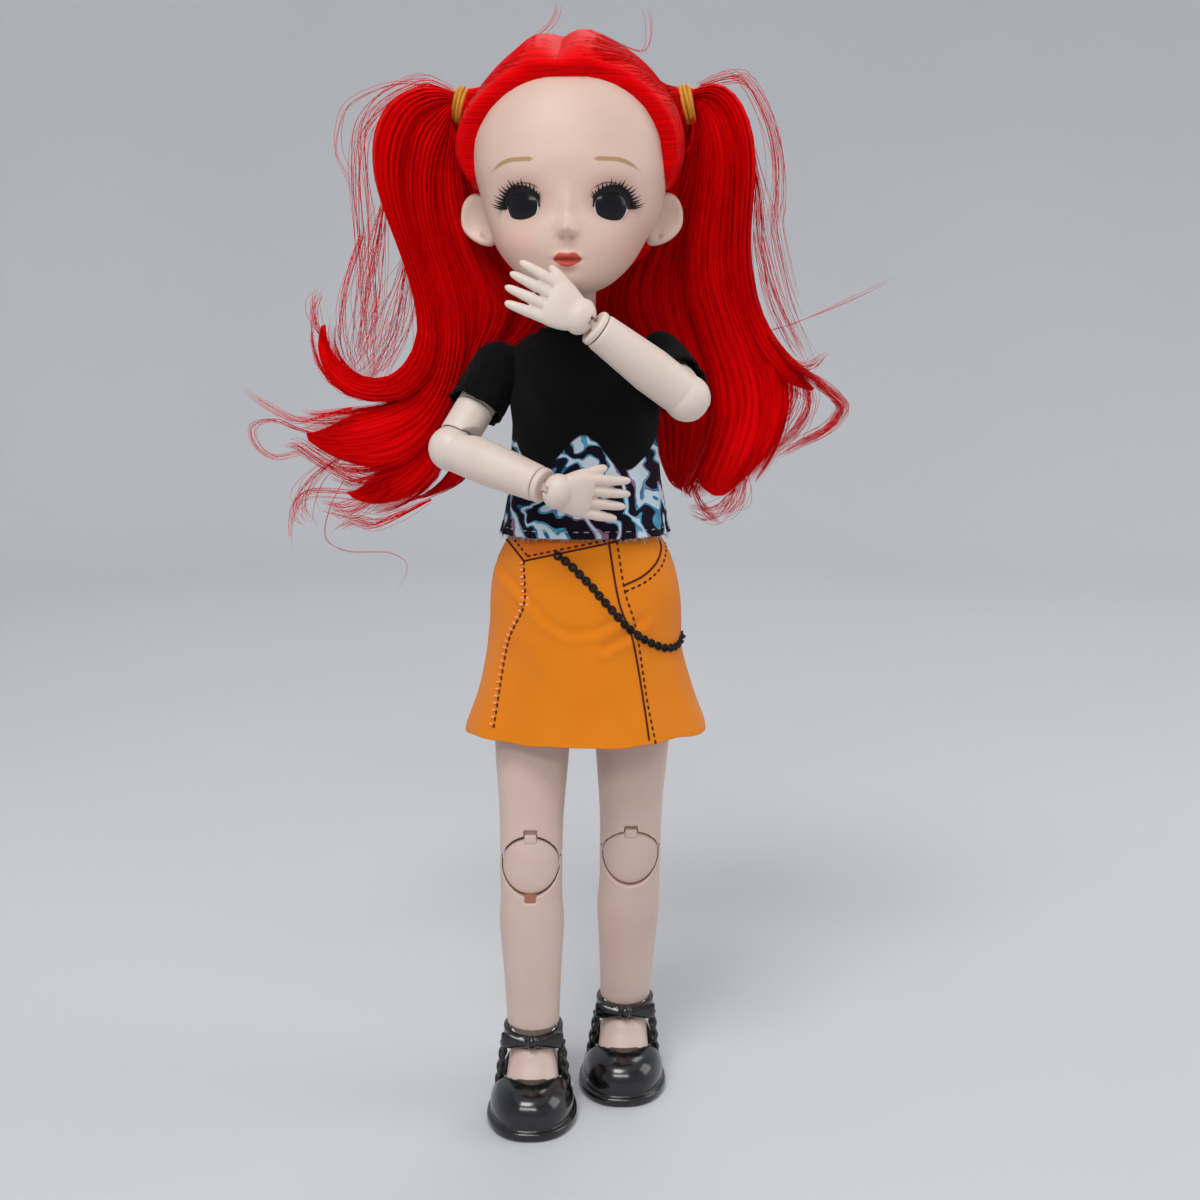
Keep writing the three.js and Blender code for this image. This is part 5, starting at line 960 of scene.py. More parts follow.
def make_arm(side, sign):
    shoulder, elbow, wrist = joint_places(side, "shoulder_swing", "elbow_bend", "wrist_bend")
    upper_way, lower_way = elbow - shoulder, wrist - elbow
    hinge = lower_way.cross(upper_way).normalized()
    cup_frame = limb_frame(shoulder, upper_way, hinge)
    fore_frame = limb_frame(elbow, lower_way, hinge)
    wrist_frame = limb_frame(wrist, lower_way, Vector((0, 0, 1)))
    hand_frame = wrist_frame @ Matrix.Rotation(math.radians(WRIST_BEND[side]), 4, "X")
    lean = Matrix.Rotation(math.radians(HAND_LEAN[side]), 4, "Y")
    hand_frame = Matrix.Translation(wrist) @ lean @ Matrix.Translation(-wrist) @ hand_frame

    top = -ARM_SWIVEL_DROP - GAP
    hollow = ELBOW_RADIUS + GAP
    rim = -UPPER_ARM_LENGTH + math.sqrt(hollow ** 2 - UPPER_ARM_RADIUS ** 2) + 0.4
    shaft = loft([oval(z, UPPER_ARM_RADIUS, UPPER_ARM_RADIUS) for z in (rim, rim + 3, top)])
    cuts = [moved(beyond_plane(-ELBOW_CLOSED_ANGLE / 2), (0, 0, -UPPER_ARM_LENGTH)),
            ball(hollow, (0, 0, -UPPER_ARM_LENGTH), 64)]
    tab = hinge_tab(ELBOW_TAB_WIDTH, ELBOW_TAB_RADIUS, -UPPER_ARM_LENGTH + hollow + 1.5, -UPPER_ARM_LENGTH)
    cup = moulded_after_cut("elbow_cup_" + side, [shaft], cuts, tab, cup_frame, CUP_VOXEL, 4)
    dress(cup, "elbow_" + side, ARM_VINYL, "vinyl_arm", "elbow_cup_" + side)

    end = -FOREARM_LENGTH + WRIST_RADIUS + GAP + WRIST_COLLAR + GAP
    shaft = loft([oval(z, r, r) for z, r in (
        (end, FOREARM_WRIST_RADIUS - 0.3), (end + 0.6, FOREARM_WRIST_RADIUS),
        (-ELBOW_RADIUS * 2, FOREARM_RADIUS), (-1, FOREARM_RADIUS - 0.2))])
    shaft = carved([shaft], [beyond_plane(ELBOW_CLOSED_ANGLE / 2)])
    cuts = [swept_slot(ELBOW_TAB_WIDTH + 2 * GAP, ELBOW_TAB_RADIUS + GAP, ELBOW_RADIUS + 2,
                       ELBOW_CLOSED_ANGLE, 180),
            seam_ring(FOREARM_RADIUS - 0.1, -ELBOW_RADIUS * 0.42, 0.5, 0.55)]
    forearm = moulded("forearm_" + side, [shaft, ball(ELBOW_RADIUS, around=64)], cuts, fore_frame,
                      FOREARM_VOXEL, 2)
    dress(forearm, "forearm_" + side, ARM_VINYL, "vinyl_arm", "forearm_" + side)

    low = WRIST_RADIUS + GAP
    wide = FOREARM_WRIST_RADIUS - 0.1
    collar = loft([oval(z, a, a) for z, a in ((low, wide - 0.5), (low + 0.5, wide),
                                              (low + WRIST_COLLAR, wide))])
    tab = hinge_tab(WRIST_TAB_WIDTH - 0.3, WRIST_TAB_RADIUS, low + 0.5, 0)
    link = moulded("wrist_link_" + side, [collar, *tab], [], wrist_frame, WRIST_VOXEL, 2)
    dress(link, "wrist_" + side, ARM_VINYL, "vinyl_arm", "wrist_link_" + side)

    slot = swept_slot(WRIST_TAB_WIDTH - 0.3 + GAP, WRIST_TAB_RADIUS + 0.15, WRIST_RADIUS + 2,
                      *WRIST_SWEEP[side])
    hand = moulded("hand_" + side, hand_parts(-sign), [slot], hand_frame, HAND_VOXEL, 5)
    dress(hand, "hand_" + side, ARM_VINYL, "vinyl_arm", "hand_" + side)


# Head: rows are shares of the height, half width, front reach and back reach

HEAD_HEIGHT = 65.5
HEAD_HALF_WIDTH = 25.2
HEAD_FRONT = 29
HEAD_BACK = 27
HEAD_TURN = -4
FACE_POWER = 2.35
SKULL_ROWS = [
    (0.0, 0, 0.6, -0.64), (0.004, 0.19, 0.8, -0.42), (0.03, 0.38, 0.92, -0.1), (0.075, 0.53, 0.97, 0.22),
    (0.13, 0.665, 0.99, 0.46), (0.19, 0.77, 1, 0.68), (0.25, 0.845, 1, 0.82), (0.32, 0.925, 0.985, 0.92),
    (0.4, 0.98, 0.98, 0.98), (0.5, 1.025, 0.98, 1), (0.6, 1.03, 0.95, 1), (0.7, 0.98, 0.885, 0.96),
    (0.8, 0.86, 0.77, 0.86), (0.88, 0.7, 0.62, 0.72), (0.94, 0.5, 0.44, 0.52), (0.98, 0.28, 0.25, 0.3),
    (1.0, 0, 0, 0),
]
NOSE_HEIGHT = 16.5
NOSE_DEPTH = 3.2
MOUTH_HEIGHT = 8.5
EYE_HEIGHT = 22.3
EYE_HALF_SPAN = 11.2
EYE_HALF_WIDTH = 5.6
EYE_HALF_HEIGHT = 5.4
EYE_HALF_DEPTH = 2.8
EYE_BULGE = 1.45
EAR_HEIGHT = 20.1
EAR_HALF_HEIGHT = 7.3
EAR_HALF_WIDTH = 5
EAR_REACH = 25.5
EAR_Y = 1
LID_HALF_WIDTH = 4.85
LID_HALF_HEIGHT = 4.7
LID_RADIUS = 0.3
CREASE_SPAN = 11.1
CREASE_HEIGHT = 21.4
CREASE_HALF_WIDTH = 6.2
CREASE_RISE = 6.5
BROW_HEIGHT = 33.7
BROW_BEND = 12.5
BROW_FALL = 0.058
BROW_INNER = 7.4
BROW_OUTER = 21.4
BROW_HALF = 0.7
EYE_MIDDLE = -0.45
BROW_MIDDLE = -1.0
PARTING_X = -2.9
HAIR_THICKNESS = 3.2
TIE_REACH = 31
TIE_HEIGHT = 50.3
TIE_Y = 5.5
TIE_SHIFT = -1.3
TIE_BAND_RADIUS = 4.55
TIE_LEAN = 13
FACE_UV = "face"
NECK_AT = joint_place("head_turn")
CHIN_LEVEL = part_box("head")[0].z
HEAD_FRAME = (Matrix.Translation((NECK_AT.x, NECK_AT.y, CHIN_LEVEL))
              @ Matrix.Rotation(math.radians(HEAD_TURN), 4, "Z") @ Matrix.Scale(MM, 4))

SKULL_TURNS = np.array([math.acos(1 - 2 * row[0]) for row in SKULL_ROWS])
SKULL_SIZES = np.array([row[1:] for row in SKULL_ROWS])


def smooth_table(x, xs, ys):
    """Values of a smooth curve through a table, monotone between its rows."""
    steps = np.diff(xs)[:, None]
    slopes = np.diff(ys, axis=0) / steps
    inner = np.where(slopes[:-1] * slopes[1:] > 0,
                     2 * slopes[:-1] * slopes[1:] / (slopes[:-1] + slopes[1:] + 1e-12), 0)
    tangents = np.concatenate([slopes[:1], inner, slopes[-1:]])
    i = np.clip(np.searchsorted(xs, x) - 1, 0, len(xs) - 2)
    h = steps[i]
    t = ((x - xs[i]) / h[:, 0])[:, None]
    return ((2 * t ** 3 - 3 * t ** 2 + 1) * ys[i] + (t ** 3 - 2 * t ** 2 + t) * h * tangents[i]
            + (3 * t ** 2 - 2 * t ** 3) * ys[i + 1] + (t ** 3 - t ** 2) * h * tangents[i + 1])


def skull_at(z):
    """Half width, front and back reach in millimetres at heights above the chin."""
    share = np.clip(np.atleast_1d(z) / HEAD_HEIGHT, 0, 1)
    sizes = smooth_table(np.arccos(1 - 2 * share), SKULL_TURNS, SKULL_SIZES)
    return sizes * (HEAD_HALF_WIDTH, HEAD_FRONT, HEAD_BACK)


def bump(x, z, at_x, at_z, wide, tall):
    return np.exp(-((x - at_x) / wide) ** 2 - ((z - at_z) / tall) ** 2)


def tie_place(sign):
    return (sign * TIE_REACH + TIE_SHIFT, TIE_Y, TIE_HEIGHT + 0.6)


def skull_shift(z):
    """How far the middle of a level lies to the right: the face leans a little over its jaw."""
    z = np.asarray(z, float)
    return -0.7 - 0.8 * np.exp(-((z - 38) / 10) ** 2) - 0.8 * np.exp(-((z - 13) / 6) ** 2)


def face_relief(x, z):
    """How far the face stands out of the plain skull."""
    side, eye_side = abs(x), abs(x - EYE_MIDDLE)
    lips = (1.0 * bump(x, z, 0, MOUTH_HEIGHT + 1.1, 3.0, 0.95)
            + 1.15 * bump(x, z, 0, MOUTH_HEIGHT - 1.2, 2.4, 1.0))
    parting = -0.45 * bump(x, z, 0, MOUTH_HEIGHT, 3.2, 0.4)
    nose = (NOSE_DEPTH * bump(x, z, 0, NOSE_HEIGHT, 2.0, 2.4)
            + 0.9 * bump(x, z, 0, NOSE_HEIGHT + 5, 1.9, 4.5)
            + 0.7 * bump(side, z, 1.9, NOSE_HEIGHT - 0.9, 1.0, 1.1)
            - 0.55 * bump(side, z, 1.1, NOSE_HEIGHT - 2.5, 0.6, 0.5))
    sockets = -1.7 * bump(eye_side, z, EYE_HALF_SPAN, EYE_HEIGHT, 6.2, 5.0)
    brows = 0.35 * bump(eye_side, z, EYE_HALF_SPAN + 1, EYE_HEIGHT + 9, 7, 2.6)
    cheeks = 0.6 * bump(side, z, EYE_HALF_SPAN + 1.5, NOSE_HEIGHT - 4, 6, 4)
    cheeks = cheeks + 0.9 * bump(x, z, 0, 2.4, 4, 2.4)
    philtrum = -0.25 * bump(x, z, 0, MOUTH_HEIGHT + 3.8, 0.8, 1.2)
    return lips + parting + nose + sockets + brows + cheeks + philtrum


def face_y(x, z):
    half, front, back = skull_at(z).T
    across = np.clip(abs(x - skull_shift(z)) / half, 0, 1)
    return (back - front) / 2 - (front + back) / 2 * (1 - across ** FACE_POWER) ** (1 / FACE_POWER)


def skull_rings(levels, sides, relief):
    """Rings of the skull, with or without the face."""
    turn = angles(sides)
    from_front = turn - 0.42 * np.sin(turn)
    s, c = np.sin(from_front), -np.cos(from_front)
    rings = []
    for z, (half, front, back) in zip(levels, skull_at(np.array(levels))):
        x = half * np.sign(s) * abs(s) ** (2 / FACE_POWER) + skull_shift(z)
        y = (back - front) / 2 + (front + back) / 2 * np.sign(c) * abs(c) ** (2 / FACE_POWER)
        if relief:
            y = y - np.where(c < 0, face_relief(x, z) * np.minimum(1, -c * 2), 0)
        rings.append(np.stack([x, y, 0 * x + z], -1))
    return np.array(rings)


def eye_frame(sign):
    """The frame of an eye on the face, its -Y axis square to the skin, in the head's frame."""
    def skin(x, z):
        x = np.array([float(x)])
        return Vector((x[0], float(face_y(x, z)[0] - face_relief(x, z)[0]), z))
    x, z, step = sign * EYE_HALF_SPAN + EYE_MIDDLE, EYE_HEIGHT, 3.0
    across = (skin(x + step, z) - skin(x - step, z)).normalized()
    rise = (skin(x, z + step) - skin(x, z - step)).normalized()
    inward = rise.cross(across).normalized()
    if inward.y < 0:
        inward = -inward
    up = across.cross(inward).normalized()
    if up.z < 0:
        up = -up
    turn = Matrix((across, inward, up)).transposed().to_4x4()
    return Matrix.Translation(skin(x, z)) @ turn


def placed(shape, place):
    """A shape moved and turned by a matrix."""
    points = np.asarray(shape[0]) @ np.array(place.to_3x3()).T + np.array(place.translation)
    return points, shape[1]


def eye_shape():
    return egg((EYE_HALF_WIDTH, EYE_HALF_DEPTH, EYE_HALF_HEIGHT), (0, EYE_HALF_DEPTH - EYE_BULGE, 0), 64,
               40)


def lid_shape(sign):
    """The soft rim of skin round an eye, heavier above."""
    turn = angles(72)
    section = angles(12)
    rings = []
    for angle in turn:
        out = np.array((math.cos(angle), 0, math.sin(angle)))
        centre = np.array((LID_HALF_WIDTH * out[0], 0, LID_HALF_HEIGHT * out[2]))
        heavy = LID_RADIUS * (1.2 if out[2] > 0 else 0.9)
        rings.append([centre + heavy * (math.cos(a) * out + math.sin(a) * np.array((0, 1.0, 0)))
                      for a in section])
    return placed(ring_tube(rings), eye_frame(sign))


def ear_shape(sign):
    """A shell with a rolled rim, a soft bowl, a lobe that runs into the jaw, and its pierced hole."""
    turn = angles(96)
    lobe = np.where(np.sin(turn) < 0, 1 - 0.12 * np.sin(turn) ** 2, 1)
    rows = [(0.04, -0.15), (0.2, -0.1), (0.35, 0.05), (0.5, 0.3), (0.62, 0.65), (0.74, 1.0), (0.84, 1.15),
            (0.93, 1.0),
            (0.99, 0.5), (1.01, -0.2), (0.97, -1.0), (0.8, -1.8), (0.5, -2.3), (0.04, -2.4)]
    rings = []
    for reach, stand in rows:
        wide, tall = EAR_HALF_WIDTH * reach * lobe, EAR_HALF_HEIGHT * reach
        x, z = sign * wide * np.cos(turn), tall * np.sin(turn)
        lobe_fill = 0.55 * np.exp(-((z + 5.2) / 2.4) ** 2) * (1 - reach)
        hole = np.exp(-((x - sign * 0.2) ** 2 + (z + 4.6) ** 2) / 0.3) * (1.3 if stand > -0.2 else 0)
        inward = sign * 2.4 * (np.minimum(z, 0) / EAR_HALF_HEIGHT) ** 2
        rings.append(np.stack([x - inward, 0 * turn - stand - lobe_fill + hole, z], -1))
    shape = turned_about(loft(rings), "Y", sign * 9)
    place = (sign * EAR_REACH - 1.6, EAR_Y, EAR_HEIGHT)
    return moved(turned_about(shape, "Z", sign * 16), place)


def painted_face(g, base):
    """Brows, lids, lips and blush; the UV map holds the head's X and Z in millimetres over 100."""
    uv = g.node("ShaderNodeSeparateXYZ", {0: g.node("ShaderNodeUVMap", uv_map=FACE_UV).outputs[0]})
    x, z = g.times(uv.outputs[0], 100.0), g.times(uv.outputs[1], 100.0)
    side = g.size(x)

    def band(offset, half, soft):
        return g.left_of(g.ramp(g.size(offset), g.minus(half, soft), half))

    def spot(at_x, at_z, wide, tall, low, high, across=side):
        a = g.over(g.minus(across, at_x), wide)
        b = g.over(g.minus(z, at_z), tall)
        far = g.math("SQRT", g.plus(g.times(a, a), g.times(b, b)))
        return g.left_of(g.ramp(far, low, high))

    blush = spot(14.5, 12.5, 8.0, 6.0, 0.1, 1.3)
    result = g.mix(g.times(blush, 0.3), base, colour(226, 160, 142))
    shade = spot(EYE_HALF_SPAN + 0.4, EYE_HEIGHT + 1.6, 8.2, 6.8, 0.6, 1.15)
    result = g.mix(g.times(shade, 0.42), result, colour(198, 146, 138))
    # Darker in the nostrils, over the nostril hollows of the relief: painted shade.
    nostril_shade = spot(1.3, NOSE_HEIGHT - 2.6, 1.3, 0.9, 0.1, 1.0)
    result = g.mix(g.times(nostril_shade, 0.45), result, colour(186, 128, 108))

    # Brow: level from the inner end, then falling towards the outer end
    side = g.size(g.minus(x, BROW_MIDDLE))
    fall = g.math("MAXIMUM", g.minus(side, BROW_BEND), 0.0)
    line = g.minus(BROW_HEIGHT, g.times(g.times(fall, fall), BROW_FALL))
    ends = g.times(g.ramp(side, BROW_INNER - 0.8, BROW_INNER + 1.6),
                  g.left_of(g.ramp(side, BROW_OUTER - 5, BROW_OUTER)))
    brow = band(g.minus(z, line), g.plus(g.times(ends, BROW_HALF), 0.02), 0.3)
    hairs = g.noise(g.node("ShaderNodeCombineXYZ", {0: g.times(side, 1.2), 1: z}).outputs[0], 3.5, 3.0)
    brow = g.times(g.times(brow, ends), g.ramp(hairs, 0.2, 0.5))
    result = g.mix(g.times(brow, 0.85), result, colour(158, 122, 66))

    # Crease above each eye
    side = g.size(g.minus(x, EYE_MIDDLE))
    a = g.over(g.minus(side, CREASE_SPAN), CREASE_HALF_WIDTH)
    b = g.over(g.minus(z, CREASE_HEIGHT), CREASE_RISE)
    far = g.math("SQRT", g.plus(g.times(a, a), g.times(b, b)))
    arc = g.times(band(g.minus(far, 1.0), 0.045, 0.03), g.ramp(b, 0.72, 0.86))
    result = g.mix(g.times(arc, 0.8), result, colour(96, 36, 66))

    # Lips: nearly level above, one round below, darker where they meet
    side = g.size(x)
    slope = g.math("MAXIMUM", g.minus(side, 2.2), 0.0)
    dip = g.times(g.left_of(g.ramp(side, 0.0, 1.2)), 0.22)
    peak = g.minus(g.minus(2.0, dip), g.times(slope, 0.95))
    upper = g.minus(g.minus(z, MOUTH_HEIGHT), peak)
    under = g.minus(g.times(g.times(side, side), 0.13), 1.85)
    lower = g.minus(under, g.minus(z, MOUTH_HEIGHT))
    inside = g.times(g.left_of(g.ramp(upper, -0.4, 0.15)),
                    g.left_of(g.ramp(lower, -0.4, 0.15)))
    inside = g.times(inside, g.left_of(g.ramp(side, 3.2, 4.1)))
    result = g.mix(g.times(inside, 0.94), result, colour(188, 46, 26))
    meet = g.times(inside, g.left_of(g.ramp(
        g.size(g.minus(z, MOUTH_HEIGHT)), 0.05, 0.8)))
    return g.mix(g.times(meet, 0.55), result, colour(126, 14, 8))


def face_material():
    made, g, shader = new_material("face_vinyl", **SKIN_VALUES)
    add_mottle(g, shader, colour(214, 186, 170), colour(208, 174, 156), 0.4, 0.46,
               paint=lambda c: painted_face(g, c))
    return made


def set_uv(made, name, values):
    """Gives each corner of a mesh the value of its point."""
    layer = made.data.uv_layers.new(name=name)
    corners = np.zeros(len(made.data.loops), int)
    made.data.loops.foreach_get("vertex_index", corners)
    layer.data.foreach_set("uv", np.asarray(values, np.float32)[corners].ravel())


def make_head():
    fine = np.linspace(4, 30, 110)
    levels = np.concatenate([HEAD_HEIGHT * (1 - np.cos(np.linspace(0.02, 0.47, 14))) / 2, fine,
                             HEAD_HEIGHT * (1 - np.cos(np.linspace(1.5, math.pi - 0.02, 60))) / 2])
    levels = np.unique(np.round(levels, 3))
    rings = skull_rings(levels, 220, True)
    points, faces = loft(rings)
    shells = [lid_shape(sign) for _, sign in SIDES] + [ear_shape(sign) for _, sign in SIDES]
    skull = outward(mesh_object("head", joined([(points, faces), *shells])))
    spots = np.array([v.co for v in skull.data.vertices])
    set_uv(skull, FACE_UV, np.stack([spots[:, 0], np.where(spots[:, 1] < 4, spots[:, 2], -50)], -1) / 100)
    tree = ray_tree(skull)
    skull.data.transform(HEAD_FRAME)
    smooth_shaded(skull)
    dress(skull, "head", face_material(), "vinyl_face", "head")

    iris, g, shader = new_material("eye_gloss", Coat_Weight=0.6, Coat_Roughness=0.02, Coat_IOR=1.35,
                                   Roughness=0.3,
                                   Specular_IOR_Level=0.15, IOR=1.4)
    uv = g.node("ShaderNodeSeparateXYZ", {0: g.node("ShaderNodeUVMap", uv_map=FACE_UV).outputs[0]})
    far = g.math("SQRT", g.plus(g.math("POWER", uv.outputs[0], 2.0), g.math("POWER", uv.outputs[1], 2.0)))
    streak = g.noise(g.spot(), 900.0, 2.0)
    dark = g.mix(streak, colour(5, 5, 7), colour(15, 14, 17))
    rim = g.ramp(far, 0.0436, 0.0448)
    g.link(g.mix(rim, dark, colour(214, 206, 202)), shader, "Base Color")
    for side, sign in SIDES:
        shape = eye_shape()
        eye = mesh_object("eye_" + side, shape)
        set_uv(eye, FACE_UV, np.asarray(shape[0])[:, (0, 2)] / 100)
        place = eye_frame(sign)
        eye_tree = BVHTree.FromPolygons([place @ v.co for v in eye.data.vertices], shape_of(eye)[1])
        eye.data.transform(HEAD_FRAME @ place)
        outward(eye)
        smooth_shaded(eye)
        dress(eye, "head", iris, "eye_gloss", "eye_" + side)
        make_lashes(side, sign, place, (tree, eye_tree))

    neck_frame = Matrix.Translation(joint_place("neck_nod")) @ Matrix.Scale(MM, 4)
    profile = [(0.01, 0), (5.4, 0), (5.3, 4), (5.1, 11), (5.3, 20), (5.4, 22.5), (6.3, 23.7), (6.3, 27.5),
               (4.4, 29.5), (0.01, 29.5)]
    neck = moulded("neck", [turned(profile), ball(6.2)], [], neck_frame, NECK_VOXEL, 3)
    # The neck is the face's vinyl made darker: painted shade under the chin.
    skin = plastic("neck_vinyl_shaded", colour(206, 174, 158), colour(200, 164, 148), 0.42, **SKIN_VALUES)
    dress(neck, "neck", skin, "vinyl_face", "neck")


# Lashes: the line round the top of an eye, in millimetres outwards and up from its middle;
# each pair is a place on the lower edge and one on the upper edge

LASH_EDGES = [
    ((-4.7, -0.6), (-5.1, -0.3)), ((-4.3, 1.1), (-4.9, 1.6)), ((-3.3, 2.3), (-4.0, 3.3)),
    ((-1.8, 2.9), (-2.0, 4.6)),
    ((0.0, 3.0), (0.2, 5.1)), ((1.9, 2.7), (2.6, 4.8)), ((3.3, 1.9), (4.7, 3.7)), ((4.2, 0.8), (5.9, 2.1)),
    ((4.5, -0.2), (6.6, 0.5)), ((4.7, -0.9), (6.9, -0.7)),
]


LASH_COUNT = 19
LASH_RADIUS = 0.36
LASH_STEPS = 8
LASH_BLACK = speckled("lash_black", colour(8, 5, 6), colour(22, 14, 15), 1400.0, 0.55)


def on_skin(place, trees, out, up, sign, lift):
    """The place on the face or the eye straight behind a point of an eye's frame."""
    origin = place @ Vector((sign * out, -8, up))
    way = (place.to_3x3() @ Vector((0, 1, 0))).normalized()
    hits = [tree.ray_cast(origin, way) for tree in trees]
    near = min((hit[3] for hit in hits if hit[0] is not None), default=8)
    return np.array(origin + way * (near - lift))


def make_lashes(side, sign, place, trees):
    """The painted-looking lash line as a thin solid, and the spikes that stand out of it."""
    steps = 60
    low = eased([edge[0] for edge in LASH_EDGES], steps)
    high = eased([edge[1] for edge in LASH_EDGES], steps)
    rings = []
    for a, b in zip(low, high):
        ring = []
        for share, lift in ((0, 0.02), (0.15, 0.2), (0.5, 0.28), (0.85, 0.22), (1, 0.02), (0.5, -0.25)):
            spot = a * (1 - share) + b * share
            ring.append(on_skin(place, trees, spot[0], spot[1], sign, lift))
        rings.append(ring)
    line = outward(mesh_object("lash_line_" + side, loft(rings), HEAD_FRAME))
    dress(smooth_shaded(line), "head", LASH_BLACK, "eye_gloss")

    paths, base = [], np.array(place.to_3x3())
    turn, centre = np.array(HEAD_FRAME.to_3x3()), np.array(HEAD_FRAME.translation)
    for k, share in enumerate(np.linspace(0.12, 0.995, LASH_COUNT)):
        i = share * (steps - 1)
        root = high[int(i)] * 0.75 + low[int(i)] * 0.25
        out = root / np.linalg.norm(root)
        lean = np.array((out[0] + 0.5 * share, out[1] + 0.15))
        lean /= np.linalg.norm(lean)
        length = 1.25 + 1.5 * share ** 2 + 0.4 * math.sin(k * 2.3)
        start = on_skin(place, trees, root[0], root[1], sign, 0.15)
        path = []
        for t in np.linspace(0, 1, LASH_STEPS):
            reach = length * t
            rise = 0.22 * length * t * t
            path.append(start + base @ np.array((sign * lean[0] * reach, -0.9 * reach * (1 - 0.45 * t),
                                                 lean[1] * reach + rise)))
        paths.append(path)
    paths = np.array(paths) @ turn.T + centre
    width = np.broadcast_to(np.linspace(1, 0.06, LASH_STEPS), (len(paths), LASH_STEPS))
    made = fibres("lashes_" + side, paths, width, np.zeros(len(paths)), LASH_RADIUS * MM, LASH_BLACK, 6)
    dress(made, "head", LASH_BLACK, "eye_gloss")


# Cloth


def shell_of(outer, inner):
    """A closed wall between two stacks of rings that run from top to bottom."""
    return ring_tube(np.concatenate([outer, inner[::-1]]))


def cloth_material(name, base, shade, pitch, slant, depth, paint=None, **values):
    """Woven or knitted cloth: threads run round the figure and down it."""
    made, g, shader = new_material(name, **{"Roughness": 0.85, "Sheen_Weight": 0.1, "Sheen_Roughness": 0.5,
                                            "Specular_IOR_Level": 0.25, **values})
    spot = g.spot()
    parts = g.node("ShaderNodeSeparateXYZ", {0: spot})
    turn = g.math("ARCTAN2", parts.outputs[0], g.times(parts.outputs[1], -1.0))
    flat = g.node("ShaderNodeCombineXYZ", {0: g.times(turn, 24.0),
                                           1: g.times(parts.outputs[2], 1 / MM)})
    woven = add_weave(g, shader, flat.outputs[0], pitch, slant, depth)
    tone = g.times(g.ramp(woven.outputs["Height"], 0.1, 0.8), 0.6)
    result = g.mix(g.plus(tone, g.times(woven.outputs["Fuzz"], 0.4)), shade, base)
    if paint:
        result = paint(g, spot, parts, result)
    g.link(result, shader, "Base Color")
    return made


SHIRT_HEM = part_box("t_shirt")[0].z / MM
SKIRT_LOW, SKIRT_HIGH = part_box("skirt")
SKIRT_HEM = SKIRT_LOW.z / MM
BODY_X = (SKIRT_LOW.x + SKIRT_HIGH.x) / 2 / MM
BODY_Y = (SKIRT_LOW.y + SKIRT_HIGH.y) / 2 / MM
CLOTH_WALL = 0.7
COLLAR_RADIUS = 0.75
ARMHOLE_RADIUS = 7.4
SHIRT_SIDES = 190
SHIRT_LEVELS = 80
SKIRT_SIDES = 240
SKIRT_LEVELS = 90
SHIRT_THREADS = 460
SHIRT_THREAD_LENGTH = 1.1
SLEEVE_THREADS = 90
SLEEVE_THREAD_LENGTH = 0.8
THREAD_RADIUS = 0.05

SHIRT_ROWS = [
    (0, 23.7, 17.2, 0), (3, 22.8, 16.8, 0), (8, 21.9, 16.2, 0), (16, 21.0, 15.5, 0), (25, 20.3, 15.3, -0.2),
    (34, 20.4, 16.0, -1), (42, 20.6, 14.6, -0.6), (49.6, 20.2, 12.4, -0.2), (53.4, 16.8, 10.6, 0),
    (55.6, 11.9, 9.4, 0),
]


def shirt_rings(inset, extra):
    turn = angles(SHIRT_SIDES)
    c, s = np.cos(turn), np.sin(turn)
    rows = eased(SHIRT_ROWS, SHIRT_LEVELS)
    rows[0, 0] -= extra
    rows[-1, 0] += extra
    rings = []
    for z, a, b, y in rows:
        low = math.exp(-((z - 8) / 11) ** 2)
        fold = 0.55 * low * np.sin(5 * turn + z * 0.1) + 0.4 * low * np.sin(11 * turn - z * 0.16 + 1)
        fold = fold + 0.45 * math.exp(-((z - 36) / 9) ** 2) * np.sin(7 * turn + z * 0.25)
        if z < 3:
            fold = fold + 0.25 * np.sin(19 * turn)
        x = (a - inset + fold) * np.sign(c) * abs(c) ** 0.93
        depth = (b - inset + fold) * np.sign(s) * abs(s) ** 0.93
        rings.append(np.stack([x + BODY_X, depth + y + BODY_Y, 0 * x + z + SHIRT_HEM], -1))
    return np.array(rings)


def marbled_band(g, spot, parts, cloth):
    """A band of marbled waves round the lower half of the shirt."""
    x, z = (g.times(parts.outputs[i], 1 / MM) for i in (0, 2))
    swirl = g.node("ShaderNodeTexNoise", {"Vector": spot, "Scale": 95.0, "Detail": 1.5, "Distortion": 0.6})
    pushed = g.node("ShaderNodeVectorMath", {0: swirl.outputs[1], 1: (0.024, 0.024, 0.03)},
                    operation="MULTIPLY")
    there = g.node("ShaderNodeVectorMath", {0: spot, 1: pushed.outputs[0]}, operation="ADD")
    turned_spot = g.node("ShaderNodeMapping", {"Vector": there.outputs[0], "Rotation": (0.0, 0.6, 0.0)})
    veins = g.node("ShaderNodeTexWave", {"Vector": turned_spot.outputs[0], "Scale": 42.0, "Distortion": 3.0,
                                         "Detail": 1.0})
    value = veins.outputs[1]
    tint = g.noise(there.outputs[0], 120.0, 1.0)
    blue = g.mix(g.ramp(tint, 0.38, 0.6), colour(4, 96, 140), colour(84, 160, 190))
    warm = g.mix(g.ramp(g.noise(spot, 70.0, 1.0), 0.5, 0.62), blue, colour(150, 106, 140))
    ink = g.mix(g.ramp(value, 0.5, 0.6), colour(20, 9, 26), warm)
    light = g.mix(g.ramp(value, 0.84, 0.9), ink, colour(200, 216, 226))
    hump = g.times(g.math("COSINE", g.times(g.minus(x, BODY_X), 0.27)), 5.0)
    edge = g.plus(SHIRT_HEM + 20.0, g.plus(hump, g.times(g.noise(spot, 60.0, 2.0), 7.0)))
    inside = g.left_of(g.ramp(g.minus(z, edge), -0.4, 0.4))
    return g.mix(inside, cloth, light)


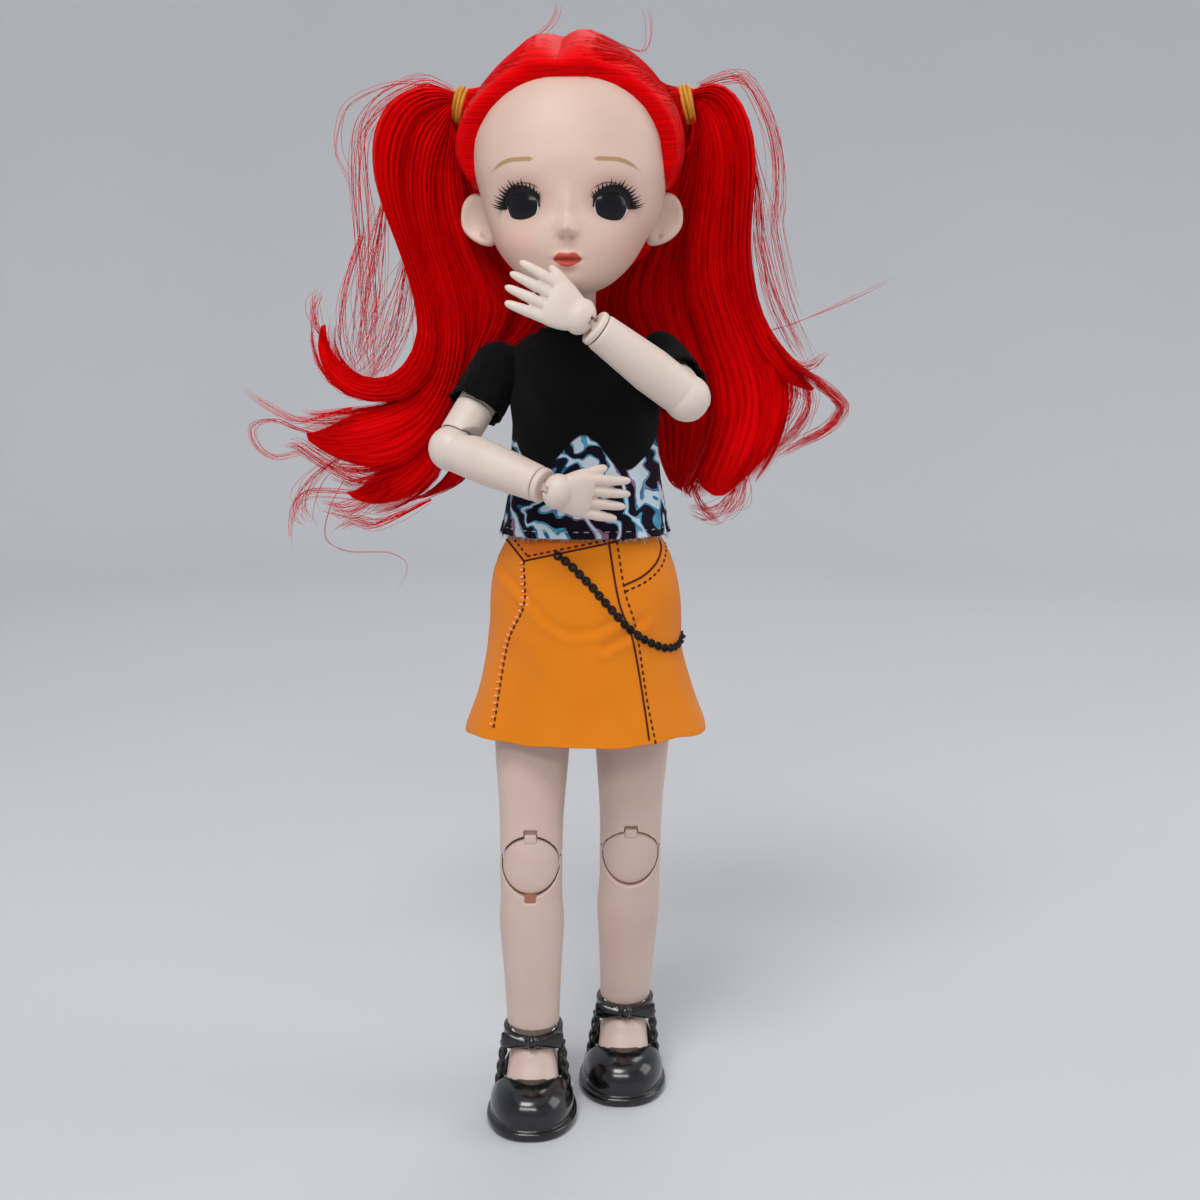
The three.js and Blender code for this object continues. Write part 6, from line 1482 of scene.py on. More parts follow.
def limb_rod(start, end, radius, reach=60):
    """A long round cutter along a limb, in world millimetres."""
    start, end = np.array(start) / MM, np.array(end) / MM
    way = (end - start) / np.linalg.norm(end - start)
    return rod(radius, start, start + way * reach, 64)


def make_garments():
    black = (colour(7, 7, 8), colour(3, 3, 4), 0.42, 0.0, 0.00008)
    dull = {"Sheen_Weight": 0.02, "Specular_IOR_Level": 0.12}
    knit = cloth_material("black_knit", *black, **dull)
    printed = cloth_material("printed_knit", *black, paint=marbled_band, **dull)
    holes = []
    for side, _ in SIDES:
        shoulder, elbow = joint_places(side, "shoulder_swing", "elbow_bend")
        holes += [limb_rod(shoulder, elbow, ARMHOLE_RADIUS),
                  moved(ball(ARMHOLE_RADIUS), np.array(shoulder) / MM)]
    outer, inner = shirt_rings(0, 0), shirt_rings(CLOTH_WALL, 1)
    shirt = moulded("t_shirt", [loft(outer)], [loft(inner), *holes], Matrix.Scale(MM, 4), voxel=0)
    add_shape(shirt, collar_rib(outer[-1]), Matrix.Scale(MM, 4))
    smooth_shaded(shirt)
    dress(shirt, "chest", printed, "black_fabric", "t_shirt")
    hem_row = hem_stitches(outer)
    loose = frayed("shirt_threads", outer[0], (0, 0, -1), SHIRT_THREADS, SHIRT_THREAD_LENGTH, "chest",
                   PALE_THREAD)

    for side, _ in SIDES:
        shoulder, elbow, wrist = joint_places(side, "shoulder_swing", "elbow_bend", "wrist_bend")
        place = limb_frame(shoulder, elbow - shoulder, (wrist - elbow).cross(elbow - shoulder).normalized())
        puff = None
        if side == "l":
            puff = np.array(place.to_3x3().normalized().transposed() @ Vector(PUFF_TOWARDS).normalized())
        outer, inner = sleeve_rings(0, side, puff), sleeve_rings(CLOTH_WALL, side, puff)
        sleeve = mesh_object("sleeve_" + side, loft(np.concatenate([outer, inner[::-1]])), place)
        outward(smooth_shaded(sleeve))
        dress(sleeve, "upper_arm_" + side, knit, "black_fabric", "sleeve_" + side)
        hem = np.array([place @ Vector(p) for p in outer[-1]]) / MM
        way = np.array((elbow - shoulder).normalized())
        loose = frayed("sleeve_threads_" + side, hem, way, SLEEVE_THREADS, SLEEVE_THREAD_LENGTH,
                       "upper_arm_" + side, BLACK_THREAD)

    twill = cloth_material("orange_twill", colour(238, 140, 8), colour(222, 116, 0), 0.5, 1.0, 0.00007,
                           paint=skirt_shade)
    skirt = mesh_object("skirt", shell_of(skirt_rings(0), skirt_rings(CLOTH_WALL)), Matrix.Scale(MM, 4))
    outward(smooth_shaded(skirt))
    dress(skirt, "pelvis", twill, "orange_fabric", "skirt")
    names = make_skirt_trim(skirt)


def add_shape(made, shape, place):
    """Adds a closed shape to a mesh."""
    extra = np.array([place @ Vector(p) for p in shape[0].tolist()])
    points, faces = joined([shape_of(made), (extra, shape[1])])
    mesh = bpy.data.meshes.new(made.name)
    mesh.from_pydata(points.tolist(), [], faces)
    made.data = mesh


def collar_rib(ring):
    """A rolled rib along a closed ring of points."""
    section = angles(10)
    along = unit(np.roll(ring, -1, axis=0) - ring)
    up = np.array((0, 0, 1.0))
    out = np.cross(along, up)
    c, s = np.cos(section)[None, :, None], np.sin(section)[None, :, None]
    return ring_tube(ring[:, None] + COLLAR_RADIUS * (c * out[:, None] + 1.2 * s * up))


SLEEVE_REACH = {"r": 13.2, "l": 14.6}
SLEEVE_RADIUS = 7.6
PUFF_TOWARDS = (-4.4, -1.5, 11.6)
PUFF_RISE = 3.4


def sleeve_rings(inset, side, puff):
    """A sleeve in its arm's frame: a round cap over the shoulder and a loose tube to the hem; puff is the
    direction in which the cap stands out, or None."""
    cap, reach = SLEEVE_RADIUS, SLEEVE_REACH[side]
    turn = angles(96)
    rings = []
    for angle in np.linspace(0.04, 1, 18) * math.pi / 2:
        r = (cap - inset) * math.sin(angle)
        rings.append(circle(r, (cap - inset) * math.cos(angle), turn))
    for drop in np.linspace(0.03, 1, 34):
        z = -reach * drop
        fold = (0.3 * np.sin(6 * turn + drop * 3) + 0.2 * np.sin(13 * turn - drop * 5)) * drop
        r = cap - inset - 0.25 * math.sin(drop * math.pi) + 0.1 * drop + fold
        if 0.86 < drop < 0.9:
            r = r - 0.25
        rings.append(circle(r, z + 0.3 * drop * np.sin(3 * turn), turn))
    rings = np.array(rings)
    if puff is not None:
        way = unit(rings)
        apart = np.arccos(np.clip(way @ puff, -1, 1))
        rings = rings + way * (PUFF_RISE * np.exp(-(apart / 0.62) ** 2))[..., None]
    return rings


SKIRT_ROWS = [
    (0, 34.0, 26.2), (2.6, 33.4, 25.6), (11.1, 30.3, 24.0), (21.3, 27.8, 22.3), (29, 27.2, 21.1),
    (36.4, 26.9, 19.9),
    (43.2, 26.0, 18.3), (49, 24.3, 16.7), (53.8, 21.9, 15.3), (55.6, 20.8, 14.7),
]


def skirt_rings(inset):
    turn = angles(SKIRT_SIDES)
    c, s = np.cos(turn), np.sin(turn)
    rows = eased(SKIRT_ROWS, SKIRT_LEVELS)
    rings = []
    for z, a, b in rows[::-1]:
        below = np.clip((34 - z) / 34, 0, 1)
        fold = 0.9 * below * np.cos(5 * turn + 1.0) + 0.25 * below * np.sin(12 * turn + 0.06 * z)
        ripple = 0.3 * math.exp(-((z - 26) / 14) ** 2) * np.sin(5 * turn + z * 0.22)
        hem = 0.25 * (np.sin(7 * turn + 0.4) + 0.5 * np.sin(16 * turn)) * math.exp(-z / 5)
        grow = fold + ripple - inset
        ring = np.stack([(a + grow) * c + BODY_X, (b + grow) * s + BODY_Y, 0 * c + z + hem + SKIRT_HEM], -1)
        out = np.stack([c, s, 0 * c], -1)
        crease = sum(drape(ring[:, 0], ring[:, 2], line) for line in SKIRT_FOLDS) * np.clip(-s * 3, 0, 1)
        rings.append(ring + out * crease[:, None])
    return np.array(rings)


def skirt_shade(g, spot, parts, cloth):
    """The dye runs a little darker in patches, and the yoke is redder than the rest."""
    cloud = g.ramp(g.noise(spot, 40.0, 3.0), 0.35, 0.75)
    dyed = g.mix(g.times(cloud, 0.22), cloth, colour(204, 96, 2))
    above = None
    for (x0, z0), (x1, z1) in zip(YOKE_LINE[:-1], YOKE_LINE[1:]):
        slope = (z1 - z0) / (x1 - x0)
        line = g.plus(g.times(g.minus(parts.outputs[0], x0 * MM), slope), z0 * MM)
        over = g.minus(parts.outputs[2], line)
        above = over if above is None else g.math("MINIMUM", above, over)
    front = g.ramp(parts.outputs[1], 0.004, 0.0)
    yoke = g.times(g.ramp(above, 0.0, 0.0003), front)
    return g.mix(g.times(yoke, 0.5), dyed, colour(232, 98, 24))


# Stitches, seam lines and the printed chain: pixels of the photograph, cast on the skirt

YOKE_PIXELS = [(500, 531), (524, 561), (614, 542), (640, 534)]
SEAM_LINES = [
    YOKE_PIXELS[:2], YOKE_PIXELS[1:], [(608, 538), (619, 602), (632, 637), (642, 692), (650, 746)],
    [(657, 533), (661, 548), (656, 563), (643, 576), (623, 586)],
]
STITCH_ROWS = [
    [(529, 556), (604, 541)], [(507, 531), (526, 554)],
    [(617, 543), (625, 592), (636, 629), (647, 700), (656, 745)],
    [(663, 536), (666, 550), (661, 567), (647, 581), (627, 591)],
    [(524, 563), (524, 605), (508, 644), (494, 726)],
]
OVERCAST_ROW = [(524, 563), (524, 605), (508, 644), (494, 724)]
CHAIN_LINE = [(558, 556), (569, 564), (581, 576), (592, 587), (601, 598), (617, 616),
              (627, 627), (640, 637), (653, 644), (666, 648), (677, 645), (681.5, 633)]
SEAM_WIDTH, STITCH_PITCH, STITCH_SIZE = 0.3, 1.9, (1.4, 0.66, 0.34)
CHAIN_PITCH, CHAIN_SIZE = 1.3, (1.3, 1.15, 0.75)
SKIRT_FOLDS = [
    [(-10.6, 149.1), (-5.5, 143.4), (0.5, 140.3), (7.6, 140.8), (13.0, 143.5)],
    [(-18.4, 156.2), (-15.2, 153.2), (-11.6, 150.4)], [(10, 136), (16, 139), (20.5, 143)],
]
YOKE_DEPTHS = (-9, -11.5, -14.5, -10)
YOKE_LINE = [tuple((pixel_at_depth(pixel, depth * MM) / MM).xz)
             for pixel, depth in zip(YOKE_PIXELS, YOKE_DEPTHS)]


def drape(x, z, line):
    """The rise of a soft crease and of the roll under it, at places in the picture plane."""
    spots = np.stack([x, z], -1)
    near, under = np.full(len(x), 1e9), np.zeros(len(x))
    for start, end in zip(np.array(line[:-1], float), np.array(line[1:], float)):
        way = end - start
        share = np.clip((spots - start) @ way / (way @ way), 0, 1)
        off = spots - (start + share[:, None] * way)
        far = np.linalg.norm(off, axis=1)
        under = np.where(far < near, np.sign(off[:, 1]), under)
        near = np.minimum(near, far)
    return -0.5 * np.exp(-(near / 1.0) ** 2) + 0.45 * np.exp(-((near - 2.2) / 1.4) ** 2) * (under < 0)


def mesh_tree(name, **inputs):
    """A tree that works on a mesh, with named inputs and a material."""
    kinds = {"Geometry": "Geometry", **inputs, "Material": "Material"}
    sockets = [(label, kind, None) for label, kind in kinds.items()]
    return new_group(name, sockets, [("Geometry", "Geometry")], "Geometry")


def finish_tree(g, made, start, end):
    """Ends a tree: smooth, in its material, with its instances made real."""
    dressed = g.node("GeometryNodeSetMaterial",
                     {"Geometry": made.outputs[0], "Material": start.outputs["Material"]})
    smooth = g.node("GeometryNodeSetShadeSmooth", {"Geometry": dressed.outputs[0]})
    real = g.node("GeometryNodeRealizeInstances", {"Geometry": smooth.outputs[0]})
    g.link(real.outputs[0], end, "Geometry")


def row_tree(name, links):
    """Sets a stitch, or a link turned every second time, at even steps along a line of points."""
    tree, g, start, end = mesh_tree(name, Pitch="Float", Size="Vector", Turn="Float")
    curve = g.node("GeometryNodeMeshToCurve", {"Mesh": start.outputs["Geometry"]}).outputs[0]
    spaced = g.node("GeometryNodeResampleCurve", {"Curve": curve, "Length": start.outputs["Pitch"]},
                    mode="LENGTH")
    if links:
        ring, wire = (g.node("GeometryNodeCurvePrimitiveCircle",
                             {"Resolution": sides, "Radius": radius}).outputs[0]
                      for sides, radius in ((12, 0.74), (6, 0.34)))
        shape = g.node("GeometryNodeCurveToMesh", {"Curve": ring, "Profile Curve": wire}).outputs[0]
    else:
        shape = g.node("GeometryNodeMeshUVSphere", {"Segments": 8, "Rings": 5, "Radius": 0.5}).outputs[0]
    out = g.node("GeometryNodeInputNamedAttribute", {"Name": "out"}, data_type="FLOAT_VECTOR").outputs[0]
    tangent = g.node("GeometryNodeInputTangent").outputs[0]
    lain = g.node("FunctionNodeAlignRotationToVector", {"Vector": tangent}, axis="X").outputs[0]
    flat = g.node("FunctionNodeAlignRotationToVector", {"Rotation": lain, "Vector": out}, axis="Z",
                  pivot_axis="X")
    odd = g.math("MODULO", g.node("GeometryNodeInputIndex").outputs[0], 2.0)
    angle = g.times(odd, start.outputs["Turn"])
    turned_by = g.node("FunctionNodeAxisAngleToRotation",
                       {"Axis": (1.0, 0.0, 0.0), "Angle": angle}).outputs[0]
    both = g.node("FunctionNodeRotateRotation", {"Rotation": flat.outputs[0], "Rotate By": turned_by},
                  rotation_space="LOCAL")
    placed_row = g.node("GeometryNodeInstanceOnPoints", {
        "Points": spaced.outputs[0], "Instance": shape,
        "Rotation": both.outputs[0], "Scale": start.outputs["Size"]})
    finish_tree(g, placed_row, start, end)
    return tree


STITCH_TREE, CHAIN_TREE = row_tree("stitches", False), row_tree("links", True)


def on_cloth(tree, pixels, steps, lift):
    """Points and outward ways along a line of pixels, cast on the front of a cloth, in metres."""
    points, ways = [], []
    for pixel in eased(pixels, steps):
        hit, normal = tree.ray_cast(CAMERA_AT, pixel_way(pixel))[:2]
        if hit is None:
            continue
        if normal.dot(pixel_way(pixel)) > 0:
            normal = -normal
        points.append(hit + normal * lift * MM)
        ways.append(normal)
    kept = np.linspace(0, len(points) - 1, steps).round().astype(int)
    return np.array(points)[kept], np.array(ways)[kept]


def row_of(name, lines, tree, pitch, size, turn, material):
    """One mesh of stitches or links along lines of (points, ways)."""
    mesh = bpy.data.meshes.new(name)
    points = np.concatenate([line[0] for line in lines])
    ways = np.concatenate([line[1] for line in lines])
    edges, first = [], 0
    for spots, _ in lines:
        edges += [(first + i, first + i + 1) for i in range(len(spots) - 1)]
        first += len(spots)
    mesh.from_pydata(points.tolist(), edges, [])
    layer = mesh.attributes.new("out", "FLOAT_VECTOR", "POINT")
    layer.data.foreach_set("vector", ways.astype(np.float32).ravel())
    made = new_object(name + "_work", mesh)
    values = {"Pitch": pitch * MM, "Size": tuple(s * MM for s in size), "Turn": turn, "Material": material}
    run_tree(made, tree, values)
    return settled(made, name)


BROWN_THREAD = thread_material("brown_thread", colour(74, 18, 8), colour(44, 8, 4))
PEACH_THREAD = thread_material("peach_thread", colour(250, 178, 130), colour(232, 140, 92))
PALE_THREAD = thread_material("pale_thread", colour(196, 196, 204), colour(150, 150, 162))
BLACK_THREAD = thread_material("black_thread", colour(16, 16, 17), colour(6, 6, 7))
CHAIN_BLACK = thread_material("chain_black", colour(26, 24, 26), colour(10, 9, 11))


def make_skirt_trim(skirt):
    """The seam lines, stitch rows, overcast row and chain of the skirt; gives back their names."""
    tree = ray_tree(skirt)
    made = []
    lines = np.array([on_cloth(tree, line, 40, 0.02)[0] for line in SEAM_LINES])
    made.append(fibres("seam_lines", lines, np.ones(lines.shape[:2]), np.zeros(len(lines)), SEAM_WIDTH * MM,
                       BROWN_THREAD, 6))
    rows = [on_cloth(tree, line, 60, 0.05) for line in STITCH_ROWS]
    made.append(row_of("stitches", rows, STITCH_TREE, STITCH_PITCH, STITCH_SIZE, 0, BROWN_THREAD))
    rows = [on_cloth(tree, OVERCAST_ROW, 60, 0.05)]
    rows = [(spots + np.array((shift * MM, 0, 0)), ways) for spots, ways in rows for shift in (-0.75, 0.75)]
    made.append(row_of("overcast", rows, STITCH_TREE, STITCH_PITCH, (0.7, 1.3, 0.4), 0, PEACH_THREAD))
    rows = [on_cloth(tree, CHAIN_LINE, 90, 0.3)]
    made.append(row_of("chain", rows, CHAIN_TREE, CHAIN_PITCH, CHAIN_SIZE, math.pi / 2, CHAIN_BLACK))
    for piece, material, slot in zip(made, (BROWN_THREAD, BROWN_THREAD, PEACH_THREAD, CHAIN_BLACK),
                                     ("black_fabric", "black_fabric", "orange_fabric", "black_fabric")):
        dress(piece, "pelvis", material, slot)
    return tuple(piece.name for piece in made)


def hem_stitches(outer):
    """A row of long stitches round the shirt, above its hem."""
    z = outer[:, 0, 2]
    ring = outer[int(np.argmin(abs(z - SHIRT_HEM - 1.9)))]
    closed = np.concatenate([ring, ring[:1]]) * MM
    out = unit(closed - np.array((BODY_X * MM, BODY_Y * MM, closed[0, 2])))
    row = row_of("hem_stitches", [(closed + out * 0.05 * MM, out)], STITCH_TREE, 2.9, (1.7, 0.26, 0.22), 0,
                 PALE_THREAD)
    return dress(row, "chest", PALE_THREAD, "black_fabric")


def frayed(name, ring, way, number, length, body, material):
    """Short loose threads round a raw edge; the ring is in world millimetres."""
    rng = np.random.default_rng(len(name) + number)
    at = rng.uniform(0, len(ring), number)
    low = np.floor(at).astype(int) % len(ring)
    share = (at - np.floor(at))[:, None]
    root = ring[low] * (1 - share) + ring[(low + 1) % len(ring)] * share
    out = unit(root - ring.mean(0))
    lean = np.array(way, float) * rng.uniform(0.5, 1, (number, 1))
    lean = lean + out * rng.normal(0.1, 0.35, (number, 1))
    lean += rng.normal(0, 0.35, (number, 3))
    t = np.linspace(0, 1, 5)[None, :, None]
    reach = length * rng.uniform(0.3, 1.15, (number, 1, 1))
    bend = rng.normal(0, 0.3, (number, 1, 3)) * reach
    paths = (root - out * 0.3)[:, None] + lean[:, None] * reach * t + bend * t ** 2
    made = fibres(name, paths * MM, np.ones((number, 5)), np.zeros(number), THREAD_RADIUS * MM, material)
    return dress(made, body, material, "black_fabric")


# Hair


def fibre_tree():
    """Turns strings of points into round fibres whose width follows the points."""
    tree, g, start, end = mesh_tree("fibres", Radius="Float", Sides="Int")
    width = g.node("GeometryNodeInputNamedAttribute", {"Name": "width"}, data_type="FLOAT").outputs[0]
    curve = g.node("GeometryNodeMeshToCurve", {"Mesh": start.outputs["Geometry"]}).outputs[0]
    radius = g.times(width, start.outputs["Radius"])
    curve = g.node("GeometryNodeSetCurveRadius", {"Curve": curve, "Radius": radius}).outputs[0]
    profile = g.node("GeometryNodeCurvePrimitiveCircle",
                     {"Resolution": start.outputs["Sides"], "Radius": 1.0}).outputs[0]
    skin = g.node("GeometryNodeCurveToMesh", {"Curve": curve, "Profile Curve": profile, "Fill Caps": True})
    if "Scale" in skin.inputs:
        g.link(radius, skin, "Scale")
    finish_tree(g, skin, start, end)
    return tree


FIBRE_TREE = fibre_tree()


def fibres(name, paths, width, tone, radius, material, sides=3):
    """One mesh of fibres; paths is fibres by steps by 3, in metres."""
    paths = np.asarray(paths, float)
    count, steps = paths.shape[:2]
    mesh = bpy.data.meshes.new(name)
    mesh.vertices.add(count * steps)
    mesh.vertices.foreach_set("co", paths.ravel())
    first = (np.arange(count)[:, None] * steps + np.arange(steps - 1)).ravel()
    mesh.edges.add(len(first))
    mesh.edges.foreach_set("vertices", np.stack([first, first + 1], -1).ravel())
    for label, values in (("width", width), ("tone", np.repeat(tone[:, None], steps, 1))):
        layer = mesh.attributes.new(label, "FLOAT", "POINT")
        spread = np.broadcast_to(values, (count, steps))
        layer.data.foreach_set("value", np.ascontiguousarray(spread).ravel())
    made = new_object(name + "_work", mesh)
    run_tree(made, FIBRE_TREE, {"Radius": radius, "Sides": sides, "Material": material})
    return settled(made, name)


def run_tree(made, tree, values):
    """Puts a Geometry Nodes tree on an object, with its inputs set."""
    modifier = made.modifiers.new(tree.name, "NODES")
    modifier.node_group = tree
    for socket in tree.interface.items_tree:
        if socket.in_out == "INPUT" and socket.name in values:
            modifier[socket.identifier] = values[socket.name]


def in_depth(pixels, depths, steps):
    """A smooth path through pixels of the photograph at depths behind the front plane, in metres."""
    rows = np.array([(*pixel, depth) for pixel, depth in zip(pixels, depths)], float)
    rows = eased(rows, steps)
    return np.array([pixel_at_depth((x, y), depth * MM) for x, y, depth in rows])


def depths_of(pixels, start, end, at=330):
    """Depths that run from the tie's to the shoulder's as a lock falls to a level of the photograph."""
    out = []
    for _, y in pixels:
        share = min(max((y - 100) / (at - 100), 0), 1)
        out.append(start + (end - start) * share * share * (3 - 2 * share))
    return out


# Each bunch is a ribbon of locks between two edges, in pixels of the photograph, from the tie to the ends.
# After the edges come the depths at the tie and the shoulder, and the number of locks.

RIGHT_BUNCHES = {
    "crook": (
        [(453, 93), (425, 87), (395, 100), (377, 130), (375, 170), (386, 212), (401, 250), (413, 290),
         (420, 326),
         (411, 358), (390, 378), (362, 378), (343, 362), (334, 338), (341, 306)],
        [(453, 104), (440, 106), (420, 118), (407, 148), (404, 185), (412, 225), (424, 262), (436, 300),
         (441, 338),
         (434, 372), (408, 396), (368, 400), (334, 386), (312, 352), (311, 306)],
        8, 17, 6),
    "lobe": (
        [(453, 101), (438, 106), (418, 120), (408, 150), (405, 185), (413, 225), (425, 262), (437, 300),
         (441, 340),
         (433, 372), (412, 396), (380, 410), (345, 414), (315, 417), (290, 412)],
        [(453, 114), (450, 132), (440, 162), (437, 200), (444, 235), (455, 270), (466, 305), (468, 345),
         (460, 380),
         (448, 410), (430, 440), (400, 462), (365, 470), (330, 466), (298, 450)],
        9, 19, 8),
    "fall": (
        [(453, 110), (446, 128), (436, 160), (433, 200), (440, 235), (451, 270), (462, 305), (465, 345),
         (458, 380),
         (445, 412), (426, 442), (398, 464), (368, 478), (345, 482), (322, 470)],
        [(454, 120), (460, 150), (464, 188), (478, 228), (496, 266), (512, 300), (502, 332), (480, 360),
         (464, 392),
         (452, 420), (446, 450), (434, 478), (412, 498), (382, 512), (352, 512)],
        10, 22, 8),
    "nape": (
        [(454, 114), (460, 158), (472, 205), (488, 250), (504, 292), (494, 328), (474, 360), (460, 395),
         (454, 430),
         (456, 458), (444, 480), (422, 496), (394, 506)],
        [(455, 126), (484, 175), (512, 218), (538, 256), (562, 292), (548, 330), (508, 356), (480, 388),
         (470, 420),
         (470, 450), (468, 474), (452, 488), (426, 500)],
        12, 28, 6),
}
LEFT_BUNCHES = {
    "tassel": (
        [(688, 92), (715, 85), (736, 98), (750, 128), (754, 165), (751, 205), (749, 245), (753, 285),
         (764, 322),
         (784, 352), (806, 372), (832, 388)],
        [(688, 100), (708, 100), (722, 114), (732, 142), (734, 177), (732, 217), (731, 257), (736, 297),
         (748, 334),
         (766, 364), (788, 388), (814, 402)],
        8, 18, 5),
    "fall": (
        [(688, 98), (710, 98), (727, 112), (738, 140), (740, 175), (738, 215), (738, 255), (746, 295),
         (760, 332),
         (776, 365), (784, 395), (780, 428), (768, 458), (752, 484), (742, 502)],
        [(688, 106), (694, 113), (699, 135), (700, 165), (694, 205), (688, 245), (688, 285), (698, 325),
         (712, 365),
         (720, 405), (714, 438), (703, 466), (694, 484), (690, 494), (696, 500)],
        9, 20, 9),
    "shoulder": (
        [(688, 104), (701, 116), (708, 138), (708, 170), (702, 205), (697, 245), (696, 285), (702, 325),
         (712, 365),
         (712, 405), (706, 436), (696, 462), (688, 480), (686, 490), (690, 496)],
        [(689, 113), (684, 145), (672, 182), (654, 215), (628, 250), (603, 285), (598, 315), (616, 350),
         (642, 385),
         (655, 415), (659, 440), (663, 460), (667, 474), (672, 484), (680, 492)],
        12, 27, 8),
}

# Stray strands: pixels of the photograph, the depths at both ends, how many, and how far they spread

STRAYS = {
    "r": [
        ([(452, 92), (420, 84), (383, 104), (362, 133), (360, 166), (362, 194), (364, 223), (367, 280),
        (370, 319), (377, 345)], 6, 12, 16, 2.0),
        ([(440, 90), (395, 84), (349, 102), (337, 127), (337, 156), (352, 185), (362, 230)], 7, 10, 3, 1.2),
        ([(352, 408), (325, 416), (297, 423), (268, 408), (243, 388)], 14, 12, 7, 1.0),
        ([(340, 440), (300, 430), (275, 420), (253, 425), (254, 444), (272, 457), (297, 452), (330, 446)],
         16, 14, 5, 0.8),
        ([(410, 486), (380, 500), (352, 494), (306, 494), (291, 517), (291, 545)], 20, 16, 7, 1.0),
        ([(345, 478), (330, 508), (326, 538), (349, 551), (389, 552), (408, 568), (387, 606)], 18, 16, 1,
         0.2),
        ([(330, 345), (318, 325), (316, 306), (322, 292)], 15, 13, 10, 0.9),
        ([(430, 500), (400, 514), (372, 524), (352, 520), (335, 530)], 20, 17, 16, 1.1),
        ([(400, 470), (360, 480), (325, 462), (300, 446), (286, 446)], 18, 15, 16, 1.0),
        ([(520, 52), (545, 30), (556, 12), (558, 2)], -6, -2, 3, 0.7),
        ([(408, 262), (402, 300), (390, 340), (370, 372), (345, 385)], 14, 16, 26, 3.0),
        ([(384, 205), (376, 262), (372, 310), (366, 350), (372, 380)], 12, 16, 20, 2.6),
        ([(364, 235), (352, 280), (347, 320), (352, 356), (368, 378)], 12, 16, 10, 2.0),
        ([(350, 452), (322, 470), (304, 492), (300, 512), (312, 524)], 18, 15, 10, 1.6),
        ([(395, 485), (365, 505), (342, 512), (324, 505)], 20, 16, 18, 1.5),
    ],
    "l": [
        ([(700, 86), (722, 78), (743, 78), (763, 110), (773, 143), (776, 176), (774, 209), (771, 226),
        (784, 284), (797, 319)], 6, 14, 14, 1.8),
        ([(764, 330), (778, 352), (790, 376), (792, 396), (782, 420), (765, 440), (752, 462)], 16, 19, 26,
         1.1),
        ([(770, 336), (788, 360), (802, 380), (808, 402), (796, 428), (775, 448), (756, 470)], 15, 19, 26,
         1.1),
        ([(776, 344), (798, 368), (820, 384), (838, 400), (842, 411), (826, 430), (800, 443), (776, 458)],
         15, 18, 34, 1.0),
        ([(690, 480), (698, 500), (708, 514), (720, 524)], 22, 20, 14, 0.7),
        ([(768, 336), (791, 362), (809, 366), (826, 351)], 14, 12, 14, 0.8),
        ([(772, 330), (800, 322), (850, 300), (896, 278)], 15, 12, 2, 0.6),
        ([(735, 488), (725, 505), (708, 514), (690, 508)], 22, 20, 14, 1.2),
        ([(684, 112), (692, 118), (694, 132), (690, 148), (683, 152), (680, 140)], 3, 3, 8, 0.4),
        ([(600, 34), (640, 52), (646, 20), (640, 4)], -6, -2, 2, 0.6),
        ([(752, 150), (760, 200), (764, 250), (776, 300), (794, 340), (806, 360)], 9, 16, 20, 1.7),
        ([(745, 470), (742, 488), (734, 504), (720, 514)], 20, 18, 16, 1.4),
    ],
}

HAIR_GROOVE = 0.13
CORE_SIDES = 72
HAIR_STEPS = 24
CORE_STEPS = 60
HAIR_OVERLAP = 1.1
HAIR_THICK = 5.4
HAIR_THIN_END = 1.6
STRANDS_PER_MM = 27
STRAND_RADIUS = 0.09
STRAY_RADIUS = 0.07
STRAY_SHARE = 1.5
COMBED_STRANDS = 2600
COMBED_STEPS = 12
COMBED_RADIUS = 0.1
COMB_SCALE = 25
TRIANGLES_PER_STEP = 6
MOST_TRIANGLES = 190000
HAIR_SEED = 7


def bunch_frame(bunch, steps):
    """The middle line of a bunch, its half width, and its directions across and towards the front."""
    outer, inner, near, far, _ = bunch
    first, second = (in_depth(edge, depths_of(edge, near, far), steps) for edge in (outer, inner))
    line = (first + second) / 2
    across = second - first
    half = np.linalg.norm(across, axis=1) / 2
    across /= np.maximum(2 * half, 1e-9)[:, None]
    front = unit(np.cross(unit(np.gradient(line, axis=0)), across))
    front *= np.where(front[:, 1] > 0, -1, 1)[:, None]
    return line, np.maximum(half, 0.8 * MM), across, front


def bunch_section(turn, share, count, phase):
    """A place round a bunch: shares of its half width and of its depth, with soft grooves between locks."""
    c, s = np.cos(turn), np.sin(turn)
    u, w = np.sign(c) * abs(c) ** 0.85, np.sign(s) * abs(s) ** 0.8
    grooves = np.cos(math.pi * count * (u + 1) + 1.3 * np.sin(3.1 * share + phase))
    return u, w * (1 + HAIR_GROOVE * grooves)


def bunch_depth(share):
    """Half the thickness of a bunch, in metres, at a share of its length."""
    swell = np.clip(share / 0.22, 0, 1)
    swell = swell * swell * (3 - 2 * swell)
    taper = np.clip((share - 0.66) / 0.34, 0, 1)
    return MM * (3.4 + (HAIR_THICK - 3.4) * swell) * (1 - taper) + MM * HAIR_THIN_END * taper


def end_taper(steps, start, low):
    """The width of a strand along its length; it starts to fall at one share and ends near another."""
    t = np.linspace(0, 1, steps)
    return np.where(t > start, np.cos((t - start) / (1 - start) * math.pi / 2) * (1 - low) + low, 1)


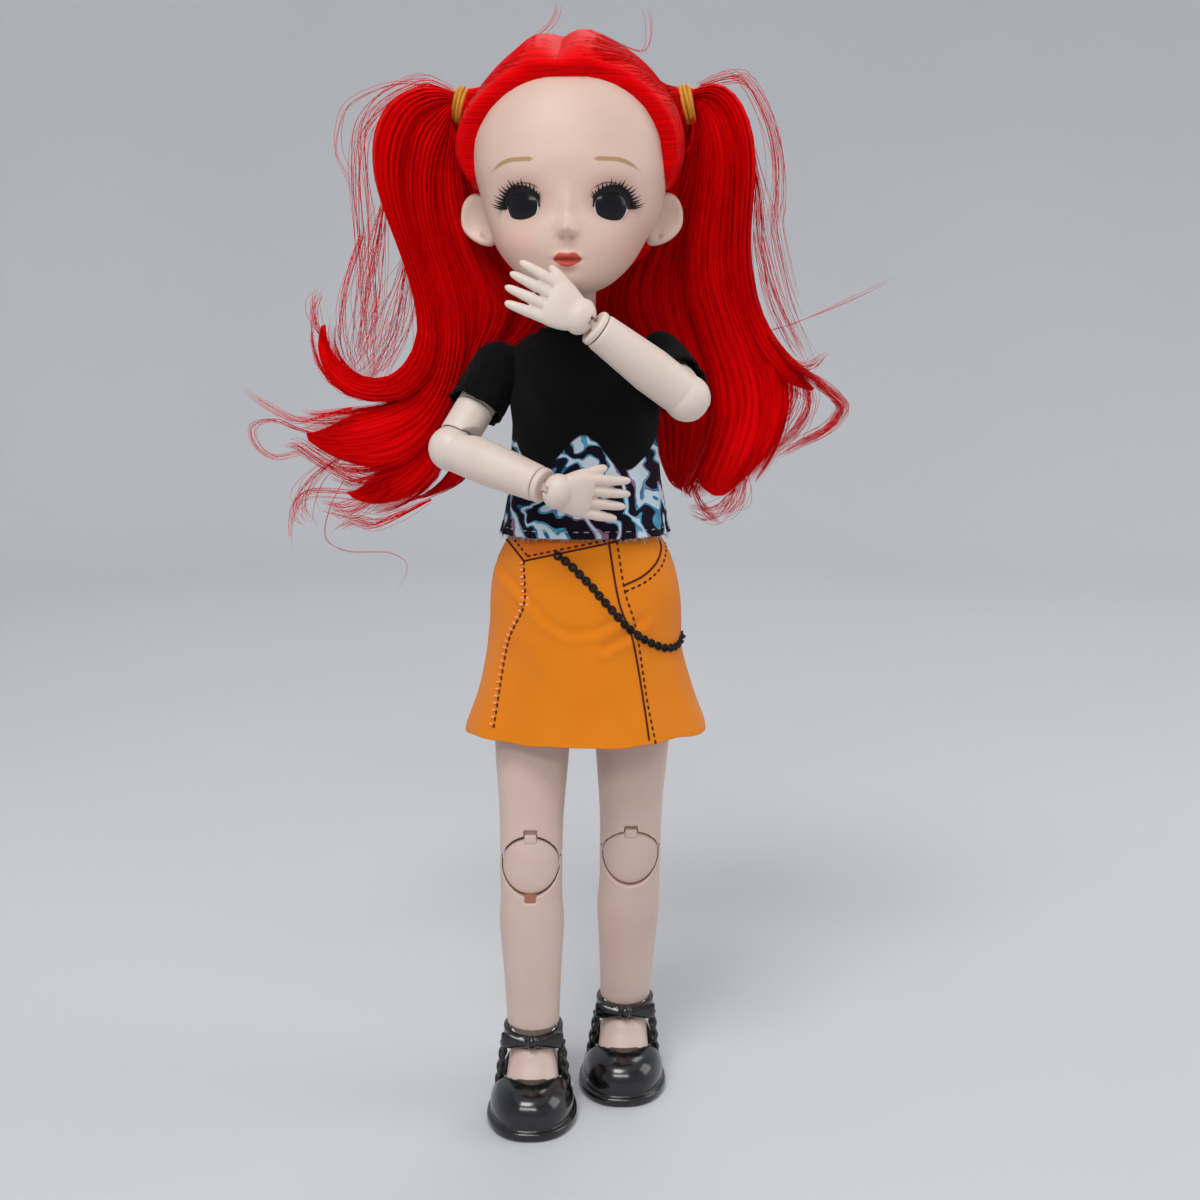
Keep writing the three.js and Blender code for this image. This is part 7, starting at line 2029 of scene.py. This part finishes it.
def in_locks(u, w, share, count, rng):
    """Draws strands together into pointed locks; gives back u, w and each strand's length."""
    ends = 2 * count
    lock = np.clip(((u[:, :1] + 1) / 2 * ends).astype(int), 0, ends - 1)
    front = (w[:, :1] > 0).astype(int)
    pick = lock * 2 + front
    middle = (np.arange(ends) + 0.5) / ends * 2 - 1
    middle = np.repeat(middle, 2) + rng.normal(0, 0.05, 2 * ends)
    depth = rng.uniform(-0.7, 0.7, 2 * ends)
    length = 1.0 - rng.beta(1.3, 2.6, 2 * ends) * 0.15
    sway = rng.normal(0, 0.12, 2 * ends)
    pull = np.clip((share - 0.66) / 0.34, 0, 1) ** 1.3 * rng.uniform(0.2, 0.85, (len(u), 1))
    u = u + (middle[pick] + sway[pick] * pull - u) * pull
    w = w + (depth[pick] - w) * pull
    return u, w, length[pick][:, 0]


def make_bunches(side, bunches, rng):
    """The tail on one side: for each bunch a smooth mass and a coat of fine strands over it."""
    cores, uvs, strands, tones = [], [], [], []
    for k, bunch in enumerate(bunches.values()):
        count, phase = bunch[-1], 1.7 * k
        line, half, across, front = bunch_frame(bunch, CORE_STEPS)
        share = np.linspace(0, 1, CORE_STEPS)
        turn = angles(CORE_SIDES)
        u, w = bunch_section(turn[None, :], share[:, None], count, phase)
        narrow = HAIR_OVERLAP * (1 - 0.94 * np.clip((share - 0.78) / 0.2, 0, 1) ** 1.6)
        wide = (half * narrow)[:, None] * u
        deep = bunch_depth(share)[:, None] * w * (narrow / HAIR_OVERLAP)[:, None]
        keep = slice(0, int(CORE_STEPS * 0.97))
        rings = line[:, None] + wide[..., None] * across[:, None] + deep[..., None] * front[:, None]
        cores.append(loft(rings[keep]))
        length = np.cumsum(np.linalg.norm(np.gradient(line, axis=0), axis=1)) / (COMB_SCALE * MM)
        seam = np.minimum(np.arange(CORE_SIDES), CORE_SIDES - np.arange(CORE_SIDES)) / CORE_SIDES
        uv = np.stack(np.broadcast_arrays(seam[None, :] * 0.5 + k * 0.7, length[:, None]), -1)[keep]
        uvs.append(np.concatenate([uv.reshape(-1, 2), uv[0, :1], uv[-1, -1:]]))

        line, half, across, front = bunch_frame(bunch, HAIR_STEPS)
        number = int(STRANDS_PER_MM * 2 * np.mean(half) / MM)
        share = np.linspace(0, 1, HAIR_STEPS)[None, :]
        wander = 0.1 * np.sin(share * rng.uniform(2, 7, (number, 1)) + rng.uniform(0, 6, (number, 1)))
        angle = rng.uniform(0, 2 * math.pi, (number, 1)) + wander * np.minimum(1, share * 3)
        u, w = bunch_section(angle, share, count, phase)
        u, w, whole = in_locks(u, w, share, count, rng)
        fly = np.where(rng.uniform(0, 1, (number, 1)) > 0.86, rng.uniform(0.03, 0.24, (number, 1)), 0)
        reach = rng.uniform(0.97, 1.04, (number, 1)) + fly * share
        spread = 1 + rng.normal(0, 0.06, (number, 1)) * share ** 5
        wide = half * HAIR_OVERLAP * u * reach * spread
        deep = bunch_depth(share) * w * (reach + 0.04)
        paths = line[None] + wide[..., None] * across[None] + deep[..., None] * front[None]
        strands.append(cut_short(paths, whole - rng.beta(1.2, 5, number) * 0.1))
        tones.append(np.clip(rng.normal(0.55, 0.22, number), 0, 1))
    core = outward(mesh_object(f"hair_core_{side}", joined(cores)))
    place_uv(core, "comb", np.concatenate(uvs))
    finish_hair(smooth_shaded(core), COMBED_HAIR, "ponytail_" + side)
    paths, tone = np.concatenate(strands), np.concatenate(tones)
    width = np.broadcast_to(end_taper(HAIR_STEPS, 0.7, 0.2), paths.shape[:2])
    order = rng.permutation(len(paths))
    parts = math.ceil(len(paths) * HAIR_STEPS * TRIANGLES_PER_STEP / MOST_TRIANGLES)
    for part, chosen in enumerate(np.array_split(order, parts)):
        made = fibres(f"hair_strands_{side}_{part}", paths[chosen], width[chosen], tone[chosen],
                      STRAND_RADIUS * MM, HAIR_FIBRE)
        finish_hair(made, HAIR_FIBRE)
    make_strays(side, rng)


def make_strays(side, rng):
    """Loose strands, wisps and loops that stand off the tail."""
    paths = []
    for pixels, near, far, number, spread in STRAYS[side]:
        number = round(number * STRAY_SHARE)
        guide = in_depth(pixels, np.linspace(near, far, len(pixels)), HAIR_STEPS)
        share = np.linspace(0, 1, HAIR_STEPS)[None, :, None]
        off = rng.normal(0, spread * MM, (number, 1, 3)) * (0.25 + 0.75 * np.sin(share * math.pi * 0.8))
        phase, pace = rng.uniform(0, 6, (number, 1, 3)), rng.uniform(3, 9, (number, 1, 3))
        curl = 0.45 * spread * MM * np.sin(share * pace + phase) * np.minimum(1, share * 4)
        paths.append(cut_short(guide[None] + off + curl, rng.uniform(0.86, 1.0, number)))
    paths = np.concatenate(paths)
    width = np.broadcast_to(end_taper(HAIR_STEPS, 0.6, 0.3), paths.shape[:2])
    tone = rng.uniform(0.1, 0.8, len(paths))
    made = fibres("hair_strays_" + side, paths, width, tone, STRAY_RADIUS * MM, HAIR_FIBRE)
    finish_hair(made, HAIR_FIBRE)


def place_uv(made, name, values):
    """Sets a UV map where merging doubles has left every point in its place."""
    if len(made.data.vertices) == len(values):
        set_uv(made, name, values)


def cut_short(paths, share):
    """Ends each fibre at its own share of the length."""
    steps = paths.shape[1]
    t = np.linspace(0, 1, steps)[None, :] * share[:, None] * (steps - 1)
    i = np.clip(t.astype(int), 0, steps - 2)
    f = (t - i)[..., None]
    rows = np.arange(len(paths))[:, None]
    return paths[rows, i] * (1 - f) + paths[rows, i + 1] * f


def finish_hair(made, material, *nodes):
    """Puts a piece of a tail in its material and bakes its place into its mesh."""
    dress(made, None, material, "red_hair", *nodes)
    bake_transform(made)


HAIR_EDGE = [(5.5, 30), (7.5, 12), (14, 5), (27.5, 4.4), (28.5, -5), (31, -8.5), (39, -11.5), (47, -16),
             (54.5, -20.4), (57, -30)]


def cap_thickness(points):
    """Thickness of the hair over a point of the skull, in the head's frame."""
    x, y, z = points.T
    levels, edge = np.array(HAIR_EDGE).T
    behind = y - np.interp(z, levels, edge)
    share = np.clip(behind / 2.6, 0, 1)
    sides = 1.5 * np.clip((abs(x) - 12) / 10, 0, 1) * np.exp(-((z - 40) / 10) ** 2)
    full = (HAIR_THICKNESS + sides) * np.sqrt(1 - (1 - share) ** 2)
    temple = np.clip((z - 26.5) / 9, 0, 1) ** 0.7
    full = np.where(y < 6, full * temple, full)
    crown = np.clip((z - 44) / 14, 0, 1) * np.clip((8 - y) / 20, 0, 1)
    off = abs(x - PARTING_X)
    parting = -2.9 * np.exp(-off / 2.3) * np.clip((z - 56) / 7, 0, 1) - 0.7 * np.exp(-(off / 0.45) ** 2)
    swell = 1.9 * (np.exp(-((x - PARTING_X - 5.4) / 4.4) ** 2)
                   + np.exp(-((x - PARTING_X + 5.4) / 4.4) ** 2))
    return np.where(behind < 0, -3.5, full + (parting + swell) * crown * share)


def make_cap(rng):
    levels = HEAD_HEIGHT * (1 - np.cos(np.linspace(0.5, math.pi - 0.015, 130))) / 2
    rings = skull_rings(levels, 240, False)
    flat = rings.reshape(-1, 3)
    flat = flat + unit(flat - np.array((0, 1, 34))) * cap_thickness(flat)[:, None]
    shell = loft(flat.reshape(rings.shape))
    necks = []
    for _, sign in SIDES:
        end, _, top = tie_place(sign)
        rows = [(sign * 8, TIE_Y - 2, top - 8, 11, 11), (sign * 15, TIE_Y - 1, top - 5.5, 10.8, 10.8),
                (sign * 20, TIE_Y - 0.5, top - 3.4, 9.4, 9.4), (end - sign * 6, TIE_Y, top - 1.4, 7.2, 7.2),
                (end - sign * 3, TIE_Y, top - 0.4, 5.2, 5.2), (end, TIE_Y, top, 4.2, 4.2),
                (end + sign * 1.5, TIE_Y, top, 4.2, 4.2)]
        necks.append(path_loft(rows, 48, (0, 1, 0), 30))
    cap = moulded("hair_cap", [shell, *necks], [], Matrix.Identity(4), CAP_VOXEL, 5)
    spots = np.array([v.co for v in cap.data.vertices])
    sign = np.where(spots[:, 0] > PARTING_X, 1, -1)
    turn = np.arctan2(spots[:, 1] - TIE_Y, spots[:, 2] - TIE_HEIGHT)
    far = np.linalg.norm(spots - np.stack([sign * TIE_REACH, 0 * sign + TIE_Y, 0 * sign + TIE_HEIGHT], -1),
                         axis=1)
    set_uv(cap, "comb", np.stack([turn / 6 + sign * 3, far / COMB_SCALE], -1))
    tree = ray_tree(cap)
    cap.data.transform(HEAD_FRAME)
    dress(cap, "head", COMBED_HAIR, "red_hair", "hair_cap")

    paths, tones = [], []
    way = unit(rng.normal(0, 1, (COMBED_STRANDS * 4, 3)))
    centre = Vector((0, 2, 36))
    for start in way:
        hit = tree.ray_cast(centre, Vector(start))[0]
        if not hit or cap_thickness(np.array([hit]))[0] < 0.6:
            continue
        sign = 1 if hit.x > PARTING_X else -1
        end = Vector(tie_place(sign)) + Vector((-sign * 5, rng.normal(0, 1.8), rng.normal(0, 1.8)))
        goal = (end - centre).normalized()
        line = []
        for share in np.linspace(0, 1, COMBED_STEPS):
            aim = Vector(start).slerp(goal, share * 0.98) if Vector(start).angle(goal) > 0.01 else goal
            touch = tree.ray_cast(centre, aim)[0]
            if touch is None:
                break
            line.append(list(touch + aim * (-0.12 + 0.22 * min(1, share * 5))))
        if len(line) == COMBED_STEPS:
            paths.append(line)
            tones.append(min(max(rng.normal(0.55, 0.25), 0), 1))
        if len(paths) >= COMBED_STRANDS:
            break
    paths = np.array(paths) @ np.array(HEAD_FRAME.to_3x3()).T + np.array(HEAD_FRAME.translation)
    for part, chosen in enumerate(np.array_split(np.arange(len(paths)), 2)):
        width = np.ones((len(chosen), COMBED_STEPS))
        made = fibres(f"hair_combed_{part}", paths[chosen], width, np.array(tones)[chosen],
                      COMBED_RADIUS * MM, HAIR_FIBRE)
        dress(made, "head", HAIR_FIBRE, "red_hair")


def make_ties():
    """Each tie is a thin rubber band wound three times, leaning towards the head at the top."""
    turn = angles(96)
    section = angles(10)
    for side, sign in SIDES:
        wound = []
        for k, (shift, grow) in enumerate(((-0.95, 0.0), (0.0, 0.18), (0.95, -0.05))):
            wave = 0.16 * np.sin(turn + k * 2.1)
            radius = TIE_BAND_RADIUS + grow + 0.78 * np.cos(section)[None, :] + 0 * turn[:, None]
            along = shift + wave[:, None] + 0.62 * np.sin(section)[None, :]
            rings = np.stack([radius * np.cos(turn)[:, None], radius * np.sin(turn)[:, None], along], -1)
            wound.append(ring_tube(rings))
        lean = Matrix.Rotation(math.radians(-TIE_LEAN * sign), 4, "Y")
        place = (HEAD_FRAME @ Matrix.Translation(tie_place(sign)) @ lean
                 @ Matrix.Rotation(math.pi / 2, 4, "Y"))
        tie = smooth_shaded(outward(mesh_object("hair_tie_" + side, joined(wound), place)))
        dress(tie, "head", TIE_RUBBER, "tie_rubber", "hair_tie_" + side)


make_camera()
for side, sign in SIDES:
    make_leg(side)
    make_arm(side, sign)
make_head()
make_garments()
HAIR_RANDOM = np.random.default_rng(HAIR_SEED)
make_cap(HAIR_RANDOM)
make_ties()
make_bunches("r", RIGHT_BUNCHES, HAIR_RANDOM)
make_bunches("l", LEFT_BUNCHES, HAIR_RANDOM)

# Stage: a round pale bowl and soft lamps

BOWL_RADIUS = 1.5
BOWL_HEIGHT = 1.9
BOWL_CURVE = 0.5
BOWL_SIDES = 128


def make_stage():
    profile = [(0.001, 0), (BOWL_RADIUS * 0.3, 0), (BOWL_RADIUS - BOWL_CURVE, 0)]
    for angle in np.linspace(0, math.pi / 2, 16)[1:]:
        profile.append((BOWL_RADIUS - BOWL_CURVE + BOWL_CURVE * math.sin(angle),
                        BOWL_CURVE - BOWL_CURVE * math.cos(angle)))
    profile.append((BOWL_RADIUS, BOWL_HEIGHT))
    turn = angles(BOWL_SIDES)
    rings = np.array([circle(r, z, turn) for r, z in profile])
    floor = mesh_object("floor", (rings.reshape(-1, 3), tube_faces(len(rings), BOWL_SIDES)))
    smooth_shaded(floor)
    made, g, shader = new_material("paper", Roughness=0.85, Specular_IOR_Level=0.2)
    cloud = g.noise(g.spot(), 3.0, 3.0)
    g.link(g.mix(cloud, colour(196, 197, 199), colour(204, 205, 207)), shader, "Base Color")
    floor.data.materials.append(made)


def add_lamp(name, place, aim, size, power, tint=(1, 1, 1)):
    data = bpy.data.lights.new(name, "AREA")
    data.shape, data.size, data.size_y = "RECTANGLE", *size
    data.energy, data.color = power, tint
    lamp = new_object(name, data)
    lamp.location = place
    lamp.rotation_euler = (Vector(aim) - Vector(place)).to_track_quat("-Z", "Y").to_euler()


def make_light():
    world = bpy.data.worlds.new("studio")
    bpy.context.scene.world = world
    world.use_nodes = True
    world.node_tree.nodes["Background"].inputs["Color"].default_value = (0.9, 0.93, 1.0, 1)
    world.node_tree.nodes["Background"].inputs["Strength"].default_value = 0.6
    add_lamp("key", (-0.3, -0.75, 1.3), (0, 0, 0.15), (0.6, 0.4), 8)
    add_lamp("strip", (-0.2, -1.05, 0.8), (0, 0, 0.24), (0.85, 0.2), 4)
    add_lamp("fill", (1.2, 0.1, 0.7), (0, 0, 0.15), (0.8, 0.8), 4)
    add_lamp("back", (0.2, 0.9, 1.2), (0, 0, 0.2), (0.9, 0.6), 4)


make_stage()
make_light()
bpy.context.scene.view_settings.view_transform = "Standard"

PLAIN = {
    "pelvis_front": LEG_PLASTIC, "pelvis_back": LEG_PLASTIC, "waist_ball": LEG_PLASTIC,
    "chest_front": ARM_VINYL, "chest_back": ARM_VINYL,
    **{name + side: LEG_PLASTIC for name in ("hip_ball_", "thigh_top_") for side in "rl"},
    **{name + side: ARM_VINYL for name in ("shoulder_ball_", "upper_arm_") for side in "rl"},
    **{name + side: PIN_PLASTIC for name in ("knee_pin_upper_", "knee_pin_lower_", "elbow_pin_")
       for side in "rl"},
}
for name, chosen in PLAIN.items():
    node = frame["nodes"][name]
    for i in range(len(node.material_slots)):
        node.material_slots[i].link = "OBJECT"
        node.material_slots[i].material = chosen
